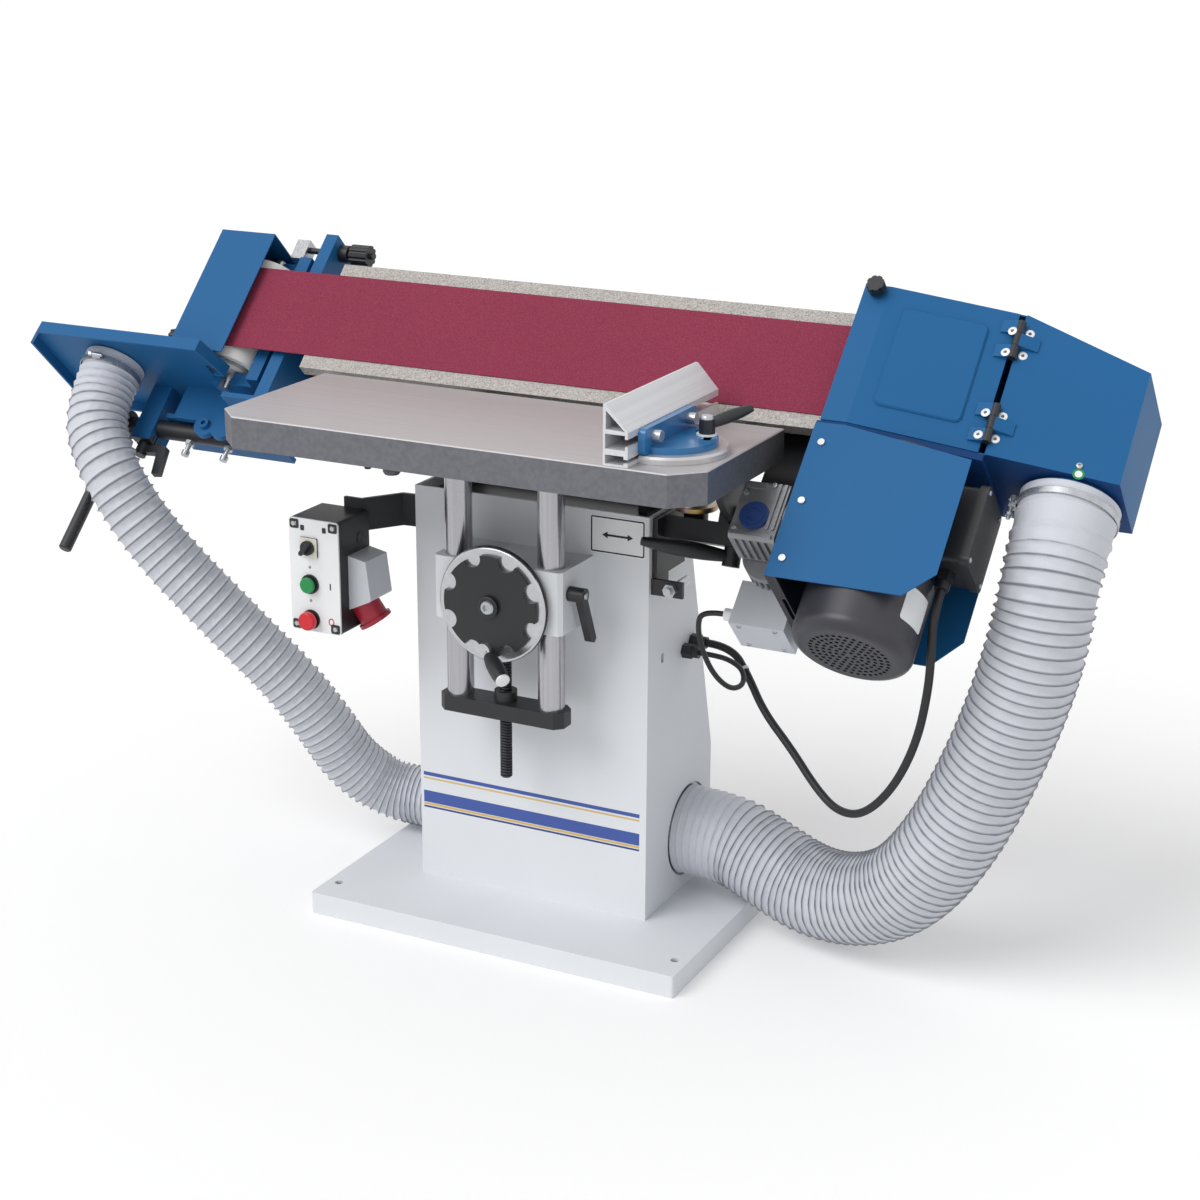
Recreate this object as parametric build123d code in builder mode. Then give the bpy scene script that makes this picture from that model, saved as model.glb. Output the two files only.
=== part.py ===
from build123d import *
import os
from math import cos, degrees, pi, radians, sin, tan

os.makedirs("parts", exist_ok=True)

# Edge sander. Lengths are millimetres. The origin is on the floor under the middle of the base,
# +X runs along the belt to the motor end, +Y goes to the back and +Z goes up.

# Clearances
TURN_FIT = 0.05
SLIDE_GAP = 0.3
LOOSE = 0.5

# Base and column
BASE_LENGTH = 620
BASE_DEPTH = 520
BASE_HEIGHT = 35
BASE_SHEET = 5
BASE_RIM = 40
ANCHOR_HOLE = 13
ANCHOR_INSET_X = 20
ANCHOR_INSET_Y = 49
COLUMN_WIDTH = 390
COLUMN_FRONT = -114
COLUMN_REAR = 121
COLUMN_TOP = 669
COLUMN_KNEE = 242
COLUMN_TOP_DEPTH = 128
COLUMN_WALL = 4

# Dust ducts
DUCT_Y = 38
DUCT_Z = 128
BIG_HOSE = 140
BIG_BORE = 126
SMALL_HOSE = 100
SMALL_BORE = 88
LEFT_DUCT_Z = 88
DUCT_SHEET = 2
DUCT_MARGIN = 4
SPIGOT_REACH = 15
OUTLET_DIAMETER = 150
OUTLET_LENGTH = 80

# Tilt pivot
TILT = 45
PIVOT_Y = -4
PIVOT_Z = 788
PIVOT_SHAFT = 40
SADDLE_X = 150
SADDLE_PLATE = 14
SADDLE_HALF = 26
SADDLE_SHELF_Z = 640
SADDLE_SHELF = 12

# Lift
ROD_X = 76
ROD_Y = -190
ROD_DIAMETER = 40
BLOCK_HALF = 105
BLOCK_FRONT = -215
BLOCK_BOTTOM = 505
BLOCK_TOP = 600
CROSSBAR_BOTTOM = 360
CROSSBAR_HEIGHT = 24
CROSSBAR_FRONT = -214
CROSSBAR_REAR = -168
SCREW_DIAMETER = 18
SCREW_END = 262
NUT_DIAMETER = 34
NUT_HEIGHT = 16
GEAR_RADIUS = 16
GEAR_FACE = 9
WHEEL_Z = 542
WHEEL_DIAMETER = 175
WHEEL_RIM = 13
WHEEL_FRONT = -231
WHEEL_SHAFT = 16
ROD_CLAMP_Z = 564

# Table
TABLE_LENGTH = 760
TABLE_DEPTH = 300
TABLE_BACK = -70
TABLE_TOP = 812
TABLE_HEIGHT = 46
TABLE_CORNER = 40
TABLE_WALL = 16
TABLE_PLATE = 16
BOSS_DIAMETER = 72

# Mitre gauge
MITRE_X = 290
MITRE_Y = -255
MITRE_RADIUS = 82
MITRE_PLATE = 10
MITRE_SLOT_RADIUS = 51
MITRE_STUD = 10
MITRE_STUD_ANGLE = 37
MITRE_SWING = 20
FENCE_LEFT = 246
FENCE_WIDTH = 36
FENCE_HEIGHT = 82
FENCE_SLOPE_FOOT = 47
FENCE_FRONT = -367
FENCE_BACK = -78
FENCE_SKIN = 3

# Control box
BOX_X = -289
BOX_FRONT = -250
BOX_WIDTH = 86
BOX_DEPTH = 85
BOX_HEIGHT = 174
BOX_BOTTOM = 462
BOX_SHEET = 3
ARM_BOTTOM = 601
ARM_HEIGHT = 50
ARM_SHEET = 6

# Belt unit, in its own directions: x along the belt, w across its width, n out of its face
BELT_Y = 7.3
BELT_Z = 884.2
BELT_WIDTH = 150
BELT_THICK = 1.5
BELT_LENGTH = 2600
BELT_WANDER = 4
DRUM_DIAMETER = 100
DRUM_LENGTH = 184
DRIVE_X = 552
PLATEN_HEIGHT = 195
PLATEN_SHEET = 3
PLATEN_FLANGE = 20
PLATEN_LEFT = -432
PLATEN_RIGHT = 468
BEAM_LEFT = -475
BEAM_RIGHT = 470
BEAM_LOW = -45
BEAM_HIGH = 70
BEAM_DEPTH = 80
BEAM_WALL = 6
HUB_INNER = 100
HUB_RADIUS = 32

# Idler end
AXLE_DIAMETER = 20
YOKE_GAP = 4
YOKE_ARM = 22
YOKE_WEB = 22
YOKE_DEPTH = 56
YOKE_REACH = 23
YOKE_FORK = 4
YOKE_ROD = 16
TENSION_TRAVEL = 10
FRAME_PLATE = 22
FRAME_TOP = 158
FRAME_SHELF = -152
FRAME_SHELF_SHEET = 8
FRAME_SHELF_BACK = -205
FRAME_SHELF_BEND = -556
FRAME_SHELF_RIGHT = -515
FRAME_BACK = -94
FRAME_SHELF_LEFT = -715
TRACK_W = 142
TRACK_N = -40
TRACK_SCREW = 10
LEVER_X = -801
LEVER_HUB = 24
LEVER_HUB_LEFT = -814
LEVER_HUB_WIDTH = 26
LEVER_DIAMETER = 21
LEVER_END = -414
HOOD_LEFT = -672
HOOD_RIGHT = -570
HOOD_FACE = 15
HOOD_BACK = -140
HOOD_TOP = 131
HOOD_BOTTOM = -96
KNOB_LIFT = 32
HOOD_SHEET = 2

# Round-work table
PAN_TOP = -101
PAN_RIM = 20
PAN_SHEET = 4
PAN_LEFT = -936
PAN_RIGHT = -588
PAN_FRONT = 51
PAN_BACK = -172
PAN_CORNER = 38
PAN_LEAN = 19
PORT_X = -806
PORT_N = -45
PORT_LENGTH = 45
BAR_DIAMETER = 30
BAR_W = -175
BAR_N = -122
BAR_LEFT = -817
CLAMP_LEFT = -762
CLAMP_WIDTH = 36
BRACKET_LEFT = -690
BRACKET_RIGHT = -567
BRACKET_BOLT = -625

# Drive end
DOOR_FACE = 35
DOOR_LEFT = 440
DOOR_BEND = 478
DOOR_SLANT = 12
DOOR_RIGHT = 657
DOOR_LOW = -103
DOOR_HIGH = 125
DOOR_SHEET = 2
HINGE_X = 665
HINGE_RADIUS = 6
HINGE_LENGTH = 60
HOOD_END = 845
HOOD_END_HIGH = 75
HOOD_REAR = -172
MOTOR_PLATE = 10
MOTOR_PLATE_TOP = DOOR_LOW
GUARD_LEFT = 435
GUARD_RIGHT = 665
GUARD_LOW = -350
GUARD_CUT = 38
GUARD_SHEET = 2
GUARD_DROP = 34
GUARD_STEP = -6
SIDE_PLATE = 6
WEB_LEFT = 336
WEB_N = -84
MOTOR_RADIUS = 76
MOTOR_LENGTH = 196
COWL_RADIUS = 84
COWL_LENGTH = 122
COWL_SHEET = 2
COWL_ROUND = 18
MOTOR_SHAFT = 28
SPIGOT_X = 770
SPIGOT_N = -104
SPIGOT_LENGTH = 55

# Oscillation drive
GEARBOX_LEFT = 346
GEARBOX_HIGH = -186
GEARBOX_LOW = -278
GEARBOX_FRONT = -6
GEARBOX_BACK = -76
GEAR_MOTOR_RADIUS = 42
GEARBOX_WIDTH = 68
GEAR_HUB_RADIUS = 32
GEAR_SHAFT_W = -230
GEAR_SHAFT_N = -41
CAP_X = 377
CAP_W = -244
GEAR_MOTOR_X = 388
GEAR_MOTOR_W = -262
GEAR_MOTOR_BACK = -205
GEAR_BOX_LOW = -362
GEAR_BOX_FRONT = -106
GEAR_BOX_BACK = -176
ECCENTRIC_RADIUS = 20
ECCENTRIC_LIFT = 4

# Tilt lock on the right of the column
SECTOR_X = 300
SECTOR_SHEET = 12
SECTOR_RADIUS = 140
SECTOR_STEP = 10
WELD_LINE = 0.1
LOCK_LEAN = 21.3
LOCK_JAW = 15
STOP_ARM_X = 232

# Derived values of the belt unit
DRUM_N = -(BELT_THICK + SLIDE_GAP + DRUM_DIAMETER / 2)
BELT_OUTER = DRUM_DIAMETER / 2 + SLIDE_GAP + BELT_THICK
BELT_RUN = (BELT_LENGTH - pi * (DRUM_DIAMETER + 2 * SLIDE_GAP + BELT_THICK)) / 2
IDLER_X = DRIVE_X - BELT_RUN
PLATEN_FACE = -(BELT_THICK + SLIDE_GAP)
BEAM_FACE = PLATEN_FACE - PLATEN_SHEET
lean = radians(TILT)
PIVOT_W = (PIVOT_Y - BELT_Y) * sin(lean) + (PIVOT_Z - BELT_Z) * cos(lean)
PIVOT_N = -(PIVOT_Y - BELT_Y) * cos(lean) + (PIVOT_Z - BELT_Z) * sin(lean)

unit = Plane(origin=(0, BELT_Y, BELT_Z), x_dir=(1, 0, 0), z_dir=(0, -cos(lean), sin(lean)))


def face_at(n):
    """Plane across the unit's face, drawn in x and w, growing out of the face."""
    return unit.offset(n)


def rib_at(x):
    """Plane across the unit's length, drawn in w and n, growing towards +x."""
    return Plane(origin=unit.from_local_coords((x, 0, 0)), x_dir=unit.y_dir, z_dir=unit.x_dir)


def shelf_at(w):
    """Plane across the unit's width, drawn in x and n, growing down the unit."""
    return Plane(origin=unit.from_local_coords((0, w, 0)), x_dir=unit.x_dir, z_dir=unit.y_dir * -1)


def front_at(y):
    """Upright plane drawn in x and z, growing towards the front."""
    return Plane.XZ.offset(-y)


def side_at(x):
    """Upright plane drawn in y and z, growing towards +x."""
    return Plane.YZ.offset(x)


def level_at(z):
    """Level plane drawn in x and y, growing up."""
    return Plane.XY.offset(z)


def box_between(a, b):
    """Rectangle between two corners in the sketch in hand."""
    with Locations(((a[0] + b[0]) / 2, (a[1] + b[1]) / 2)):
        Rectangle(abs(b[0] - a[0]), abs(b[1] - a[1]))


def ribbon(points, thick):
    """Outline of a folded sheet whose middle line goes through the points."""
    middle = [Vector(p[0], p[1], 0) for p in points]
    left = []
    right = []
    for i, here in enumerate(middle):
        before = (here - middle[i - 1]).normalized() if i > 0 else None
        after = (middle[i + 1] - here).normalized() if i + 1 < len(middle) else None
        along = before if after is None else after if before is None else (before + after).normalized()
        across = Vector(-along.Y, along.X, 0)
        lead = after if before is None else before
        reach = thick / 2 / max(0.3, across.dot(Vector(-lead.Y, lead.X, 0)))
        left.append((here.X + across.X * reach, here.Y + across.Y * reach))
        right.append((here.X - across.X * reach, here.Y - across.Y * reach))
    return left + right[::-1]


def column_rear(z):
    """Depth of the column's rear face at a height."""
    top = COLUMN_FRONT + COLUMN_TOP_DEPTH
    if z <= COLUMN_KNEE:
        return COLUMN_REAR
    return COLUMN_REAR + (top - COLUMN_REAR) * (z - COLUMN_KNEE) / (COLUMN_TOP - COLUMN_KNEE)


def door_line(x):
    """Height of the drive hood's front face above the belt face at a place along the unit."""
    return DOOR_FACE - max(0, x - DOOR_BEND) * tan(radians(DOOR_SLANT))


# Base
with BuildPart() as base_plate:
    with BuildSketch(Plane.XY):
        RectangleRounded(BASE_LENGTH, BASE_DEPTH, 4)
    extrude(amount=BASE_HEIGHT)
    with BuildSketch(level_at(BASE_SHEET)):
        Rectangle(BASE_LENGTH - 2 * BASE_SHEET, BASE_DEPTH - 2 * BASE_SHEET)
    extrude(amount=BASE_HEIGHT - 2 * BASE_SHEET, mode=Mode.SUBTRACT)
    with BuildSketch(Plane.XY):
        Rectangle(BASE_LENGTH - 2 * BASE_RIM, BASE_DEPTH - 2 * BASE_RIM)
    extrude(amount=BASE_SHEET, mode=Mode.SUBTRACT)
    with BuildSketch(Plane.XY):
        with GridLocations(BASE_LENGTH - 2 * ANCHOR_INSET_X, BASE_DEPTH - 2 * ANCHOR_INSET_Y, 2, 2):
            Circle(ANCHOR_HOLE / 2)
    extrude(amount=BASE_HEIGHT, mode=Mode.SUBTRACT)

# Column
with BuildPart() as column:
    with BuildSketch(side_at(-COLUMN_WIDTH / 2)):
        Polygon(
            (COLUMN_FRONT, BASE_HEIGHT),
            (COLUMN_FRONT, COLUMN_TOP),
            (column_rear(COLUMN_TOP), COLUMN_TOP),
            (COLUMN_REAR, COLUMN_KNEE),
            (COLUMN_REAR, BASE_HEIGHT),
            align=None,
        )
    extrude(amount=COLUMN_WIDTH)
    with BuildSketch(side_at(-COLUMN_WIDTH / 2 + COLUMN_WALL)):
        Polygon(
            (COLUMN_FRONT + COLUMN_WALL, BASE_HEIGHT),
            (COLUMN_FRONT + COLUMN_WALL, COLUMN_TOP),
            (column_rear(COLUMN_TOP) - COLUMN_WALL, COLUMN_TOP),
            (COLUMN_REAR - COLUMN_WALL, COLUMN_KNEE),
            (COLUMN_REAR - COLUMN_WALL, BASE_HEIGHT),
            align=None,
        )
    extrude(amount=COLUMN_WIDTH - 2 * COLUMN_WALL, mode=Mode.SUBTRACT)
    with BuildSketch(side_at(COLUMN_WIDTH / 2 - COLUMN_WALL)):
        with Locations((DUCT_Y, DUCT_Z)):
            Circle(BIG_HOSE / 2 + DUCT_MARGIN)
        with Locations((39, 437), (11, 430)):
            Circle(8)
        with Locations((-64, 441)):
            SlotOverall(16, 9, rotation=90)
    extrude(amount=COLUMN_WALL, mode=Mode.SUBTRACT)
    with BuildSketch(side_at(-COLUMN_WIDTH / 2)):
        with Locations((DUCT_Y, LEFT_DUCT_Z)):
            Circle(SMALL_HOSE / 2 + 2)
    extrude(amount=COLUMN_WALL, mode=Mode.SUBTRACT)
    with BuildSketch(front_at(COLUMN_REAR)):
        with Locations((0, DUCT_Z)):
            Circle(OUTLET_DIAMETER / 2)
    extrude(amount=COLUMN_WALL, mode=Mode.SUBTRACT)

# Dust duct inside the column and the outlet behind it
duct_half = COLUMN_WIDTH / 2 - COLUMN_WALL
duct_rear = COLUMN_REAR - COLUMN_WALL
duct_front = DUCT_Y - BIG_HOSE / 2 - DUCT_MARGIN
duct_low = LEFT_DUCT_Z - SMALL_BORE / 2 - DUCT_MARGIN
duct_high = DUCT_Z + OUTLET_DIAMETER / 2 + DUCT_MARGIN
with BuildPart() as dust_duct:
    with BuildSketch(side_at(-duct_half)):
        box_between((duct_front, duct_low), (duct_rear, duct_high))
    extrude(amount=2 * duct_half)
    with BuildSketch(side_at(-duct_half + DUCT_SHEET)):
        box_between((duct_front + DUCT_SHEET, duct_low + DUCT_SHEET), (duct_rear - DUCT_SHEET, duct_high - DUCT_SHEET))
    extrude(amount=2 * (duct_half - DUCT_SHEET), mode=Mode.SUBTRACT)
    with BuildSketch(side_at(0)):
        with Locations((DUCT_Y, DUCT_Z)):
            Circle(BIG_BORE / 2 - LOOSE)
    extrude(amount=COLUMN_WIDTH / 2 + SPIGOT_REACH)
    with BuildSketch(side_at(0)):
        with Locations((DUCT_Y, LEFT_DUCT_Z)):
            Circle(SMALL_BORE / 2 - LOOSE)
    extrude(amount=-COLUMN_WIDTH / 2 - SPIGOT_REACH)
    with BuildSketch(side_at(0)):
        with Locations((DUCT_Y, DUCT_Z)):
            Circle(BIG_BORE / 2 - LOOSE - DUCT_SHEET)
    extrude(amount=COLUMN_WIDTH / 2 + SPIGOT_REACH, mode=Mode.SUBTRACT)
    with BuildSketch(side_at(0)):
        with Locations((DUCT_Y, LEFT_DUCT_Z)):
            Circle(SMALL_BORE / 2 - LOOSE - DUCT_SHEET)
    extrude(amount=-COLUMN_WIDTH / 2 - SPIGOT_REACH, mode=Mode.SUBTRACT)
    with BuildSketch(side_at(-duct_half + DUCT_SHEET)):
        box_between((duct_front + DUCT_SHEET, duct_low + DUCT_SHEET), (duct_rear - DUCT_SHEET, duct_high - DUCT_SHEET))
    extrude(amount=2 * (duct_half - DUCT_SHEET), mode=Mode.SUBTRACT)
    with BuildSketch(front_at(duct_rear)):
        with Locations((0, DUCT_Z)):
            Circle(OUTLET_DIAMETER / 2)
    extrude(amount=DUCT_SHEET, mode=Mode.SUBTRACT)

with BuildPart() as dust_outlet:
    with BuildSketch(front_at(COLUMN_REAR)):
        with Locations((0, DUCT_Z)):
            Rectangle(OUTLET_DIAMETER + 30, OUTLET_DIAMETER + 30)
    extrude(amount=-3)
    with BuildSketch(front_at(COLUMN_REAR)):
        with Locations((0, DUCT_Z)):
            Circle(OUTLET_DIAMETER / 2)
    extrude(amount=-OUTLET_LENGTH)
    with BuildSketch(front_at(COLUMN_REAR)):
        with Locations((0, DUCT_Z)):
            Circle(OUTLET_DIAMETER / 2 - DUCT_SHEET)
    extrude(amount=-OUTLET_LENGTH, mode=Mode.SUBTRACT)

# Saddle and shaft that carry the belt unit
saddle_rear = column_rear(SADDLE_SHELF_Z + SADDLE_SHELF) - COLUMN_WALL
upright_rear = column_rear(COLUMN_TOP) - COLUMN_WALL - 4
with BuildPart() as pivot_saddle:
    with BuildSketch(level_at(SADDLE_SHELF_Z)):
        box_between((-duct_half, COLUMN_FRONT + COLUMN_WALL), (duct_half, saddle_rear))
    extrude(amount=SADDLE_SHELF)
    for side in (-1, 1):
        with BuildSketch(side_at(side * SADDLE_X - SADDLE_PLATE / 2)):
            Polygon(
                (upright_rear - 50, SADDLE_SHELF_Z + SADDLE_SHELF),
                (upright_rear, SADDLE_SHELF_Z + SADDLE_SHELF),
                (PIVOT_Y + SADDLE_HALF, PIVOT_Z),
                (PIVOT_Y - SADDLE_HALF, PIVOT_Z),
                align=None,
            )
            with Locations((PIVOT_Y, PIVOT_Z)):
                Circle(SADDLE_HALF)
        extrude(amount=SADDLE_PLATE)
    with BuildSketch(side_at(-SADDLE_X - SADDLE_PLATE)):
        with Locations((PIVOT_Y, PIVOT_Z)):
            Circle(PIVOT_SHAFT / 2)
    extrude(amount=2 * (SADDLE_X + SADDLE_PLATE), mode=Mode.SUBTRACT)

with BuildPart() as pivot_shaft:
    with BuildSketch(side_at(-SADDLE_X - SADDLE_PLATE)):
        with Locations((PIVOT_Y, PIVOT_Z)):
            Circle(PIVOT_SHAFT / 2)
    extrude(amount=2 * (SADDLE_X + SADDLE_PLATE))
    chamfer(pivot_shaft.edges().filter_by(GeomType.CIRCLE), 2)

# Slide block with its bores and the gear space
gear_space = GEAR_RADIUS + GEAR_FACE
with BuildPart() as slide_block:
    with BuildSketch(level_at(BLOCK_BOTTOM)):
        box_between((-BLOCK_HALF, BLOCK_FRONT), (BLOCK_HALF, COLUMN_FRONT))
    extrude(amount=BLOCK_TOP - BLOCK_BOTTOM)
    chamfer(slide_block.edges().filter_by(Axis.Z).group_by(Axis.Y)[0], 6)
    with BuildSketch(level_at(BLOCK_BOTTOM)):
        with Locations((-ROD_X, ROD_Y), (ROD_X, ROD_Y)):
            Circle(ROD_DIAMETER / 2 + TURN_FIT)
        with Locations((0, ROD_Y)):
            Circle(SCREW_DIAMETER / 2 + TURN_FIT)
    extrude(amount=BLOCK_TOP - BLOCK_BOTTOM, mode=Mode.SUBTRACT)
    with BuildSketch(front_at(ROD_Y + gear_space)):
        with Locations((0, WHEEL_Z)):
            Rectangle(2 * gear_space, 2 * gear_space)
    extrude(amount=gear_space + GEAR_RADIUS + 4, mode=Mode.SUBTRACT)
    with BuildSketch(front_at(BLOCK_FRONT)):
        with Locations((0, WHEEL_Z)):
            Circle(WHEEL_SHAFT / 2 + TURN_FIT)
    extrude(amount=-(ROD_Y - BLOCK_FRONT), mode=Mode.SUBTRACT)
    with BuildSketch(side_at(BLOCK_HALF)):
        with Locations((ROD_Y, ROD_CLAMP_Z)):
            Circle(6 + TURN_FIT)
    extrude(amount=-(BLOCK_HALF - ROD_X), mode=Mode.SUBTRACT)

# Lead screw with its bevel gear, and the handwheel shaft with its pinion
gear_tip = GEAR_RADIUS - GEAR_FACE
with BuildPart() as lead_screw:
    with BuildSketch(level_at(SCREW_END)):
        with Locations((0, ROD_Y)):
            Circle(SCREW_DIAMETER / 2)
    extrude(amount=WHEEL_Z - gear_tip - SCREW_END)
    chamfer(lead_screw.faces().sort_by(Axis.Z)[0].edges(), 2)
    with BuildSketch(level_at(WHEEL_Z - GEAR_RADIUS)):
        with Locations((0, ROD_Y)):
            Circle(GEAR_RADIUS - SLIDE_GAP)
    with BuildSketch(level_at(WHEEL_Z - gear_tip - SLIDE_GAP)):
        with Locations((0, ROD_Y)):
            Circle(gear_tip - SLIDE_GAP)
    loft()
    with BuildSketch(level_at(WHEEL_Z - GEAR_RADIUS - 4)):
        with Locations((0, ROD_Y)):
            Circle(GEAR_RADIUS - SLIDE_GAP)
    extrude(amount=4)

with BuildPart() as handwheel_shaft:
    with BuildSketch(front_at(ROD_Y - GEAR_RADIUS)):
        with Locations((0, WHEEL_Z)):
            Circle(WHEEL_SHAFT / 2)
    extrude(amount=ROD_Y - GEAR_RADIUS - WHEEL_FRONT)
    with BuildSketch(front_at(ROD_Y - GEAR_RADIUS)):
        with Locations((0, WHEEL_Z)):
            Circle(GEAR_RADIUS - SLIDE_GAP)
    with BuildSketch(front_at(ROD_Y - SCREW_DIAMETER / 2 - 1)):
        with Locations((0, WHEEL_Z)):
            Circle(SCREW_DIAMETER / 2 + 1 - SLIDE_GAP)
    loft()
    with BuildSketch(front_at(ROD_Y - GEAR_RADIUS)):
        with Locations((0, WHEEL_Z)):
            Circle(GEAR_RADIUS - SLIDE_GAP)
    extrude(amount=3)

# Handwheel, its cover and its handle
with BuildPart() as handwheel:
    with BuildSketch(front_at(WHEEL_FRONT + WHEEL_RIM)):
        with Locations((0, WHEEL_Z)):
            Circle(WHEEL_DIAMETER / 2)
    extrude(amount=WHEEL_RIM)
    fillet(handwheel.edges().filter_by(GeomType.CIRCLE), 5)
    with BuildSketch(front_at(BLOCK_FRONT - LOOSE)):
        with Locations((0, WHEEL_Z)):
            Circle(22)
    extrude(amount=BLOCK_FRONT - LOOSE - WHEEL_FRONT - WHEEL_RIM)
    with BuildSketch(front_at(BLOCK_FRONT)):
        with Locations((0, WHEEL_Z)):
            Circle(WHEEL_SHAFT / 2)
    extrude(amount=BLOCK_FRONT - WHEEL_FRONT, mode=Mode.SUBTRACT)

with BuildPart() as handwheel_cover:
    with BuildSketch(front_at(WHEEL_FRONT)):
        with Locations((0, WHEEL_Z)):
            Circle(WHEEL_DIAMETER * 0.43)
        with Locations((0, WHEEL_Z)):
            with PolarLocations(WHEEL_DIAMETER * 0.425, 8, start_angle=22.5):
                Circle(WHEEL_DIAMETER * 0.08, mode=Mode.SUBTRACT)
    extrude(amount=6)
    with BuildSketch(front_at(WHEEL_FRONT - 6)):
        with Locations((0, WHEEL_Z)):
            Circle(14)
    extrude(amount=4)
    with BuildSketch(front_at(WHEEL_FRONT - 10)):
        with Locations((0, WHEEL_Z)):
            RegularPolygon(5, 6)
    extrude(amount=-4, mode=Mode.SUBTRACT)

handle_root = Vector(-7, WHEEL_FRONT - 6, WHEEL_Z - WHEEL_DIAMETER * 0.38)
handle_aim = Vector(0.72, -0.62, -0.31).normalized()
handle_plane = Plane(origin=handle_root + handle_aim * 14, z_dir=handle_aim)
with BuildPart() as handle_lug:
    with BuildSketch(front_at(WHEEL_FRONT - 6)):
        with Locations((handle_root.X, handle_root.Z)):
            Circle(11)
    extrude(amount=8)
    with BuildSketch(handle_plane.offset(-6)):
        Circle(5)
    extrude(amount=66)

with BuildPart() as crank_handle:
    with BuildSketch(handle_plane.offset(4)):
        Circle(9)
    with BuildSketch(handle_plane.offset(44)):
        Circle(12)
    with BuildSketch(handle_plane.offset(60 - SLIDE_GAP)):
        Circle(10)
    loft()
    with BuildSketch(handle_plane.offset(4)):
        Circle(5 + TURN_FIT)
    extrude(amount=60, mode=Mode.SUBTRACT)

# Clamp lever of the guide rods
lever_y = ROD_Y
with BuildPart() as rod_clamp_lever:
    with BuildSketch(side_at(ROD_X + ROD_DIAMETER / 2 + SLIDE_GAP)):
        with Locations((lever_y, ROD_CLAMP_Z)):
            Circle(6)
    extrude(amount=BLOCK_HALF + 8 - ROD_X - ROD_DIAMETER / 2)
    with BuildSketch(side_at(BLOCK_HALF + LOOSE)):
        with Locations((lever_y, ROD_CLAMP_Z)):
            Circle(11)
    extrude(amount=26)
    with BuildSketch(side_at(BLOCK_HALF + 12)):
        Polygon(
            (lever_y - 8, ROD_CLAMP_Z),
            (lever_y + 8, ROD_CLAMP_Z),
            (lever_y + 40, ROD_CLAMP_Z - 75),
            (lever_y + 34, ROD_CLAMP_Z - 81),
            (lever_y + 26, ROD_CLAMP_Z - 78),
            align=None,
        )
    extrude(amount=12)
    fillet(rod_clamp_lever.edges().filter_by(Axis.X).group_by(Axis.Z)[0], 2)

# Guide rods, crossbar and nut under the table
with BuildPart() as guide_rods:
    with BuildSketch(level_at(CROSSBAR_BOTTOM)):
        with Locations((-ROD_X, ROD_Y), (ROD_X, ROD_Y)):
            Circle(ROD_DIAMETER / 2)
    extrude(amount=TABLE_TOP - TABLE_PLATE - CROSSBAR_BOTTOM)

with BuildPart() as crossbar:
    with BuildSketch(level_at(CROSSBAR_BOTTOM)):
        box_between((2 - BLOCK_HALF, CROSSBAR_FRONT), (BLOCK_HALF - 2, CROSSBAR_REAR))
    extrude(amount=CROSSBAR_HEIGHT)
    chamfer(crossbar.edges().filter_by(Axis.Z), 12)
    with BuildSketch(level_at(CROSSBAR_BOTTOM)):
        with Locations((-ROD_X, ROD_Y), (ROD_X, ROD_Y)):
            Circle(ROD_DIAMETER / 2)
        with Locations((0, ROD_Y)):
            Circle(NUT_DIAMETER / 2 - 4)
    extrude(amount=CROSSBAR_HEIGHT, mode=Mode.SUBTRACT)

with BuildPart() as lift_nut:
    with BuildSketch(level_at(CROSSBAR_BOTTOM)):
        with Locations((0, ROD_Y)):
            Circle(NUT_DIAMETER / 2 - 4)
    extrude(amount=CROSSBAR_HEIGHT)
    with BuildSketch(level_at(CROSSBAR_BOTTOM + CROSSBAR_HEIGHT)):
        with Locations((0, ROD_Y)):
            Circle(NUT_DIAMETER / 2)
    extrude(amount=NUT_HEIGHT)
    with BuildSketch(level_at(CROSSBAR_BOTTOM)):
        with Locations((0, ROD_Y)):
            Circle(SCREW_DIAMETER / 2 + TURN_FIT)
    extrude(amount=CROSSBAR_HEIGHT + NUT_HEIGHT, mode=Mode.SUBTRACT)

# Work table
table_low = TABLE_TOP - TABLE_HEIGHT
table_half = TABLE_LENGTH / 2
table_front = TABLE_BACK - TABLE_DEPTH


def table_outline(inset):
    """Corner points of the table with its two cut front corners, drawn in by an inset."""
    cut = TABLE_CORNER
    return [
        (-table_half + inset, TABLE_BACK - inset),
        (-table_half + inset, table_front + cut + inset * 0.4),
        (-table_half + cut + inset * 0.4, table_front + inset),
        (table_half - cut - inset * 0.4, table_front + inset),
        (table_half - inset, table_front + cut + inset * 0.4),
        (table_half - inset, TABLE_BACK - inset),
    ]


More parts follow.
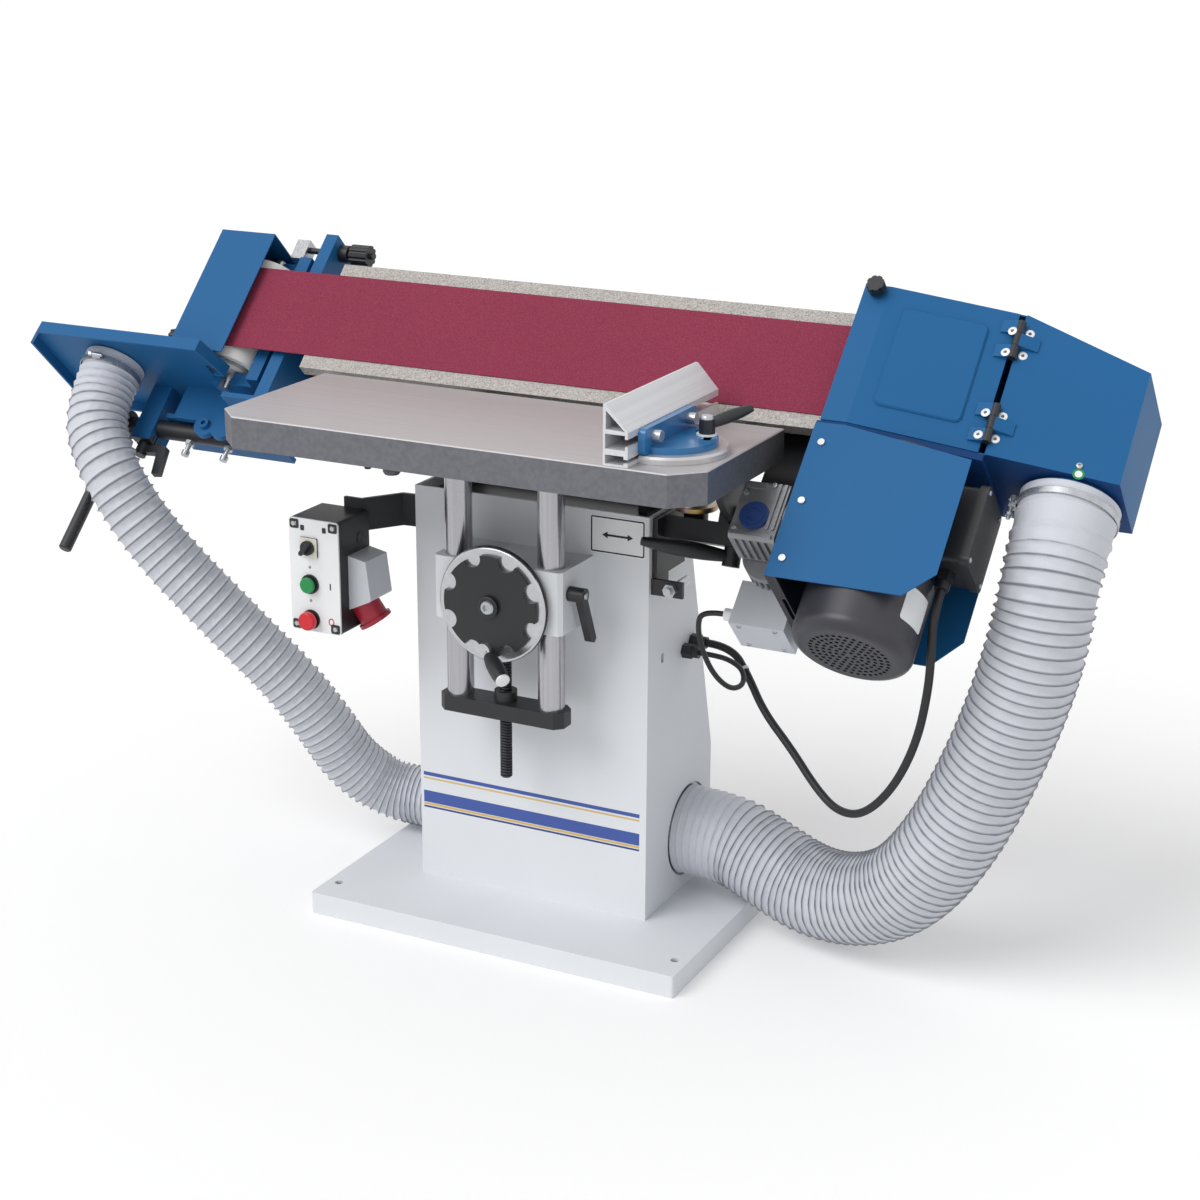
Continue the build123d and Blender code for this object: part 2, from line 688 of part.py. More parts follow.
with BuildPart() as work_table:
    with BuildSketch(level_at(table_low)):
        Polygon(*table_outline(0), align=None)
    extrude(amount=TABLE_HEIGHT)
    chamfer(work_table.faces().sort_by(Axis.Z)[-1].edges(), 1.5)
    with BuildSketch(level_at(table_low)):
        Polygon(*table_outline(TABLE_WALL), align=None)
        with Locations((-ROD_X, ROD_Y), (ROD_X, ROD_Y)):
            Circle(BOSS_DIAMETER / 2, mode=Mode.SUBTRACT)
    extrude(amount=TABLE_HEIGHT - TABLE_PLATE, mode=Mode.SUBTRACT)
    for rib_x in (-table_half / 2, 0, table_half / 2):
        with BuildSketch(level_at(table_low + 6)):
            box_between((rib_x - 5, TABLE_BACK - 4), (rib_x + 5, table_front + 4))
        extrude(amount=TABLE_HEIGHT - TABLE_PLATE - 5)
    with BuildSketch(level_at(table_low)):
        with Locations((-ROD_X, ROD_Y), (ROD_X, ROD_Y)):
            Circle(ROD_DIAMETER / 2)
    extrude(amount=TABLE_HEIGHT - TABLE_PLATE, mode=Mode.SUBTRACT)
    with BuildSketch(level_at(TABLE_TOP - TABLE_PLATE)):
        with Locations((MITRE_X, MITRE_Y)):
            Circle(5 + TURN_FIT)
        with Locations((MITRE_X, MITRE_Y)):
            with PolarLocations(MITRE_SLOT_RADIUS, 1, start_angle=MITRE_STUD_ANGLE):
                Circle(MITRE_STUD / 2 + TURN_FIT)
    extrude(amount=TABLE_PLATE, mode=Mode.SUBTRACT)

# Mitre gauge
fence_right = FENCE_LEFT + FENCE_WIDTH
head_left = fence_right + SLIDE_GAP
seat = TABLE_TOP + SLIDE_GAP
slot_from = MITRE_STUD_ANGLE - MITRE_SWING - 8
slot_span = 2 * MITRE_SWING + 16
mitre_arc = CenterArc((MITRE_X, MITRE_Y), MITRE_SLOT_RADIUS, slot_from, slot_span)
MITRE_FOOT = 9
THUMB_Z = 33
foot_top = seat + MITRE_PLATE + MITRE_FOOT
with BuildPart() as mitre_base:
    with BuildSketch(level_at(seat)):
        with Locations((MITRE_X, MITRE_Y)):
            Circle(MITRE_RADIUS)
        with Locations((head_left - MITRE_RADIUS, MITRE_Y)):
            Rectangle(2 * MITRE_RADIUS, 2 * MITRE_RADIUS + 2, mode=Mode.SUBTRACT)
        SlotArc(mitre_arc, MITRE_STUD + 1, mode=Mode.SUBTRACT)
    extrude(amount=MITRE_PLATE)
    chamfer(mitre_base.faces().sort_by(Axis.Z)[-1].outer_wire().edges().sort_by(SortBy.LENGTH)[-1], 3)
    with BuildSketch(level_at(seat)):
        with Locations((MITRE_X, MITRE_Y)):
            Circle(5)
    extrude(amount=-TABLE_PLATE + 2)

with BuildPart() as mitre_head:
    with BuildSketch(level_at(seat + MITRE_PLATE)):
        with Locations((MITRE_X, MITRE_Y)):
            Circle(MITRE_RADIUS * 0.8)
        with Locations((head_left - MITRE_RADIUS, MITRE_Y)):
            Rectangle(2 * MITRE_RADIUS, 2 * MITRE_RADIUS, mode=Mode.SUBTRACT)
        SlotArc(mitre_arc, MITRE_STUD + 1, mode=Mode.SUBTRACT)
    extrude(amount=MITRE_FOOT)
    with BuildSketch(side_at(head_left)):
        with Locations((MITRE_Y, seat + MITRE_PLATE + 18)):
            RectangleRounded(2 * MITRE_RADIUS, 36, 8)
    extrude(amount=10)
    with BuildSketch(side_at(head_left)):
        with Locations((MITRE_Y - 55, seat + THUMB_Z), (MITRE_Y + 55, seat + THUMB_Z)):
            Circle(4 + TURN_FIT)
    extrude(amount=10, mode=Mode.SUBTRACT)

with BuildPart() as thumb_screws:
    for place in (MITRE_Y - 55, MITRE_Y + 55):
        with BuildSketch(side_at(head_left - 7)):
            with Locations((place, seat + THUMB_Z)):
                Circle(4)
        extrude(amount=24)
        with BuildSketch(side_at(head_left - 9)):
            with Locations((place, seat + THUMB_Z)):
                Rectangle(12, 12)
        extrude(amount=4)
        with BuildSketch(side_at(head_left + 10)):
            with Locations((place, seat + THUMB_Z)):
                Circle(8)
        extrude(amount=12)

fence_cut = FENCE_SKIN + 1
with BuildPart() as mitre_fence:
    with BuildSketch(front_at(FENCE_BACK)):
        Polygon(
            (FENCE_LEFT, seat),
            (fence_right, seat),
            (fence_right, seat + FENCE_SLOPE_FOOT),
            (FENCE_LEFT + 4, seat + FENCE_HEIGHT),
            (FENCE_LEFT, seat + FENCE_HEIGHT),
            align=None,
        )
        Polygon(
            (FENCE_LEFT + fence_cut, seat + FENCE_SLOPE_FOOT + 2),
            (fence_right - fence_cut, seat + FENCE_SLOPE_FOOT + 1),
            (FENCE_LEFT + fence_cut, seat + FENCE_HEIGHT - 8),
            align=None,
            mode=Mode.SUBTRACT,
        )
        box_between_cuts = [
            ((FENCE_LEFT + FENCE_SKIN, seat + THUMB_Z - 10), (fence_right - 4, seat + THUMB_Z + 10)),
            ((FENCE_LEFT + FENCE_SKIN, seat + 3), (fence_right - 6, seat + 15)),
            ((fence_right - 5, seat + THUMB_Z - 5), (fence_right + 1, seat + THUMB_Z + 5)),
            ((fence_right - 7, seat + 6), (fence_right + 1, seat + 11)),
        ]
        for low, high in box_between_cuts:
            with Locations(((low[0] + high[0]) / 2, (low[1] + high[1]) / 2)):
                Rectangle(high[0] - low[0], high[1] - low[1], mode=Mode.SUBTRACT)
    extrude(amount=FENCE_BACK - FENCE_FRONT)

stud_x = MITRE_X + MITRE_SLOT_RADIUS * cos(radians(MITRE_STUD_ANGLE))
stud_y = MITRE_Y + MITRE_SLOT_RADIUS * sin(radians(MITRE_STUD_ANGLE))
mitre_aim = Vector(0.72, 0.62, 0.3).normalized()
mitre_grip = Plane(origin=(stud_x, stud_y, foot_top + 14), z_dir=mitre_aim)
with BuildPart() as mitre_lever:
    with BuildSketch(level_at(TABLE_TOP - TABLE_PLATE + 2)):
        with Locations((stud_x, stud_y)):
            Circle(MITRE_STUD / 2)
    extrude(amount=foot_top - TABLE_TOP + TABLE_PLATE)
    with BuildSketch(level_at(foot_top + SLIDE_GAP)):
        with Locations((stud_x, stud_y)):
            Circle(11)
    extrude(amount=22)
    with BuildSketch(mitre_grip):
        Circle(6)
    with BuildSketch(mitre_grip.offset(50)):
        Circle(7.5)
    with BuildSketch(mitre_grip.offset(66)):
        Circle(5)
    loft()

# Control box on its arm
box_left = BOX_X - BOX_WIDTH / 2
box_right = BOX_X + BOX_WIDTH / 2
box_back = BOX_FRONT + BOX_DEPTH
button_x = BOX_X - 8
switch_z = BOX_BOTTOM + 131
start_z = BOX_BOTTOM + 74
stop_z = BOX_BOTTOM + 19
with BuildPart() as control_arm:
    with BuildSketch(level_at(ARM_BOTTOM)):
        Polygon(
            *ribbon(
                [
                    (-COLUMN_WIDTH / 2 - ARM_SHEET / 2, -62),
                    (-COLUMN_WIDTH / 2 - ARM_SHEET / 2, -104),
                    (-COLUMN_WIDTH / 2 - 26, -106),
                    (box_right - 14, box_back + ARM_SHEET / 2),
                    (BOX_X, box_back + ARM_SHEET / 2),
                ],
                ARM_SHEET,
            ),
            align=None,
        )
    extrude(amount=ARM_HEIGHT)
    with BuildSketch(front_at(box_back + ARM_SHEET)):
        box_between((BOX_X - 12, ARM_BOTTOM - 30), (box_right - 16, ARM_BOTTOM))
    extrude(amount=ARM_SHEET)

with BuildPart() as control_box:
    with BuildSketch(level_at(BOX_BOTTOM)):
        box_between((box_left, BOX_FRONT + BOX_SHEET), (box_right, box_back))
    extrude(amount=BOX_HEIGHT)
    fillet(control_box.edges().filter_by(Axis.Y), 5)
    with BuildSketch(front_at(box_back - BOX_SHEET)):
        with Locations((BOX_X, BOX_BOTTOM + BOX_HEIGHT / 2)):
            Rectangle(BOX_WIDTH - 2 * BOX_SHEET, BOX_HEIGHT - 2 * BOX_SHEET)
    extrude(amount=BOX_DEPTH, mode=Mode.SUBTRACT)

with BuildPart() as control_plate:
    with BuildSketch(front_at(BOX_FRONT + BOX_SHEET)):
        with Locations((BOX_X, BOX_BOTTOM + BOX_HEIGHT / 2)):
            RectangleRounded(BOX_WIDTH, BOX_HEIGHT, 5)
        with Locations((button_x, switch_z), (button_x, start_z), (button_x, stop_z)):
            Circle(9, mode=Mode.SUBTRACT)
    extrude(amount=BOX_SHEET)

with BuildPart() as plate_screws:
    for sx in (-1, 1):
        for sz in (-1, 1):
            with BuildSketch(front_at(BOX_FRONT)):
                with Locations((BOX_X + sx * (BOX_WIDTH / 2 - 9), BOX_BOTTOM + BOX_HEIGHT / 2 + sz * (BOX_HEIGHT / 2 - 9))):
                    Circle(3.5)
            extrude(amount=2)

with BuildPart() as button_rings:
    with BuildSketch(front_at(BOX_FRONT)):
        with Locations((button_x, switch_z)):
            RectangleRounded(30, 30, 2)
        with Locations((button_x, start_z), (button_x, stop_z)):
            Circle(15)
        with Locations((button_x, switch_z), (button_x, start_z), (button_x, stop_z)):
            Circle(9, mode=Mode.SUBTRACT)
    extrude(amount=3)

with BuildPart() as main_switch:
    with BuildSketch(front_at(BOX_FRONT + 12)):
        with Locations((button_x, switch_z)):
            Circle(9 - SLIDE_GAP)
    extrude(amount=15 + SLIDE_GAP)
    with BuildSketch(front_at(BOX_FRONT - 3 - SLIDE_GAP)):
        with Locations((button_x, switch_z)):
            Circle(11)
    extrude(amount=5)
    with BuildSketch(front_at(BOX_FRONT - 8 - SLIDE_GAP)):
        with Locations((button_x, switch_z)):
            RectangleRounded(7, 21, 3, rotation=-35)
    extrude(amount=10)

with BuildPart() as start_button:
    with BuildSketch(front_at(BOX_FRONT + 12)):
        with Locations((button_x, start_z)):
            Circle(9 - SLIDE_GAP)
    extrude(amount=19)
    with BuildSketch(front_at(BOX_FRONT - 3 - 4)):
        with Locations((button_x, start_z)):
            Circle(12)
    extrude(amount=5)
    fillet(start_button.faces().sort_by(Axis.Y)[0].edges(), 2)

with BuildPart() as stop_button:
    with BuildSketch(front_at(BOX_FRONT + 12)):
        with Locations((button_x, stop_z)):
            Circle(9 - SLIDE_GAP)
    extrude(amount=20)
    with BuildSketch(front_at(BOX_FRONT - 3 - 5)):
        with Locations((button_x, stop_z)):
            Circle(14)
    extrude(amount=9)
    fillet(stop_button.faces().sort_by(Axis.Y)[0].edges(), 3)

socket_aim = Vector(0.5, 0.15, -0.85).normalized()
socket_plane = Plane(origin=(box_right + 10, box_back - 30, BOX_BOTTOM + 36), z_dir=socket_aim)
with BuildPart() as inlet_housing:
    with BuildSketch(front_at(box_back)):
        Polygon(
            (box_right, BOX_BOTTOM + 118),
            (box_right + 30, BOX_BOTTOM + 112),
            (box_right + 38, BOX_BOTTOM + 52),
            (box_right, BOX_BOTTOM + 34),
            align=None,
        )
    extrude(amount=60)
    fillet(inlet_housing.edges().filter_by(Axis.Y).group_by(Axis.X)[-1], 4)

with BuildPart() as inlet_socket:
    with BuildSketch(socket_plane.offset(-12)):
        Circle(22)
    extrude(amount=40)
    with BuildSketch(socket_plane.offset(24)):
        Circle(26)
    extrude(amount=6)
    with BuildSketch(socket_plane.offset(6)):
        Circle(18)
    extrude(amount=40, mode=Mode.SUBTRACT)
    with BuildSketch(socket_plane.offset(0)):
        with PolarLocations(11, 5):
            Circle(3)
    extrude(amount=26)
    with BuildSketch(front_at(box_back)):
        Polygon(
            (box_right - 30, BOX_BOTTOM + 118),
            (box_right + 30, BOX_BOTTOM + 112),
            (box_right + 38, BOX_BOTTOM + 52),
            (box_right, BOX_BOTTOM + 34),
            (box_right - 30, BOX_BOTTOM + 34),
            align=None,
        )
    extrude(amount=60, mode=Mode.SUBTRACT)
    with BuildSketch(level_at(BOX_BOTTOM)):
        box_between((box_left, BOX_FRONT), (box_right, box_back))
    extrude(amount=BOX_HEIGHT, mode=Mode.SUBTRACT)

# Tilt lock on the right of the column
lock_turn = radians(LOCK_LEAN)
lock_aim = Vector(0, -sin(lock_turn), -cos(lock_turn))
lock_in = SECTOR_X - SLIDE_GAP - LOCK_JAW
lock_out = SECTOR_X + SECTOR_SHEET + SLIDE_GAP + LOCK_JAW
lock_middle = SECTOR_X + SECTOR_SHEET / 2


def lock_at(x):
    """Plane across the tilt lock, drawn in reach from the pivot and sideways, growing towards +x."""
    return Plane(origin=(x, PIVOT_Y, PIVOT_Z), x_dir=lock_aim, z_dir=(1, 0, 0))


jaw_floor = SECTOR_RADIUS + SLIDE_GAP
lock_reach = SECTOR_RADIUS + 32
pad_y = PIVOT_Y - 31
pad_top = PIVOT_Z - 112
with BuildPart() as tilt_clamp:
    with BuildSketch(lock_at(lock_in)):
        box_between((SECTOR_RADIUS - 26, -22), (lock_reach, 22))
    extrude(amount=lock_out - lock_in)
    with BuildSketch(lock_at(SECTOR_X - SLIDE_GAP)):
        box_between((SECTOR_RADIUS - 30, -40), (jaw_floor, 40))
    extrude(amount=SECTOR_SHEET + 2 * SLIDE_GAP, mode=Mode.SUBTRACT)
    with BuildSketch(lock_at(COLUMN_WIDTH / 2)):
        box_between((SECTOR_RADIUS, -22), (lock_reach, 22))
    extrude(amount=lock_in - COLUMN_WIDTH / 2)
    with BuildSketch(side_at(COLUMN_WIDTH / 2)):
        box_between((-104, COLUMN_TOP - 92), (-8, COLUMN_TOP - 4))
    extrude(amount=8)
    with BuildSketch(level_at(pad_top - 42)):
        with Locations((STOP_ARM_X, pad_y)):
            Circle(18)
    extrude(amount=34)
    with BuildSketch(Plane(origin=(lock_middle, PIVOT_Y, PIVOT_Z), z_dir=lock_aim).offset(SECTOR_RADIUS)):
        Circle(6 + TURN_FIT)
    extrude(amount=lock_reach, mode=Mode.SUBTRACT)

with BuildPart() as stop_pad:
    with BuildSketch(level_at(pad_top - 8)):
        with Locations((STOP_ARM_X, pad_y)):
            Circle(32)
    extrude(amount=8)
    chamfer(stop_pad.edges().filter_by(GeomType.CIRCLE), 1)

lever_base = Plane(origin=(lock_middle, PIVOT_Y, PIVOT_Z), z_dir=lock_aim)
lever_hub = Vector(lock_middle, PIVOT_Y, PIVOT_Z) + lock_aim * (lock_reach + 14)
lever_flat = Vector(-116, -86, 19)
lever_aim = (lever_flat - lock_aim * lever_flat.dot(lock_aim)).normalized()
lever_grip = Plane(origin=lever_hub, z_dir=lever_aim)
with BuildPart() as tilt_lever:
    with BuildSketch(lever_base.offset(SECTOR_RADIUS + SLIDE_GAP)):
        Circle(6)
    extrude(amount=lock_reach - SECTOR_RADIUS)
    with BuildSketch(lever_base.offset(lock_reach + SLIDE_GAP)):
        Circle(13)
    extrude(amount=28)
    with BuildSketch(lever_grip):
        Circle(7)
    with BuildSketch(lever_grip.offset(115)):
        Circle(9)
    with BuildSketch(lever_grip.offset(135)):
        Circle(6)
    loft()

with BuildPart() as stop_bracket:
    with BuildSketch(level_at(552)):
        Polygon(
            *ribbon([(COLUMN_WIDTH / 2 + 3, -60), (COLUMN_WIDTH / 2 + 3, -104), (COLUMN_WIDTH / 2 + 50, -104)], 6),
            align=None,
        )
    extrude(amount=24)
    with BuildSketch(front_at(-107)):
        with Locations((COLUMN_WIDTH / 2 + 32, 564)):
            Circle(6)
    extrude(amount=-6, mode=Mode.SUBTRACT)

with BuildPart() as stop_screw:
    with BuildSketch(front_at(-46)):
        with Locations((COLUMN_WIDTH / 2 + 32, 564)):
            Circle(6)
    extrude(amount=76)
    with BuildSketch(front_at(-107)):
        with Locations((COLUMN_WIDTH / 2 + 32, 564)):
            RegularPolygon(10.5, 6)
    extrude(amount=8)
    fillet(stop_screw.faces().sort_by(Axis.Y)[-1].edges(), 4)

# Main beam with its hubs, and the platen on it
with BuildPart() as main_beam:
    with BuildSketch(rib_at(BEAM_LEFT)):
        box_between((BEAM_LOW, BEAM_FACE - BEAM_DEPTH), (BEAM_HIGH, BEAM_FACE))
        with Locations(((BEAM_LOW + BEAM_HIGH) / 2, BEAM_FACE - BEAM_DEPTH / 2)):
            Rectangle(BEAM_HIGH - BEAM_LOW - 2 * BEAM_WALL, BEAM_DEPTH - 2 * BEAM_WALL, mode=Mode.SUBTRACT)
    extrude(amount=BEAM_RIGHT - BEAM_LEFT)
    hub_width = SADDLE_X - SADDLE_PLATE / 2 - LOOSE - HUB_INNER
    for start in (HUB_INNER, -HUB_INNER - hub_width):
        with BuildSketch(rib_at(start)):
            box_between((PIVOT_W, PIVOT_N - HUB_RADIUS), (BEAM_LOW, PIVOT_N + HUB_RADIUS))
            with Locations((PIVOT_W, PIVOT_N)):
                Circle(HUB_RADIUS)
        extrude(amount=hub_width)
    with BuildSketch(rib_at(-SADDLE_X)):
        with Locations((PIVOT_W, PIVOT_N)):
            Circle(PIVOT_SHAFT / 2 + TURN_FIT)
    extrude(amount=2 * SADDLE_X, mode=Mode.SUBTRACT)

with BuildPart() as platen:
    half = PLATEN_HEIGHT / 2
    with BuildSketch(rib_at(PLATEN_LEFT)):
        box_between((-half, PLATEN_FACE - PLATEN_FLANGE), (half, PLATEN_FACE))
        with Locations((0, PLATEN_FACE - PLATEN_SHEET - PLATEN_FLANGE / 2)):
            Rectangle(PLATEN_HEIGHT - 2 * PLATEN_SHEET, PLATEN_FLANGE, mode=Mode.SUBTRACT)
    extrude(amount=PLATEN_RIGHT - PLATEN_LEFT)

# Tilt sector and stop arm under the beam: the sector's rim plate is welded to the end of its arm
sector_front = PIVOT_N + 24
sector_rear = PIVOT_N - 24
rim_top = PIVOT_W - 84
rim_far = 1.1 * SECTOR_RADIUS
with BuildPart() as tilt_sector:
    with BuildSketch(rib_at(SECTOR_X)):
        box_between((rim_top, sector_rear), (BEAM_LOW, sector_front - SECTOR_STEP))
    extrude(amount=SECTOR_SHEET)

with BuildPart() as sector_rim:
    with BuildSketch(rib_at(SECTOR_X)):
        with Locations((PIVOT_W, PIVOT_N)):
            Circle(SECTOR_RADIUS)
        Polygon(
            (rim_top - WELD_LINE, sector_rear),
            (PIVOT_W - rim_far * cos(radians(30)), PIVOT_N - rim_far * sin(radians(30))),
            (PIVOT_W - 2 * SECTOR_RADIUS, PIVOT_N),
            (PIVOT_W - rim_far * cos(radians(23)), PIVOT_N + rim_far * sin(radians(23))),
            (rim_top - WELD_LINE, sector_front),
            align=None,
            mode=Mode.INTERSECT,
        )
    extrude(amount=SECTOR_SHEET)

arm_top_rear = unit.from_local_coords((0, BEAM_LOW, PIVOT_N - 20))
arm_top_front = unit.from_local_coords((0, BEAM_LOW, PIVOT_N + 20))
with BuildPart() as stop_arm:
    with BuildSketch(side_at(STOP_ARM_X - 8)):
        Polygon(
            (pad_y - 18, pad_top + SLIDE_GAP),
            (pad_y + 18, pad_top + SLIDE_GAP),
            (arm_top_rear.Y, arm_top_rear.Z),
            (arm_top_front.Y, arm_top_front.Z),
            align=None,
        )
        with Locations((PIVOT_Y, PIVOT_Z)):
            Circle(PIVOT_Z - pad_top - 1, mode=Mode.INTERSECT)
    extrude(amount=16)

# Belt and drums
with BuildPart() as sanding_belt:
    with BuildSketch(shelf_at(BELT_WIDTH / 2)):
        with Locations(((DRIVE_X + IDLER_X) / 2, DRUM_N)):
            SlotCenterToCenter(BELT_RUN, 2 * BELT_OUTER)
            SlotCenterToCenter(BELT_RUN, 2 * (BELT_OUTER - BELT_THICK), mode=Mode.SUBTRACT)
    extrude(amount=BELT_WIDTH)

with BuildPart() as drive_drum:
    with BuildSketch(shelf_at(DRUM_LENGTH / 2)):
        with Locations((DRIVE_X, DRUM_N)):
            Circle(DRUM_DIAMETER / 2)
            Circle(MOTOR_SHAFT / 2, mode=Mode.SUBTRACT)
    extrude(amount=DRUM_LENGTH)

with BuildPart() as idler_drum:
    with BuildSketch(shelf_at(DRUM_LENGTH / 2)):
        with Locations((IDLER_X, DRUM_N)):
            Circle(DRUM_DIAMETER / 2)
            Circle(AXLE_DIAMETER / 2 + TURN_FIT, mode=Mode.SUBTRACT)
    extrude(amount=DRUM_LENGTH)
    for end in (DRUM_LENGTH / 2, -DRUM_LENGTH / 2 + 30):
        with BuildSketch(shelf_at(end)):
            with Locations((IDLER_X, DRUM_N)):
                Circle(DRUM_DIAMETER / 2 - 10)
                Circle(AXLE_DIAMETER / 2 + 14, mode=Mode.SUBTRACT)
        extrude(amount=30, mode=Mode.SUBTRACT)

# Idler yoke on its two guide rods, with open forks for the axle
arm_low = DRUM_LENGTH / 2 + YOKE_GAP
arm_high = arm_low + YOKE_ARM
web_left = IDLER_X + DRUM_DIAMETER / 2 + 2.5
web_right = web_left + YOKE_WEB
yoke_back = DRUM_N - YOKE_DEPTH / 2
yoke_front = DRUM_N + YOKE_DEPTH / 2
rod_places = [(-22, DRUM_N), (47, DRUM_N)]
with BuildPart() as idler_yoke:
    with BuildSketch(rib_at(web_left)):
        box_between((-arm_high, yoke_back), (arm_high, yoke_front))
        with Locations(*rod_places):
            Circle(YOKE_ROD / 2, mode=Mode.SUBTRACT)
    extrude(amount=YOKE_WEB)
    for top in (arm_high, -arm_low):
        with BuildSketch(shelf_at(top)):
            box_between((IDLER_X - YOKE_REACH, yoke_back), (web_left, DRUM_N + YOKE_FORK))
        extrude(amount=YOKE_ARM)
    with BuildSketch(shelf_at(arm_high)):
        with Locations((IDLER_X, DRUM_N)):
            Circle(AXLE_DIAMETER / 2)
    extrude(amount=2 * arm_high, mode=Mode.SUBTRACT)

with BuildPart() as yoke_rods:
    with BuildSketch(rib_at(web_left)):
        with Locations(*rod_places):
            Circle(YOKE_ROD / 2)
    extrude(amount=100)

with BuildPart() as idler_axle:
    with BuildSketch(shelf_at(arm_high + 2)):
        with Locations((IDLER_X, DRUM_N)):
            Circle(AXLE_DIAMETER / 2)
    extrude(amount=2 * arm_high + 10)

# Frame of the idler end
frame_left = BEAM_LEFT - FRAME_PLATE
shelf_low = FRAME_SHELF - FRAME_SHELF_SHEET
bracket_n = BAR_N + BAR_DIAMETER / 2 + 4
with BuildPart() as idler_frame:
    with BuildSketch(rib_at(frame_left)):
        box_between((shelf_low, FRAME_BACK), (FRAME_TOP, -12))
        with Locations(*rod_places):
            Circle(YOKE_ROD / 2 + TURN_FIT, mode=Mode.SUBTRACT)
        with Locations((TRACK_W, TRACK_N)):
            Circle(TRACK_SCREW / 2 + TURN_FIT, mode=Mode.SUBTRACT)
    extrude(amount=FRAME_PLATE)
    with BuildSketch(shelf_at(FRAME_SHELF)):
        box_between((FRAME_SHELF_LEFT, FRAME_SHELF_BACK), (FRAME_SHELF_RIGHT, bracket_n - 3))
        box_between((FRAME_SHELF_BEND, FRAME_BACK - 40), (frame_left + FRAME_PLATE, -12))
    extrude(amount=FRAME_SHELF_SHEET)
    with BuildSketch(rib_at(frame_left)):
        box_between((84, HOOD_BACK - 3), (102, FRAME_BACK))
    extrude(amount=FRAME_PLATE)
    with BuildSketch(face_at(HOOD_BACK - 3)):
        box_between((HOOD_RIGHT - 40, 84), (frame_left, 102))
    extrude(amount=3)

with BuildPart() as tracking_screw:
    with BuildSketch(rib_at(IDLER_X + 28)):
        with Locations((TRACK_W, TRACK_N)):
            Circle(TRACK_SCREW / 2)
    extrude(amount=BEAM_LEFT + 60 - IDLER_X - 28)
    with BuildSketch(rib_at(BEAM_LEFT + SLIDE_GAP)):
        with Locations((TRACK_W, TRACK_N)):
            Circle(14)
    extrude(amount=16)
    with BuildSketch(rib_at(BEAM_LEFT + 22)):
        with Locations((TRACK_W, TRACK_N)):
            Circle(17)
            with PolarLocations(18.5, 10):
                Circle(3.5, mode=Mode.SUBTRACT)
    extrude(amount=32)

with BuildPart() as tracking_block:
    with BuildSketch(shelf_at(TRACK_W + 12)):
        box_between((IDLER_X + 30, TRACK_N - 12), (IDLER_X + 54, TRACK_N + 12))
    extrude(amount=TRACK_W + 12 - arm_high)
    with BuildSketch(rib_at(IDLER_X + 20)):
        with Locations((TRACK_W, TRACK_N)):
            Circle(TRACK_SCREW / 2 + SLIDE_GAP)
    extrude(amount=60, mode=Mode.SUBTRACT)

# Tension lever on the left end of the bar
with BuildPart() as tension_lever:
    with BuildSketch(rib_at(LEVER_HUB_LEFT)):
        with Locations((BAR_W, BAR_N)):
            Circle(LEVER_HUB)
    extrude(amount=LEVER_HUB_WIDTH)
    with BuildSketch(shelf_at(BAR_W)):
        with Locations((LEVER_X, BAR_N)):
            Circle(LEVER_DIAMETER / 2)
    extrude(amount=BAR_W - LEVER_END)
    chamfer(tension_lever.faces().sort_by(Axis((0, 0, 0), tuple(unit.y_dir)))[0].edges(), 2)
    with BuildSketch(rib_at(LEVER_HUB_LEFT)):
        with Locations((BAR_W, BAR_N)):
            Circle(BAR_DIAMETER / 2 + TURN_FIT)
    extrude(amount=LEVER_HUB_WIDTH, mode=Mode.SUBTRACT)

# Left hood and its knob
with BuildPart() as left_hood:
    with BuildSketch(rib_at(HOOD_LEFT)):
        box_between((HOOD_BOTTOM, HOOD_BACK), (HOOD_TOP, HOOD_FACE))
    extrude(amount=HOOD_RIGHT - HOOD_LEFT)
    with BuildSketch(rib_at(HOOD_LEFT + HOOD_SHEET)):
        box_between((HOOD_BOTTOM, HOOD_BACK + HOOD_SHEET), (HOOD_TOP - HOOD_SHEET, HOOD_FACE - HOOD_SHEET))
    extrude(amount=HOOD_RIGHT - HOOD_LEFT, mode=Mode.SUBTRACT)

with BuildPart() as hood_knob:
    with BuildSketch(rib_at(HOOD_LEFT)):
        with Locations((HOOD_BOTTOM + KNOB_LIFT, -14)):
            Circle(6)
    extrude(amount=-12)
    with BuildSketch(rib_at(HOOD_LEFT - 6)):
        with Locations((HOOD_BOTTOM + KNOB_LIFT, -14)):
            Circle(14)
            with PolarLocations(15, 9):
                Circle(3, mode=Mode.SUBTRACT)
    extrude(amount=-16)

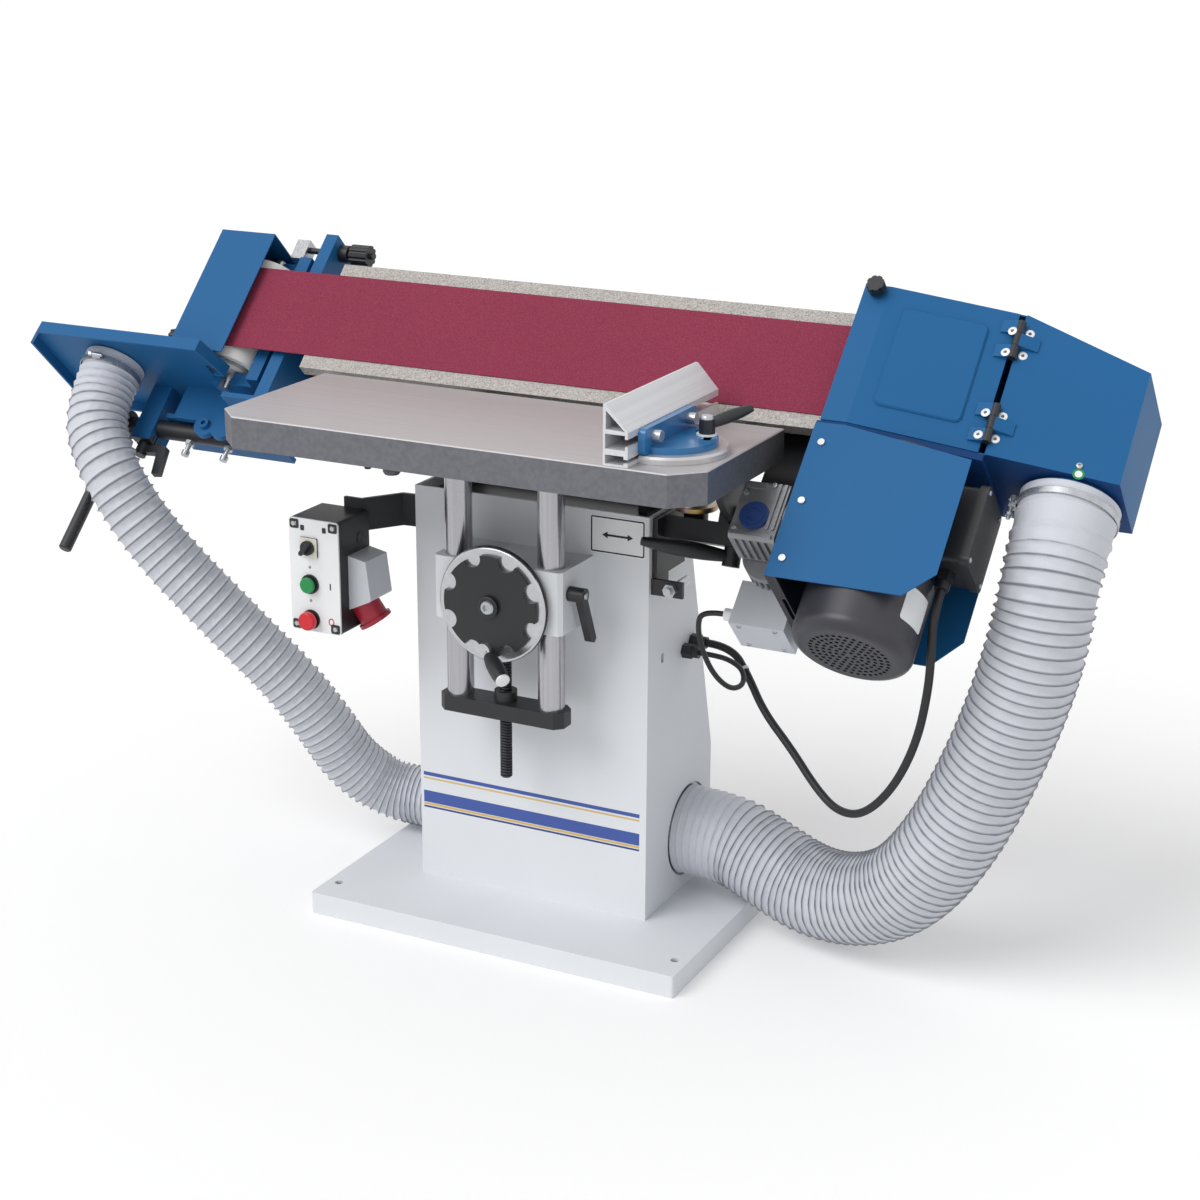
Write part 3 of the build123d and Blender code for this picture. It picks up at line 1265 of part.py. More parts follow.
# Round-work table, its port and what carries it
pan_points = [
    (PAN_LEFT + PAN_CORNER, PAN_FRONT),
    (PAN_RIGHT, PAN_FRONT),
    (PAN_RIGHT + PAN_LEAN, yoke_front + 4),
    (PAN_RIGHT, yoke_front + 4),
    (PAN_RIGHT, PAN_BACK),
    (PAN_LEFT + PAN_CORNER, PAN_BACK),
    (PAN_LEFT, PAN_BACK + PAN_CORNER),
    (PAN_LEFT, PAN_FRONT - PAN_CORNER),
]
pan_floor = PAN_TOP - PAN_SHEET
with BuildPart() as round_table:
    with BuildSketch(shelf_at(PAN_TOP)):
        Polygon(*pan_points, align=None)
    extrude(amount=PAN_RIM)
    with BuildSketch(shelf_at(pan_floor)):
        Polygon(*pan_points, align=None)
        offset(amount=-PAN_SHEET)
    extrude(amount=PAN_RIM, mode=Mode.SUBTRACT)
    with BuildSketch(shelf_at(PAN_TOP)):
        with Locations((PORT_X, PORT_N)):
            Circle(SMALL_BORE / 2 - LOOSE)
    extrude(amount=PAN_SHEET + PORT_LENGTH)
    with BuildSketch(shelf_at(PAN_TOP)):
        with Locations((PORT_X, PORT_N)):
            Circle(SMALL_BORE / 2 - LOOSE - DUCT_SHEET)
    extrude(amount=PAN_SHEET + PORT_LENGTH, mode=Mode.SUBTRACT)
    with BuildSketch(shelf_at(PAN_TOP)):
        box_between((IDLER_X - YOKE_REACH - 4, yoke_back - 4), (PAN_RIGHT + 1, yoke_front + 4))
    extrude(amount=PAN_RIM, mode=Mode.SUBTRACT)

with BuildPart() as bar_clamp:
    with BuildSketch(rib_at(CLAMP_LEFT)):
        box_between((BAR_W - 30, BAR_N - 30), (pan_floor, bracket_n))
        with Locations((BAR_W, BAR_N)):
            Circle(BAR_DIAMETER / 2 + TURN_FIT, mode=Mode.SUBTRACT)
        with Locations((BAR_W - 24, BAR_N)):
            Rectangle(30, 3, mode=Mode.SUBTRACT)
    extrude(amount=CLAMP_WIDTH)

with BuildPart() as table_bracket:
    with BuildSketch(face_at(bracket_n)):
        box_between((BRACKET_LEFT, BAR_W + 10), (BRACKET_RIGHT, pan_floor))
        with Locations((BRACKET_BOLT, BAR_W + 4), (BRACKET_BOLT + 32, BAR_W + 4)):
            Circle(20)
    extrude(amount=10)
    with BuildSketch(face_at(bracket_n + 10)):
        with Locations((BRACKET_BOLT, BAR_W + 4)):
            Circle(9)
    extrude(amount=7)
    with BuildSketch(face_at(bracket_n + 17)):
        with Locations((BRACKET_BOLT, BAR_W + 4)):
            RegularPolygon(4.5, 6)
    extrude(amount=-5, mode=Mode.SUBTRACT)

bar_lever_x = CLAMP_LEFT + CLAMP_WIDTH / 2
bar_lever_w = BAR_W - 30 - LOOSE
with BuildPart() as bar_lever:
    with BuildSketch(shelf_at(bar_lever_w)):
        with Locations((bar_lever_x, BAR_N)):
            Circle(10)
    extrude(amount=22)
    with BuildSketch(face_at(BAR_N - 6)):
        Polygon(
            (bar_lever_x, bar_lever_w - 4),
            (bar_lever_x, bar_lever_w - 18),
            (bar_lever_x + 34, bar_lever_w - 16),
            (bar_lever_x + 42, bar_lever_w - 54),
            (bar_lever_x + 56, bar_lever_w - 52),
            (bar_lever_x + 48, bar_lever_w - 3),
            align=None,
        )
    extrude(amount=12)

with BuildPart() as table_bar:
    with BuildSketch(rib_at(BAR_LEFT)):
        with Locations((BAR_W, BAR_N)):
            Circle(BAR_DIAMETER / 2)
    extrude(amount=FRAME_SHELF_RIGHT - 4 - BAR_LEFT)
    chamfer(table_bar.edges().filter_by(GeomType.CIRCLE), 2)
    with BuildSketch(shelf_at(BAR_W + 20)):
        with Locations((-660, BAR_N), (-585, BAR_N)):
            Circle(4)
    extrude(amount=40, mode=Mode.SUBTRACT)

with BuildPart() as bar_bolts:
    for place in (-660, -585):
        with BuildSketch(shelf_at(shelf_low)):
            with Locations((place, BAR_N)):
                Circle(4)
        extrude(amount=BAR_DIAMETER + 26)
        with BuildSketch(shelf_at(BAR_W - BAR_DIAMETER / 2)):
            with Locations((place, BAR_N)):
                RegularPolygon(8, 6)
        extrude(amount=6)
        with BuildSketch(shelf_at(BAR_W - BAR_DIAMETER / 2 - 18)):
            with Locations((place, BAR_N)):
                Circle(6.5)
        extrude(amount=8)

# Drive frame: end plate, motor plate and side plate, and the web welded between the beam and the side plate
motor_plate_low = MOTOR_PLATE_TOP - MOTOR_PLATE
guard_back = -156
with BuildPart() as drive_frame:
    with BuildSketch(rib_at(BEAM_RIGHT)):
        box_between((motor_plate_low, BEAM_FACE - BEAM_DEPTH), (BEAM_HIGH, BEAM_FACE))
    extrude(amount=10)
    with BuildSketch(shelf_at(MOTOR_PLATE_TOP)):
        Polygon(
            (GUARD_LEFT, guard_back),
            (GUARD_RIGHT, guard_back),
            (GUARD_RIGHT, GUARD_STEP),
            (DOOR_BEND, DOOR_FACE - GUARD_SHEET),
            (GUARD_LEFT, DOOR_FACE - GUARD_SHEET),
            align=None,
        )
        with Locations((DRIVE_X, DRUM_N)):
            Circle(MOTOR_SHAFT / 2 + 6, mode=Mode.SUBTRACT)
    extrude(amount=MOTOR_PLATE)
    with BuildSketch(rib_at(GUARD_LEFT)):
        box_between((GUARD_LOW, guard_back), (motor_plate_low, DOOR_FACE - GUARD_SHEET))
        with Locations((GEAR_SHAFT_W, GEAR_SHAFT_N)):
            Circle(12, mode=Mode.SUBTRACT)
    extrude(amount=SIDE_PLATE)
    with BuildSketch(shelf_at(GUARD_LOW + 8)):
        box_between((GUARD_LEFT, guard_back), (GUARD_LEFT + 16, DOOR_FACE - GUARD_SHEET))
        with Locations((GUARD_LEFT + 11, -60)):
            SlotOverall(60, 6, rotation=90, mode=Mode.SUBTRACT)
    extrude(amount=8)

with BuildPart() as gearbox_web:
    with BuildSketch(face_at(WEB_N)):
        box_between((WEB_LEFT, GEARBOX_HIGH + 2), (GUARD_LEFT - WELD_LINE, BEAM_LOW - WELD_LINE))
    extrude(amount=SIDE_PLATE)

with BuildPart() as front_guard:
    with BuildSketch(face_at(DOOR_FACE - GUARD_SHEET)):
        Polygon(
            (GUARD_LEFT, GUARD_LOW),
            (GUARD_RIGHT - GUARD_CUT, GUARD_LOW),
            (GUARD_RIGHT, GUARD_LOW + GUARD_CUT),
            (GUARD_RIGHT, DOOR_LOW - GUARD_DROP),
            (DOOR_BEND, DOOR_LOW - 4),
            (GUARD_LEFT, DOOR_LOW - 4),
            align=None,
        )
    extrude(amount=GUARD_SHEET)

with BuildPart() as guard_screws:
    for place in (GUARD_LOW + 28, -232, DOOR_LOW - 36):
        with BuildSketch(face_at(DOOR_FACE)):
            with Locations((GUARD_LEFT + 18, place)):
                Circle(5)
        extrude(amount=3)

with BuildPart() as rear_guard:
    with BuildSketch(face_at(guard_back - GUARD_SHEET)):
        Polygon(
            (GUARD_LEFT, GUARD_LOW - 6),
            (GUARD_RIGHT - GUARD_CUT, GUARD_LOW - 6),
            (GUARD_RIGHT, GUARD_LOW + GUARD_CUT),
            (GUARD_RIGHT, DOOR_LOW - 4),
            (GUARD_LEFT, DOOR_LOW - 4),
            align=None,
        )
    extrude(amount=GUARD_SHEET)

# Motor
motor_top = motor_plate_low
motor_low = motor_top - MOTOR_LENGTH
with BuildPart() as motor_body:
    with BuildSketch(shelf_at(motor_top)):
        with Locations((DRIVE_X, DRUM_N)):
            Circle(MOTOR_RADIUS)
    extrude(amount=16)
    with BuildSketch(shelf_at(motor_top - 16)):
        with Locations((DRIVE_X, DRUM_N)):
            Circle(MOTOR_RADIUS - 9)
            with PolarLocations(MOTOR_RADIUS - 7, 32):
                Rectangle(14, 3)
    extrude(amount=MOTOR_LENGTH - 16)
    with BuildSketch(shelf_at(motor_top)):
        with Locations((DRIVE_X, DRUM_N)):
            Circle(MOTOR_SHAFT / 2 + TURN_FIT)
    extrude(amount=MOTOR_LENGTH, mode=Mode.SUBTRACT)

with BuildPart() as motor_cowl:
    with BuildSketch(shelf_at(motor_low + 24)):
        with Locations((DRIVE_X, DRUM_N)):
            Circle(COWL_RADIUS)
            Circle(MOTOR_RADIUS, mode=Mode.SUBTRACT)
    extrude(amount=24)
    with BuildSketch(shelf_at(motor_low)):
        with Locations((DRIVE_X, DRUM_N)):
            Circle(COWL_RADIUS)
    extrude(amount=COWL_LENGTH - 24)
    fillet(motor_cowl.faces().sort_by(Axis((0, 0, 0), tuple(unit.y_dir)))[0].edges(), COWL_ROUND)
    with BuildSketch(shelf_at(motor_low)):
        with Locations((DRIVE_X, DRUM_N)):
            Circle(COWL_RADIUS - COWL_SHEET)
    extrude(amount=COWL_LENGTH - 24 - COWL_ROUND, mode=Mode.SUBTRACT)
    with BuildSketch(shelf_at(motor_low - COWL_LENGTH + 24 + COWL_ROUND)):
        with Locations((DRIVE_X, DRUM_N)):
            Circle(COWL_RADIUS - COWL_ROUND)
    extrude(amount=COWL_ROUND - COWL_SHEET, mode=Mode.SUBTRACT)
    with BuildSketch(shelf_at(motor_low - COWL_LENGTH + 24 + COWL_SHEET)):
        with Locations((DRIVE_X, DRUM_N)):
            for ring, count in ((9, 6), (18, 12), (27, 18), (36, 24), (45, 30), (54, 36)):
                with PolarLocations(ring, count):
                    Circle(2.9)
    extrude(amount=COWL_SHEET, mode=Mode.SUBTRACT)

with BuildPart() as motor_shaft:
    with BuildSketch(shelf_at(DRUM_LENGTH / 2)):
        with Locations((DRIVE_X, DRUM_N)):
            Circle(MOTOR_SHAFT / 2)
    extrude(amount=DRUM_LENGTH / 2 - motor_low + 40)
    with BuildSketch(shelf_at(motor_low - 16)):
        with Locations((DRIVE_X, DRUM_N)):
            Circle(30)
            with PolarLocations(48, 9):
                Rectangle(50, 4)
    extrude(amount=30)

box_plug_w = motor_top - 152
with BuildPart() as terminal_box:
    with BuildSketch(rib_at(DRIVE_X + MOTOR_RADIUS)):
        with Locations((motor_top - 94, DRUM_N)):
            RectangleRounded(116, 84, 8)
    extrude(amount=46)
    with BuildSketch(rib_at(DRIVE_X + MOTOR_RADIUS + 46)):
        with Locations((motor_top - 94, DRUM_N)):
            RectangleRounded(122, 90, 9)
    extrude(amount=12)

with BuildPart() as motor_gland:
    with BuildSketch(shelf_at(box_plug_w)):
        with Locations((DRIVE_X + MOTOR_RADIUS + 20, DRUM_N)):
            RegularPolygon(13, 6)
    extrude(amount=14)
    with BuildSketch(shelf_at(box_plug_w - 14)):
        with Locations((DRIVE_X + MOTOR_RADIUS + 20, DRUM_N)):
            Circle(10)
    extrude(amount=12)

# Drive hood
hood_front = [
    (DOOR_LEFT, DOOR_FACE - DOOR_SHEET - LOOSE),
    (DOOR_BEND, DOOR_FACE - DOOR_SHEET - LOOSE),
    (HINGE_X + 2, door_line(HINGE_X + 2) - DOOR_SHEET - LOOSE),
]
hood_skin = [
    (HINGE_X + 2, door_line(HINGE_X + 2)),
    (HOOD_END, door_line(HOOD_END)),
    (HOOD_END, HOOD_REAR),
    (DOOR_LEFT, HOOD_REAR),
]
with BuildPart() as drive_hood:
    with BuildSketch(shelf_at(DOOR_HIGH)):
        Polygon(*hood_front, *hood_skin, align=None)
    extrude(amount=DOOR_HIGH - DOOR_LOW)
    with BuildSketch(shelf_at(DOOR_HIGH - DOOR_SHEET)):
        Polygon(
            (DOOR_LEFT - 1, DOOR_FACE),
            (DOOR_BEND, DOOR_FACE),
            (HINGE_X, door_line(HINGE_X)),
            (HINGE_X, door_line(HINGE_X + 4) - DOOR_SHEET),
            (HOOD_END - DOOR_SHEET, door_line(HOOD_END - DOOR_SHEET) - DOOR_SHEET),
            (HOOD_END - DOOR_SHEET, HOOD_REAR + DOOR_SHEET),
            (DOOR_LEFT - 1, HOOD_REAR + DOOR_SHEET),
            align=None,
        )
    extrude(amount=DOOR_HIGH - DOOR_LOW - 2 * DOOR_SHEET, mode=Mode.SUBTRACT)
    with BuildSketch(face_at(HOOD_REAR)):
        Polygon(
            (HINGE_X + 2, DOOR_HIGH),
            (HOOD_END + 1, HOOD_END_HIGH),
            (HOOD_END + 1, DOOR_HIGH + 1),
            (HINGE_X + 2, DOOR_HIGH + 1),
            align=None,
        )
    extrude(amount=DOOR_FACE - HOOD_REAR, mode=Mode.SUBTRACT)
    with BuildSketch(face_at(HOOD_REAR)):
        Polygon(
            (HINGE_X + 2, DOOR_HIGH),
            (HOOD_END, HOOD_END_HIGH),
            (HOOD_END, HOOD_END_HIGH - DOOR_SHEET),
            (HINGE_X + 2, DOOR_HIGH - DOOR_SHEET),
            align=None,
        )
    extrude(amount=door_line(HOOD_END) - HOOD_REAR)
    with BuildSketch(shelf_at(DOOR_LOW + DOOR_SHEET)):
        with Locations((DRIVE_X, DRUM_N)):
            Circle(DRUM_DIAMETER / 2 - 8)
    extrude(amount=DOOR_SHEET, mode=Mode.SUBTRACT)
    with BuildSketch(shelf_at(DOOR_LOW)):
        with Locations((SPIGOT_X, SPIGOT_N)):
            Circle(BIG_BORE / 2 - LOOSE)
    extrude(amount=SPIGOT_LENGTH)
    with BuildSketch(shelf_at(DOOR_LOW + DOOR_SHEET)):
        with Locations((SPIGOT_X, SPIGOT_N)):
            Circle(BIG_BORE / 2 - LOOSE - DUCT_SHEET)
    extrude(amount=SPIGOT_LENGTH + DOOR_SHEET, mode=Mode.SUBTRACT)
    with BuildSketch(shelf_at(DOOR_LOW + DOOR_SHEET)):
        box_between((DOOR_LEFT - 1, BEAM_FACE - BEAM_DEPTH - 2), (BEAM_RIGHT + 12, BEAM_FACE + 2))
    extrude(amount=DOOR_SHEET, mode=Mode.SUBTRACT)

# Door with its hinges and knob
slant = radians(DOOR_SLANT)
slant_run = unit.x_dir * cos(slant) - unit.z_dir * sin(slant)
slant_out = unit.x_dir * sin(slant) + unit.z_dir * cos(slant)
slant_plane = Plane(origin=unit.from_local_coords((DOOR_BEND, 0, DOOR_FACE)), x_dir=slant_run, z_dir=slant_out)
slant_end = (DOOR_RIGHT - DOOR_BEND) / cos(slant)
HINGE_N = door_line(HINGE_X) + HINGE_RADIUS
with BuildPart() as hood_door:
    with BuildSketch(shelf_at(DOOR_HIGH - 1)):
        Polygon(
            (DOOR_LEFT, DOOR_FACE),
            (DOOR_BEND, DOOR_FACE),
            (DOOR_RIGHT, door_line(DOOR_RIGHT)),
            (DOOR_RIGHT, door_line(DOOR_RIGHT) - DOOR_SHEET),
            (DOOR_BEND, DOOR_FACE - DOOR_SHEET),
            (DOOR_LEFT, DOOR_FACE - DOOR_SHEET),
            align=None,
        )
    extrude(amount=DOOR_HIGH - DOOR_LOW - 2)
    with BuildSketch(slant_plane):
        with Locations((slant_end / 2 - 4, 14)):
            RectangleRounded(slant_end - 60, 160, 10)
    extrude(amount=4)
    chamfer(hood_door.faces().sort_by(Axis((0, 0, 0), tuple(slant_out)))[-1].edges(), 2.5)

hinge_places = (78, -58)
knuckle = HINGE_LENGTH / 3
hinge_axis = unit.from_local_coords((HINGE_X, 0, HINGE_N))
with BuildPart() as door_leaves:
    for middle in hinge_places:
        for low in (middle - HINGE_LENGTH / 2, middle + knuckle / 2 + SLIDE_GAP):
            with BuildSketch(shelf_at(low + knuckle - SLIDE_GAP)):
                with Locations((HINGE_X, HINGE_N)):
                    Circle(HINGE_RADIUS)
                    Circle(2.5, mode=Mode.SUBTRACT)
            extrude(amount=knuckle - SLIDE_GAP)
            with BuildSketch(shelf_at(low + knuckle - SLIDE_GAP)):
                Polygon(
                    (HINGE_X - 3, HINGE_N + HINGE_RADIUS - 1.5),
                    (HINGE_X - 26, door_line(HINGE_X - 26) + 2.5),
                    (HINGE_X - 26, door_line(HINGE_X - 26)),
                    (HINGE_X - 8, door_line(HINGE_X - 8)),
                    (HINGE_X - 4, HINGE_N - 4),
                    align=None,
                )
            extrude(amount=knuckle - SLIDE_GAP)

with BuildPart() as hood_leaves:
    for middle in hinge_places:
        with BuildSketch(shelf_at(middle + knuckle / 2 - SLIDE_GAP)):
            with Locations((HINGE_X, HINGE_N)):
                Circle(HINGE_RADIUS)
        extrude(amount=knuckle - 2 * SLIDE_GAP)
        with BuildSketch(shelf_at(middle + HINGE_LENGTH / 2)):
            with Locations((HINGE_X, HINGE_N)):
                Circle(2.5 - TURN_FIT)
        extrude(amount=HINGE_LENGTH)
        with BuildSketch(shelf_at(middle + knuckle / 2 - SLIDE_GAP)):
            Polygon(
                (HINGE_X + 3, HINGE_N + HINGE_RADIUS - 1.5),
                (HINGE_X + 30, door_line(HINGE_X + 30) + 2.5),
                (HINGE_X + 30, door_line(HINGE_X + 30)),
                (HINGE_X + 4, door_line(HINGE_X + 4)),
                align=None,
            )
        extrude(amount=knuckle - 2 * SLIDE_GAP)

with BuildPart() as door_knob:
    with BuildSketch(face_at(DOOR_FACE)):
        with Locations((DOOR_LEFT + 22, DOOR_HIGH - 12)):
            Circle(6)
    extrude(amount=8)
    with BuildSketch(face_at(DOOR_FACE + 6)):
        with Locations((DOOR_LEFT + 22, DOOR_HIGH - 12)):
            Circle(13)
            with PolarLocations(14.5, 8):
                Circle(3, mode=Mode.SUBTRACT)
    extrude(amount=16)

# Oscillation drive: worm gearbox, its motor and the eccentric on its shaft
gearbox_right = GEARBOX_LEFT + GEARBOX_WIDTH
gearbox_n = (GEARBOX_FRONT + GEARBOX_BACK) / 2
with BuildPart() as gearbox:
    with BuildSketch(rib_at(GEARBOX_LEFT)):
        with Locations(((GEARBOX_HIGH + GEARBOX_LOW) / 2, gearbox_n)):
            RectangleRounded(GEARBOX_HIGH - GEARBOX_LOW, GEARBOX_FRONT - GEARBOX_BACK, 8)
    extrude(amount=GEARBOX_WIDTH)
    with BuildSketch(rib_at(gearbox_right)):
        with Locations((GEAR_SHAFT_W, GEAR_SHAFT_N)):
            Circle(GEAR_HUB_RADIUS)
    extrude(amount=GUARD_LEFT - gearbox_right)
    for step in range(5):
        with BuildSketch(shelf_at(GEARBOX_LOW + 4)):
            box_between(
                (GEARBOX_LEFT + 8 + 11 * step, GEARBOX_BACK + 8), (GEARBOX_LEFT + 14 + 11 * step, GEARBOX_FRONT - 8)
            )
        extrude(amount=4, mode=Mode.SUBTRACT)
    with BuildSketch(rib_at(GEARBOX_LEFT + 8)):
        with Locations((GEAR_SHAFT_W, GEAR_SHAFT_N)):
            Circle(9 + TURN_FIT)
    extrude(amount=GUARD_LEFT - GEARBOX_LEFT, mode=Mode.SUBTRACT)

with BuildPart() as gearbox_cap:
    with BuildSketch(face_at(GEARBOX_FRONT)):
        with Locations((CAP_X, CAP_W)):
            Circle(21)
    extrude(amount=6)
    with BuildSketch(face_at(GEARBOX_FRONT + 6)):
        with Locations((CAP_X, CAP_W)):
            Circle(15)
            Circle(11, mode=Mode.SUBTRACT)
    extrude(amount=2)

with BuildPart() as eccentric:
    with BuildSketch(rib_at(GEARBOX_LEFT + 8 + SLIDE_GAP)):
        with Locations((GEAR_SHAFT_W, GEAR_SHAFT_N)):
            Circle(9)
    extrude(amount=GUARD_LEFT + SIDE_PLATE + 16 - GEARBOX_LEFT - 8 - SLIDE_GAP)
    with BuildSketch(rib_at(GUARD_LEFT + SIDE_PLATE + 3)):
        with Locations((GEAR_SHAFT_W + ECCENTRIC_LIFT, GEAR_SHAFT_N)):
            Circle(ECCENTRIC_RADIUS)
    extrude(amount=13)

with BuildPart() as gear_motor:
    with BuildSketch(face_at(GEARBOX_BACK)):
        with Locations((GEAR_MOTOR_X, GEAR_MOTOR_W)):
            Circle(GEAR_MOTOR_RADIUS)
    extrude(amount=-10)
    with BuildSketch(face_at(GEARBOX_BACK - 10)):
        with Locations((GEAR_MOTOR_X, GEAR_MOTOR_W)):
            Circle(GEAR_MOTOR_RADIUS - 5)
            with PolarLocations(GEAR_MOTOR_RADIUS - 4, 28):
                Rectangle(8, 3)
    extrude(amount=GEAR_MOTOR_BACK + 24 - GEARBOX_BACK + 10)
    with BuildSketch(face_at(GEAR_MOTOR_BACK + 24)):
        with Locations((GEAR_MOTOR_X, GEAR_MOTOR_W)):
            Circle(GEAR_MOTOR_RADIUS + 2)
    extrude(amount=-24)
    with BuildSketch(shelf_at(GEAR_MOTOR_W - GEAR_MOTOR_RADIUS + 10)):
        box_between((GEARBOX_LEFT, GEAR_BOX_BACK), (GUARD_LEFT - 6, GEAR_BOX_FRONT))
    extrude(amount=GEAR_MOTOR_W - GEAR_MOTOR_RADIUS + 10 - GEAR_BOX_LOW)
    with BuildSketch(rib_at(GEARBOX_LEFT)):
        with Locations((GEAR_BOX_LOW + 20, GEAR_BOX_FRONT - 18)):
            Circle(9)
    extrude(amount=-16)

# Hoses


def route_radii(points):
    """Radius of each bend: 0.45 of its shorter run over the tangent of half its turn."""
    radii = []
    for i in range(1, len(points) - 1):
        before = Vector(*points[i]) - Vector(*points[i - 1])
        after = Vector(*points[i + 1]) - Vector(*points[i])
        turn = radians(before.get_angle(after))
        radii.append(0.45 * min(before.length, after.length) / tan(turn / 2))
    return radii


def hose_sections(path, radius, rib, count):
    """Planes and radii of a ribbed hose: four circles to a rib, square to the path, on one steady axis."""
    steady = Vector(0, 1, 0)
    sections = []
    for i in range(count):
        for part_way, height in ((0.02, radius - rib), (0.32, radius), (0.62, radius), (0.92, radius - rib)):
            at = (i + part_way) / count
            along = (path % at).normalized()
            steady = (steady - along * steady.dot(along)).normalized()
            sections.append((Plane(origin=path @ at, x_dir=steady, z_dir=along), height))
    return sections


def report_tube(name, path, points, area, volume):
    """Print a tube's length, bend radii and how its volume compares with section times length."""
    radii = [round(r) for r in route_radii(points)]
    print(name, "length", round(path.length), "radii", radii, "volume ratio", round(volume / (area * path.length), 3))


port_mouth = unit.from_local_coords((SPIGOT_X, DOOR_LOW - 6, SPIGOT_N))
port_run = unit.from_local_coords((SPIGOT_X, DOOR_LOW - 102, SPIGOT_N))
big_points = [
    tuple(port_mouth),
    tuple(port_run),
    (763, -84, 560),
    (735, -80, 450),
    (695, -70, 340),
    (647, -56, 235),
    (583, -38, 142),
    (505, -18, 94),
    (420, 4, 82),
    (338, 22, 106),
    (268, DUCT_Y, DUCT_Z),
    (COLUMN_WIDTH / 2 + 1, DUCT_Y, DUCT_Z),
]
big_path = FilletPolyline(*big_points, radius=route_radii(big_points))
BIG_RIBS = 72
BIG_RIB = 4
with BuildPart() as right_hose:
    for place, height in hose_sections(big_path, BIG_HOSE / 2, BIG_RIB, BIG_RIBS):
        with BuildSketch(place):
            Circle(height)
    loft(ruled=True)
    with BuildSketch(Plane(origin=big_path @ 0, z_dir=big_path % 0)):
        Circle(BIG_BORE / 2)
    sweep(path=big_path, mode=Mode.SUBTRACT)

pan_mouth = unit.from_local_coords((PORT_X, pan_floor - 2, PORT_N))
pan_run = unit.from_local_coords((PORT_X, pan_floor - 97, PORT_N))
small_points = [
    tuple(pan_mouth),
    tuple(pan_run),
    (-748, -146, 638),
    (-705, -143, 570),
    (-655, -127, 499),
    (-594, -106, 430),
    (-529, -82, 357),
    (-471, -56, 288),
    (-425, -34, 216),
    (-391, -10, 145),
    (-340, 24, 96),
    (-268, DUCT_Y, LEFT_DUCT_Z),
    (-COLUMN_WIDTH / 2 - 1, DUCT_Y, LEFT_DUCT_Z),
]
small_path = FilletPolyline(*small_points, radius=route_radii(small_points))
SMALL_RIBS = 70
SMALL_RIB = 3
with BuildPart() as left_hose:
    for place, height in hose_sections(small_path, SMALL_HOSE / 2, SMALL_RIB, SMALL_RIBS):
        with BuildSketch(place):
            Circle(height)
    loft(ruled=True)
    with BuildSketch(Plane(origin=small_path @ 0, z_dir=small_path % 0)):
        Circle(SMALL_BORE / 2)
    sweep(path=small_path, mode=Mode.SUBTRACT)

with BuildPart() as hose_clamps:
    for path, at, radius in ((big_path, 0.012, BIG_HOSE / 2), (small_path, 0.014, SMALL_HOSE / 2)):
        with BuildSketch(Plane(origin=path @ at, x_dir=(1, 0, 0), z_dir=path % at)):
            Circle(radius + 1.2)
            Circle(radius + 0.2, mode=Mode.SUBTRACT)
        extrude(amount=9)

# Cables and their glands
CABLE = 12
THIN_CABLE = 8
gland_face = COLUMN_WIDTH / 2
with BuildPart() as column_glands:
    for y, z, size in ((39, 437, CABLE), (11, 430, THIN_CABLE)):
        with BuildSketch(side_at(gland_face - COLUMN_WALL - 6)):
            with Locations((y, z)):
                Circle(8)
        extrude(amount=COLUMN_WALL + 6)
        with BuildSketch(side_at(gland_face)):
            with Locations((y, z)):
                RegularPolygon(11.5, 6)
        extrude(amount=16)
        with BuildSketch(side_at(gland_face + 16)):
            with Locations((y, z)):
                Circle(9)
        extrude(amount=10)

motor_exit = unit.from_local_coords((DRIVE_X + MOTOR_RADIUS + 20, box_plug_w - 26, DRUM_N))
motor_run = unit.from_local_coords((DRIVE_X + MOTOR_RADIUS + 20, box_plug_w - 68, DRUM_N))
motor_points = [
    tuple(motor_exit),
    tuple(motor_run),
    (646, -184, 560),
    (636, -158, 497),
    (618, -140, 412),
    (581, -120, 329),
    (530, -96, 268),
    (483, -76, 256),
    (441, -58, 279),
    (394, -38, 323),
    (339, -16, 365),
    (300, 14, 406),
    (262, 39, 437),
    (gland_face + 26, 39, 437),
]
motor_path = FilletPolyline(*motor_points, radius=route_radii(motor_points))
with BuildPart() as motor_cable:
    with BuildSketch(Plane(origin=motor_path @ 0, z_dir=motor_path % 0)):
        Circle(CABLE / 2)
    sweep(path=motor_path)

gear_exit = unit.from_local_coords((GEARBOX_LEFT - 16, GEAR_BOX_LOW + 20, GEAR_BOX_FRONT - 18))
gear_run = unit.from_local_coords((GEARBOX_LEFT - 52, GEAR_BOX_LOW + 20, GEAR_BOX_FRONT - 18))
gear_points = [
    tuple(gear_exit),
    tuple(gear_run),
    (278, -126, 522),
    (279, -108, 478),
    (290, -90, 438),
    (306, -66, 411),
    (315, -38, 410),
    (304, -14, 424),
    (276, 2, 430),
    (248, 11, 430),
    (gland_face + 26, 11, 430),
]
gear_path = FilletPolyline(*gear_points, radius=route_radii(gear_points))
with BuildPart() as gear_cable:
    with BuildSketch(Plane(origin=gear_path @ 0, z_dir=gear_path % 0)):
        Circle(THIN_CABLE / 2)
    sweep(path=gear_path)

report_tube("right hose", big_path, big_points, pi * ((BIG_HOSE / 2) ** 2 - (BIG_BORE / 2) ** 2), right_hose.part.volume)
report_tube("left hose", small_path, small_points, pi * ((SMALL_HOSE / 2) ** 2 - (SMALL_BORE / 2) ** 2), left_hose.part.volume)
report_tube("motor cable", motor_path, motor_points, pi * (CABLE / 2) ** 2, motor_cable.part.volume)
report_tube("gear cable", gear_path, gear_points, pi * (THIN_CABLE / 2) ** 2, gear_cable.part.volume)

# Pieces that are welded, pressed or screwed into one, and groups of small fittings


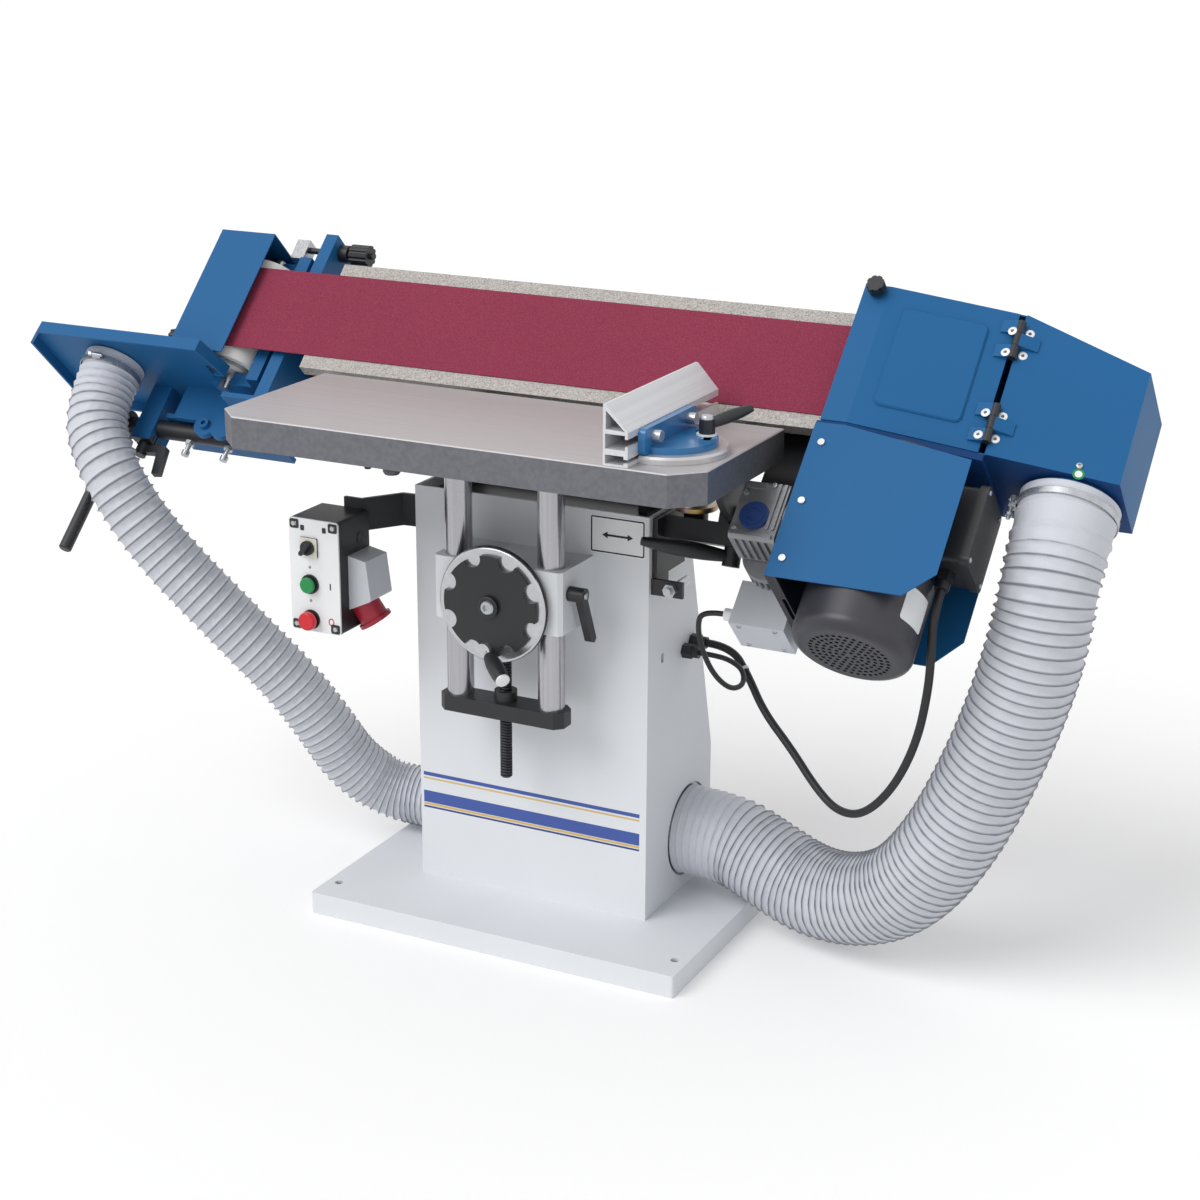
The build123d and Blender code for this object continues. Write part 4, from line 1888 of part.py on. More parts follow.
def gather(*blocks):
    """One part made of the solids of several blocks, joined where they meet."""
    with BuildPart() as group:
        for block in blocks:
            add(block.part)
    return group


# Every piece under its own name
pieces = {
    "base_plate": base_plate,
    "column": column,
    "dust_duct": gather(dust_duct, dust_outlet),
    "pivot_saddle": gather(pivot_saddle, pivot_shaft),
    "slide_block": slide_block,
    "lead_screw": lead_screw,
    "handwheel": gather(handwheel, handwheel_shaft, handle_lug),
    "handwheel_cover": handwheel_cover,
    "crank_handle": crank_handle,
    "rod_clamp_lever": rod_clamp_lever,
    "guide_rods": guide_rods,
    "crossbar": gather(crossbar, lift_nut),
    "work_table": work_table,
    "mitre_base": mitre_base,
    "mitre_head": mitre_head,
    "thumb_screws": thumb_screws,
    "mitre_fence": mitre_fence,
    "mitre_lever": mitre_lever,
    "control_arm": control_arm,
    "control_box": gather(control_box, button_rings),
    "control_plate": control_plate,
    "main_switch": main_switch,
    "start_button": start_button,
    "stop_button": stop_button,
    "inlet_housing": inlet_housing,
    "inlet_socket": inlet_socket,
    "column_fittings": gather(tilt_clamp, stop_bracket, column_glands),
    "tilt_lever": tilt_lever,
    "stand_screws": gather(plate_screws, stop_screw, stop_pad),
    "main_beam": gather(main_beam, tilt_sector, sector_rim, stop_arm, drive_frame, gearbox_web),
    "platen": platen,
    "sanding_belt": sanding_belt,
    "drive_drum": gather(drive_drum, motor_shaft),
    "idler_drum": idler_drum,
    "idler_yoke": idler_yoke,
    "yoke_rods": gather(yoke_rods, idler_axle, tracking_block),
    "idler_frame": idler_frame,
    "tracking_screw": tracking_screw,
    "tension_lever": tension_lever,
    "left_hood": left_hood,
    "hood_knob": hood_knob,
    "round_table": gather(round_table, table_bracket),
    "table_bar": gather(table_bar, bar_clamp),
    "bar_lever": bar_lever,
    "unit_screws": gather(guard_screws, bar_bolts, hose_clamps),
    "guard_plates": gather(front_guard, rear_guard),
    "motor": gather(motor_body, motor_cowl),
    "terminal_box": gather(terminal_box, motor_gland),
    "drive_hood": drive_hood,
    "hood_door": hood_door,
    "door_leaves": door_leaves,
    "hood_leaves": hood_leaves,
    "door_knob": door_knob,
    "gearbox": gather(gearbox, gear_motor),
    "gearbox_cap": gearbox_cap,
    "eccentric": eccentric,
    "right_hose": right_hose,
    "left_hose": left_hose,
    "motor_cable": motor_cable,
    "gear_cable": gear_cable,
}
for name, piece in pieces.items():
    piece.part.label = name
    export_step(piece.part, f"parts/{name}.step")
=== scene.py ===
"""Looks of an edge sander with a tilting belt unit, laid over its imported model."""
import logging
from dataclasses import dataclass
from enum import Enum
from math import cos, radians, sin
from typing import Any, Callable, Sequence

import bmesh
import bpy
import numpy as np
from mathutils import Matrix


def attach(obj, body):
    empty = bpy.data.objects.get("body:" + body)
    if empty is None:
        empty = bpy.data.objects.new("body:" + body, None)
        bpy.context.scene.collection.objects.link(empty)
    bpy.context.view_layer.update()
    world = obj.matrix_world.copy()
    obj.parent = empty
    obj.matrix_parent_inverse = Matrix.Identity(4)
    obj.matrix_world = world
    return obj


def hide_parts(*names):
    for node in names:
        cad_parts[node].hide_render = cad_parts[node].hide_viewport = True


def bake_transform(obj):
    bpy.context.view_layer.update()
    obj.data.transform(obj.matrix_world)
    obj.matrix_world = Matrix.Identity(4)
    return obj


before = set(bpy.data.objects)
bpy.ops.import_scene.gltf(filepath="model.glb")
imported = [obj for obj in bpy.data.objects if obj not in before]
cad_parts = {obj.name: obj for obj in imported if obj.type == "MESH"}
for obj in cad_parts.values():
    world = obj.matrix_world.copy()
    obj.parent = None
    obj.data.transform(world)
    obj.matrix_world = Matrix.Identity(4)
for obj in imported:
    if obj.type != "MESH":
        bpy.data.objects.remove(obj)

LOG = logging.getLogger("edge_sander")
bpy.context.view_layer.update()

Array = np.ndarray
Pair = tuple[float, float]
Point = tuple[float, float, float]
Colour = tuple[float, float, float, float]
Mesh = bpy.types.Mesh
Object = bpy.types.Object
Socket = bpy.types.NodeSocket
Tree = bpy.types.NodeTree

MM = 0.001
INK = 0.12
RIGHT = (1.0, 0.0, 0.0)
BACK = (0.0, 1.0, 0.0)
UP = (0.0, 0.0, 1.0)
DOWN = (0.0, 0.0, -1.0)
HALF_ROOT = 0.5 ** 0.5
UNIT_ORIGIN = np.array([0.0, 7.3, 884.2])
UNIT_X = np.array(RIGHT)
UNIT_W = np.array([0.0, HALF_ROOT, HALF_ROOT])
UNIT_N = np.array([0.0, -HALF_ROOT, HALF_ROOT])
NOISE_SPAN = (0.3, 0.7)


class Body(Enum):
    """The moving bodies that new pieces ride on."""

    STAND = "stand"
    UNIT = "sanding_unit"
    TABLE = "table"
    MITRE_LEVER = "mitre_lever"
    DOOR = "door"
    WHEEL = "handwheel"
    CRANK = "crank_handle"
    ROD_CLAMP = "rod_clamp"


class Slot(Enum):
    """Material slot names that the finishes carry."""

    BLUE = "paint_blue"
    STEEL = "steel"
    ZINC = "zinc"
    BLACK = "black_plastic"
    RED = "red_plastic"
    GREEN = "green_plastic"
    WHITE = "white_plastic"
    HOSE = "hose"
    CABLE = "cable"


# Surfaces


def normed(vectors: Any) -> Array:
    """Vectors brought to a length of one."""
    values = np.array(vectors, float)
    return values / np.linalg.norm(values, axis=-1, keepdims=True)


def running_length(line: Array) -> Array:
    """Distance run along a line at each of its points."""
    return np.concatenate([[0.0], np.cumsum(np.linalg.norm(np.diff(line, axis=0), axis=1))])


def unit_point(x: Any, w: Any, n: Any) -> Array:
    """Points of the tilted belt unit in the object's frame, in millimetres: origin + x X + w W + n N."""
    local = np.stack(np.broadcast_arrays(x, w, n), -1)
    return UNIT_ORIGIN + local @ np.stack([UNIT_X, UNIT_W, UNIT_N])


@dataclass(frozen=True)
class Seat:
    """A place on a face, in millimetres: an origin and two directions that lie in the face."""

    origin: Point
    across: Point
    up: Point

    def place(self, local: Array) -> Array:
        """Carries local points to the object's frame: origin + a across + b up + c (across x up).

        Args:
            local: Points as (..., 3) in millimetres.

        Returns:
            The same points in metres in the object's frame.
        """
        across = np.array(self.across, float)
        up = np.array(self.up, float)
        basis = np.stack([across, up, np.cross(across, up)])
        return (np.array(self.origin, float) + local @ basis) * MM


def unit_seat(x: float, w: float, n: float, slant: float = 0.0) -> Seat:
    """A seat on the tilted belt unit's front, turned about its width by a slant.

    Args:
        x: Place along the belt.
        w: Place across the belt.
        n: Height out of the belt's face.
        slant: Degrees by which the face falls away towards +x.

    Returns:
        The seat, whose outward direction is the face's normal.
    """
    across = UNIT_X * cos(radians(slant)) - UNIT_N * sin(radians(slant))
    return Seat(tuple(unit_point(x, w, n)), tuple(across), tuple(UNIT_W))


def aimed_seat(origin: Sequence[float], aim: Sequence[float]) -> Seat:
    """A seat whose outward direction is given; its other two directions are any that fit."""
    ahead = normed(aim)
    across = normed(np.cross(UP if abs(ahead[2]) < 0.9 else BACK, ahead))
    return Seat(tuple(origin), tuple(across), tuple(np.cross(ahead, across)))


def front_seat(x: float, y: float, z: float) -> Seat:
    """A seat on a face that looks to the front."""
    return Seat((x, y, z), RIGHT, UP)


def grid_faces(rows: int, columns: int, wrap_rows: bool) -> Array:
    """Quads between the neighbours of a grid of points, whose last column joins the first.

    Args:
        rows: Number of rows.
        columns: Number of columns.
        wrap_rows: Whether the last row joins the first.

    Returns:
        Point numbers as (faces, 4).
    """
    row = np.arange(rows if wrap_rows else rows - 1)
    first, left = np.meshgrid(row * columns, np.arange(columns), indexing="ij")
    second = (first + columns) % (rows * columns)
    right = (left + 1) % columns
    return np.stack([first + left, first + right, second + right, second + left], -1).reshape(-1, 4)


def turned(seat: Seat, profile: Sequence[Pair], steps: int = 24, hexed: Sequence[int] = ()) -> Array:
    """A turned form: radius r and height h of the profile are carried round the seat's normal.

    A point is (r cos a, r sin a, h). On a hexed row r is multiplied by cos(30) / cos(a mod 60 - 30),
    which draws a hexagon.

    Args:
        seat: Where it stands.
        profile: Radius and height of each row.
        steps: Points round.
        hexed: Numbers of the rows that are hexagons.

    Returns:
        Points as (rows, steps, 3) in metres.
    """
    angle = np.linspace(0.0, 2.0 * np.pi, steps, endpoint=False)
    rows = np.array(profile, float)
    radius = np.repeat(rows[:, :1], steps, 1)
    if hexed:
        radius[list(hexed)] *= cos(np.pi / 6) / np.cos(np.mod(angle, np.pi / 3) - np.pi / 6)
    height = np.repeat(rows[:, 1:], steps, 1)
    return seat.place(np.stack([radius * np.cos(angle), radius * np.sin(angle), height], -1))


def disc(seat: Seat, radius: float, low: float, high: float, steps: int = 24) -> Array:
    """A flat disc between two heights, turned about the seat's normal."""
    return turned(seat, [(0.0, low), (radius, low), (radius, high), (0.0, high)], steps)


def screw_head(seat: Seat, radius: float, height: float) -> Array:
    """A button head with a hexagon socket, turned about the seat's normal."""
    profile = [
        (0.0, 0.0), (radius, 0.0), (radius, 0.45 * height), (0.86 * radius, 0.85 * height),
        (0.55 * radius, height), (0.5 * radius, 0.35 * height), (0.0, 0.35 * height),
    ]
    return turned(seat, profile, hexed=(4, 5))


def rivet_head(seat: Seat, radius: float, height: float) -> Array:
    """A wide rivet with a sunk middle, turned about the seat's normal."""
    profile = [
        (0.0, 0.0), (radius, 0.0), (radius, 0.5 * height), (0.8 * radius, height),
        (0.42 * radius, height), (0.34 * radius, 0.2 * height), (0.0, 0.2 * height),
    ]
    return turned(seat, profile)


def rounded_outline(width: float, height: float, corner: float, arc: int = 6) -> Array:
    """A rectangle with round corners: four quarter circles about points inset from the corners.

    Args:
        width: Full size across.
        height: Full size up.
        corner: Corner radius.
        arc: Points on each corner.

    Returns:
        Points as (4 arc, 2), counter-clockwise.
    """
    quarter = np.linspace(0.0, np.pi / 2, arc)
    angle = (np.arange(4)[:, None] * np.pi / 2 + quarter).reshape(-1)
    centre_x = np.repeat([1.0, -1.0, -1.0, 1.0], arc) * (width / 2 - corner)
    centre_y = np.repeat([1.0, 1.0, -1.0, -1.0], arc) * (height / 2 - corner)
    return np.stack([centre_x + corner * np.cos(angle), centre_y + corner * np.sin(angle)], -1)


def lifted(seat: Seat, flat: Array, heights: Sequence[float]) -> Array:
    """Rows of flat points, each row lifted to its height over the seat.

    Args:
        seat: The face they lie on.
        flat: Points as (rows, k, 2) in millimetres.
        heights: Height of each row.

    Returns:
        Points as (rows, k, 3) in metres.
    """
    lift = np.broadcast_to(np.array(heights)[:, None, None], (*flat.shape[:2], 1))
    return seat.place(np.concatenate([flat, lift], -1))


def slab(seat: Seat, outline: Array, thick: float, edge: float = 0.0) -> Array:
    """A flat plate: an outline is drawn in to its middle on both faces and lifted to its thickness.

    Rows run from the middle of the back, out along the back, up the rim, in over the edge's
    chamfer and to the middle of the front, as scale factors about the outline's middle.

    Args:
        seat: The face it lies on.
        outline: Corner points as (k, 2) in millimetres.
        thick: Height over the face.
        edge: Chamfer along the front's rim.

    Returns:
        Points as (rows, k, 3) in metres.
    """
    middle = outline.mean(0)
    drawn = 1.0 - edge / np.abs(outline - middle).max()
    scale = np.array([0.0, 1.0, 1.0, drawn, 0.0])[:, None, None]
    return lifted(seat, middle + (outline - middle) * scale, [0.0, 0.0, thick - edge, thick, thick])


def plate(
    seat: Seat, width: float, height: float, thick: float, corner: float = 0.5, edge: float = 0.0,
) -> Array:
    """A plate with round corners that lies on a seat."""
    return slab(seat, rounded_outline(width, height, corner), thick, edge)


def frame_strip(
    seat: Seat, width: float, height: float, line: float, thick: float, corner: float,
) -> Array:
    """A flat frame: a rounded outline and a smaller one, joined over their rims into a closed band.

    Args:
        seat: The face it lies on.
        width: Outer size across.
        height: Outer size up.
        line: Width of the band.
        thick: Height over the face.
        corner: Outer corner radius.

    Returns:
        Points as (4, k, 3) in metres, whose last row joins the first.
    """
    outer = rounded_outline(width, height, corner)
    inner = rounded_outline(width - 2 * line, height - 2 * line, max(corner - line, 0.2))
    return lifted(seat, np.stack([outer, outer, inner, inner]), [0.0, thick, thick, 0.0])


def wrapped_plate(
    axis: Pair, radius: float, angle: float, w: float, size: Pair, corner: float = 4.0, thick: float = 0.6,
) -> Array:
    """A thin plate bent round a drum whose axis lies along the unit's width.

    A point s along and t across the flat plate goes to the angle a + s / r about the axis and to w + t,
    at the radius r on its back and r + thick on its front; rows draw the outline in to its middle.

    Args:
        axis: The axis's place along the belt and out of its face.
        radius: The drum's radius.
        angle: Degrees of the plate's middle from the belt's direction towards its front.
        w: The plate's middle along the axis.
        size: Size round the drum and along the axis.
        corner: Corner radius.
        thick: The plate's thickness.

    Returns:
        Points as (rows, k, 3) in metres.
    """
    corners = rounded_outline(*size, corner)
    corners = np.concatenate([corners, corners[:1]])
    run = running_length(corners)
    at = np.linspace(0.0, run[-1], 96, endpoint=False)
    along, across = (np.interp(at, run, values) for values in corners.T)
    rows = np.linspace(0.0, 1.0, 8)
    scale = np.concatenate([rows, rows[::-1]])[:, None]
    lift = np.repeat([radius, radius + thick], len(rows))[:, None]
    turn = radians(angle) + scale * along / radius
    x = axis[0] + lift * np.cos(turn)
    n = axis[1] + lift * np.sin(turn)
    return unit_point(x, w + scale * across, n) * MM


def make_mesh(
    name: str, grids: Sequence[Array], wrap_rows: bool = False, merge: bool = True, smooth: float = 35.0,
) -> Mesh:
    """One closed mesh from grids whose columns wrap, with its faces turned outwards.

    Args:
        name: Name of the mesh.
        grids: Point grids as (rows, columns, 3) in metres.
        wrap_rows: Whether the rows wrap too.
        merge: Whether points that meet become one.
        smooth: Degrees up to which the shading runs on over an edge.

    Returns:
        The mesh.
    """
    starts = np.cumsum([0] + [grid.shape[0] * grid.shape[1] for grid in grids])
    points = np.concatenate([grid.reshape(-1, 3) for grid in grids])
    faces = [grid_faces(*grid.shape[:2], wrap_rows) + start for grid, start in zip(grids, starts)]
    mesh = bpy.data.meshes.new(name)
    mesh.from_pydata(points.tolist(), [], np.concatenate(faces).tolist())
    work = bmesh.new()
    work.from_mesh(mesh)
    if merge:
        bmesh.ops.remove_doubles(work, verts=work.verts, dist=2e-6)
        bmesh.ops.dissolve_degenerate(work, edges=work.edges, dist=1e-7)
    bmesh.ops.recalc_face_normals(work, faces=work.faces)
    work.to_mesh(mesh)
    work.free()
    mesh.polygons.foreach_set("use_smooth", np.ones(len(mesh.polygons), bool))
    mesh.set_sharp_from_angle(angle=radians(smooth))
    mesh.update()
    return mesh


# Shader benches and shared effects


class Bench:
    """Adds nodes to one tree and joins their sockets."""

    def __init__(self, tree: Tree) -> None:
        """Keeps the tree that it works on."""
        self.tree = tree

    @classmethod
    def cleared(cls, owner: Any) -> "Bench":
        """A bench on the emptied node tree of a material or a world."""
        owner.use_nodes = True
        owner.node_tree.nodes.clear()
        return cls(owner.node_tree)

    def feed(self, socket: Socket, value: Any) -> None:
        """Joins a socket to an input, or sets the input's own value."""
        if isinstance(value, Socket):
            self.tree.links.new(value, socket)
        else:
            socket.default_value = value

    def add(self, kind: str, inputs: dict[Any, Any] | None = None, **settings: Any) -> bpy.types.Node:
        """Adds a node.

        Args:
            kind: Blender's name of the node type.
            inputs: Values or sockets by input name or number.
            settings: The node's own properties.

        Returns:
            The new node.
        """
        node = self.tree.nodes.new(kind)
        for name, value in settings.items():
            setattr(node, name, value)
        for name, value in (inputs or {}).items():
            self.feed(node.inputs[name], value)
        return node

    def math(self, operation: str, first: Any, second: Any = 0.0, clamp: bool = False) -> Socket:
        """The result of one sum on two values."""
        inputs = {0: first, 1: second}
        return self.add("ShaderNodeMath", inputs, operation=operation, use_clamp=clamp).outputs[0]

    def ease(self, value: Any, low: float, high: float, start: float = 0.0, end: float = 1.0) -> Socket:
        """A value eased from start to end as it runs from low to high."""
        inputs = {"Value": value, "From Min": low, "From Max": high, "To Min": start, "To Max": end}
        return self.add("ShaderNodeMapRange", inputs, interpolation_type="SMOOTHSTEP").outputs[0]

    def mix(self, factor: Any, first: Any, second: Any) -> Socket:
        """Two colours mixed by a factor."""
        return self.add("ShaderNodeMix", {0: factor, 6: first, 7: second}, data_type="RGBA").outputs[2]

    def noise(self, vector: Any, scale: Any, detail: float = 2.0, rough: float = 0.5) -> Socket:
        """Soft noise on a vector."""
        inputs = {"Vector": vector, "Scale": scale, "Detail": detail, "Roughness": rough}
        return self.add("ShaderNodeTexNoise", inputs).outputs[0]

    def cells(self, vector: Any, scale: Any) -> Any:
        """The outputs of a cell texture on a vector."""
        return self.add("ShaderNodeTexVoronoi", {"Vector": vector, "Scale": scale}).outputs

    def place(self) -> Socket:
        """The piece's own coordinates in metres."""
        return self.add("ShaderNodeTexCoord").outputs["Object"]

    def bump(self, height: Any, depth: float, strength: float = 1.0) -> Socket:
        """A normal from a height and a depth in metres."""
        inputs = {"Height": height, "Distance": depth, "Strength": strength}
        return self.add("ShaderNodeBump", inputs).outputs[0]


class Effect(Enum):
    """Shared effects, each a node group that is built once."""

    SKIN = "painted skin"
    EDGE_HIGHLIGHT = "edge light"
    BRUSHED = "brushed grain"
    CAST = "cast grain"
    SPANGLE = "zinc spangle"

    def group(self) -> Tree:
        """The effect's node group, made on first use."""
        found = bpy.data.node_groups.get(self.value)
        if found:
            return found
        tree = bpy.data.node_groups.new(self.value, "ShaderNodeTree")
        makers = {
            Effect.SKIN: self.make_skin, Effect.EDGE_HIGHLIGHT: self.make_edge, Effect.BRUSHED: self.make_brushed,
            Effect.CAST: self.make_cast, Effect.SPANGLE: self.make_spangle,
        }
        makers[self](tree)
        return tree

    @staticmethod
    def ends(tree: Tree, inputs: dict[str, float], outputs: Sequence[str]) -> tuple[Bench, Any, Any]:
        """Makes a group's sockets.

        Args:
            tree: The group.
            inputs: Input names and their starting values.
            outputs: Output names.

        Returns:
            A bench on the group, its input sockets and its output sockets.
        """
        kind = "NodeSocketFloat"
        for name, value in inputs.items():
            tree.interface.new_socket(name, in_out="INPUT", socket_type=kind).default_value = value
        for name in outputs:
            tree.interface.new_socket(name, in_out="OUTPUT", socket_type=kind)
        bench = Bench(tree)
        return bench, bench.add("NodeGroupInput").outputs, bench.add("NodeGroupOutput").inputs

    @staticmethod
    def make_skin(tree: Tree) -> None:
        """Orange peel of sprayed powder: fine noise for the height, broad noise for the tone."""
        bench, given, put = Effect.ends(tree, {"Peel": 900.0, "Cloud": 3.0}, ("Height", "Tone"))
        place = bench.place()
        bench.feed(put["Height"], bench.noise(place, given["Peel"], 2.0, 0.4))
        bench.feed(put["Tone"], bench.noise(place, given["Cloud"], 3.0, 0.55))

    @staticmethod
    def make_edge(tree: Tree) -> None:
        """Mask for a painted highlight along edges: one less the agreement of the rounded normal and the
        true one, broken by noise.
        """
        bench, given, put = Effect.ends(tree, {"Width": 0.002}, ("Edge",))
        round_normal = bench.add("ShaderNodeBevel", {"Radius": given["Width"]}, samples=4).outputs[0]
        true_normal = bench.add("ShaderNodeNewGeometry").outputs["Normal"]
        inputs = {0: round_normal, 1: true_normal}
        dot = bench.add("ShaderNodeVectorMath", inputs, operation="DOT_PRODUCT").outputs["Value"]
        turn = bench.math("SUBTRACT", 1.0, dot, True)
        broken = bench.ease(bench.noise(bench.place(), 60.0, 3.0), *NOISE_SPAN, 0.6, 1.0)
        bench.feed(put["Edge"], bench.math("MULTIPLY", bench.ease(turn, 0.01, 0.16), broken))

    @staticmethod
    def make_brushed(tree: Tree) -> None:
        """Ground metal: noise stretched along each axis by its own number of lines per metre."""
        lines = {"Along X": 4.0, "Along Y": 900.0, "Along Z": 900.0}
        bench, given, put = Effect.ends(tree, lines, ("Height", "Streak"))
        scale = bench.add("ShaderNodeCombineXYZ", {number: given[name] for number, name in enumerate(lines)})
        inputs = {0: bench.place(), 1: scale.outputs[0]}
        drawn = bench.add("ShaderNodeVectorMath", inputs, operation="MULTIPLY").outputs[0]
        bench.feed(put["Height"], bench.noise(drawn, 1.0, 4.0, 0.65))
        bench.feed(put["Streak"], bench.noise(drawn, 0.18, 3.0, 0.6))

    @staticmethod
    def make_cast(tree: Tree) -> None:
        """Cast skin: grains from the distance to cell middles, over broad and fine noise."""
        bench, given, put = Effect.ends(tree, {"Grain": 500.0, "Cloud": 12.0}, ("Height", "Tone"))
        place = bench.place()
        fine = bench.noise(place, given["Grain"], 4.0, 0.6)
        bench.feed(put["Height"], bench.math("ADD", bench.cells(place, given["Grain"])["Distance"], fine))
        bench.feed(put["Tone"], bench.noise(place, given["Cloud"], 5.0, 0.6))

    @staticmethod
    def make_spangle(tree: Tree) -> None:
        """Zinc crystals: a random value in each cell of two sizes, and dark specks between them."""
        bench, given, put = Effect.ends(tree, {"Cells": 420.0}, ("Height", "Tone", "Speck"))
        place = bench.place()
        large = bench.cells(place, given["Cells"])
        small = bench.cells(place, bench.math("MULTIPLY", given["Cells"], 2.3))
        coarse = bench.add("ShaderNodeSeparateColor", {0: large["Color"]}).outputs[0]
        finer = bench.add("ShaderNodeSeparateColor", {0: small["Color"]}).outputs[1]
        shares = bench.math("MULTIPLY", coarse, 0.55), bench.math("MULTIPLY", finer, 0.45)
        bench.feed(put["Tone"], bench.math("ADD", *shares))
        bench.feed(put["Height"], large["Distance"])
        bench.feed(put["Speck"], bench.ease(finer, 0.82, 0.9))


def linear(code: str, gain: float = 1.0) -> Colour:
    """An sRGB colour code as linear red, green, blue and alpha, times a gain."""
    srgb = np.array([int(code[i:i + 2], 16) for i in (0, 2, 4)]) / 255
    value = np.where(srgb <= 0.04045, srgb / 12.92, ((srgb + 0.055) / 1.055) ** 2.4)
    return (*np.clip(value * gain, 0.0, 1.0).tolist(), 1.0)


# Finishes


@dataclass(frozen=True)
class Finish:
    """A finish: its label, its colour code, how rough it is and the slot of new pieces in it."""

    label: str
    colour: str
    rough: float
    slot: Slot | None = None

    def material(self) -> bpy.types.Material:
        """The finish's material, made on first use."""
        found = bpy.data.materials.get(self.label)
        if found:
            return found
        material = bpy.data.materials.new(self.label)
        material.diffuse_color = self.tint()
        bench = Bench.cleared(material)
        shader = bench.add("ShaderNodeBsdfPrincipled", self.dress(bench))
        bench.add("ShaderNodeOutputMaterial", {"Surface": shader.outputs[0]})
        return material

    def tint(self, gain: float = 1.0) -> Colour:
        """The finish's colour times a gain."""
        return linear(self.colour, gain)

    def effect(self, bench: Bench, effect: Effect, **values: float) -> Any:
        """Places a shared effect with this finish's values and gives its outputs."""
        node = bench.add("ShaderNodeGroup", None, node_tree=effect.group())
        for name, value in values.items():
            node.inputs[name.replace("_", " ")].default_value = value
        return node.outputs

    def painted_edge_highlight(self, bench: Bench, body: Socket, width: float, share: float, gain: float) -> Socket:
        """A colour that goes over to a brighter tint of the finish along the piece's edges: a painted
        highlight.

        Args:
            bench: The material's bench.
            body: The colour away from the edges.
            width: Width of the edges in metres.
            share: How far the colour goes over.
            gain: Gain of the brighter tint.

        Returns:
            The colour.
        """
        edge = self.effect(bench, Effect.EDGE_HIGHLIGHT, Width=width)["Edge"]
        return bench.mix(bench.math("MULTIPLY", edge, share), body, self.tint(gain))

    def roughness(self, bench: Bench, by: Any, less: float, more: float, span: Pair = NOISE_SPAN) -> Socket:
        """Roughness that follows a value over a span, from the finish's own less a bit to a bit more."""
        return bench.ease(by, *span, self.rough - less, self.rough + more)

    def dress(self, bench: Bench) -> dict[str, Any]:
        """The values and sockets that the finish gives to its shader, by the inputs' names."""
        raise NotImplementedError


@dataclass(frozen=True)
class Paint(Finish):
    """Sprayed paint with orange peel, a little cloudiness and a painted highlight along its edges."""

    peel: float = 700.0
    depth: float = 0.00012
    # Share of the painted highlight along the edges.
    edge: float = 0.35
    coat: float = 0.0
    shine: float = 0.5

    def dress(self, bench: Bench) -> dict[str, Any]:
        """Colour varies by cloud and by a painted highlight along the edges, roughness by cloud, and the
        normal by peel.
        """
        skin = self.effect(bench, Effect.SKIN, Peel=self.peel, Cloud=2.6)
        body = bench.mix(skin["Tone"], self.tint(0.93), self.tint(1.07))
        return {
            "Base Color": self.painted_edge_highlight(bench, body, 0.0016, self.edge, 1.55),
            "Roughness": self.roughness(bench, skin["Tone"], 0.04, 0.05),
            "Normal": bench.bump(skin["Height"], self.depth, 0.35),
            "Coat Weight": self.coat,
            "Coat Roughness": 0.12,
            "Specular IOR Level": self.shine,
        }


@dataclass(frozen=True)
class Metal(Finish):
    """Bare metal with a ground or drawn grain along one axis."""

    lines: Point = (6.0, 1400.0, 1400.0)
    depth: float = 0.00003
    spread: float = 0.12
    metallic: float = 1.0

    def dress(self, bench: Bench) -> dict[str, Any]:
        """Colour and roughness follow the streaks, and the normal follows the fine grain."""
        x, y, z = self.lines
        grain = self.effect(bench, Effect.BRUSHED, Along_X=x, Along_Y=y, Along_Z=z)
        streak = bench.ease(grain["Streak"], *NOISE_SPAN)
        return {
            "Base Color": bench.mix(streak, self.tint(1.0 - self.spread), self.tint(1.0 + self.spread)),
            "Roughness": self.roughness(bench, grain["Height"], 0.05, 0.07),
            "Normal": bench.bump(grain["Height"], self.depth, 0.5),
            "Metallic": self.metallic,
        }


@dataclass(frozen=True)
class Cast(Finish):
    """Cast metal, bare or painted, with grains and cloudy tone."""

    grain: float = 420.0
    depth: float = 0.0003
    metallic: float = 0.6
    spread: float = 0.18

    def dress(self, bench: Bench) -> dict[str, Any]:
        """Colour follows the cloud and a painted highlight along the edges, roughness the cloud, and the
        normal the grains.
        """
        skin = self.effect(bench, Effect.CAST, Grain=self.grain, Cloud=14.0)
        cloud = bench.ease(skin["Tone"], *NOISE_SPAN)
        body = bench.mix(cloud, self.tint(1.0 - self.spread), self.tint(1.0 + self.spread))
        return {
            "Base Color": self.painted_edge_highlight(bench, body, 0.0018, 0.4, 1.5),
            "Roughness": self.roughness(bench, skin["Tone"], 0.06, 0.08),
            "Normal": bench.bump(skin["Height"], self.depth, 0.5),
            "Metallic": self.metallic,
        }


@dataclass(frozen=True)
class Moulded(Finish):
    """Moulded plastic or rubber with a fine spark-worn grain."""

    grain: float = 1600.0
    depth: float = 0.00008
    # Share of the painted highlight along the edges.
    edge: float = 0.25

    def dress(self, bench: Bench) -> dict[str, Any]:
        """Tone shifts slightly over the piece, edges take a painted highlight, and the normal carries the
        grain.
        """
        skin = self.effect(bench, Effect.SKIN, Peel=self.grain, Cloud=9.0)
        body = bench.mix(skin["Tone"], self.tint(0.88), self.tint(1.12))
        return {
            "Base Color": self.painted_edge_highlight(bench, body, 0.001, self.edge, 2.2),
            "Roughness": self.roughness(bench, skin["Height"], 0.05, 0.06),
            "Normal": bench.bump(skin["Height"], self.depth, 0.4),
        }


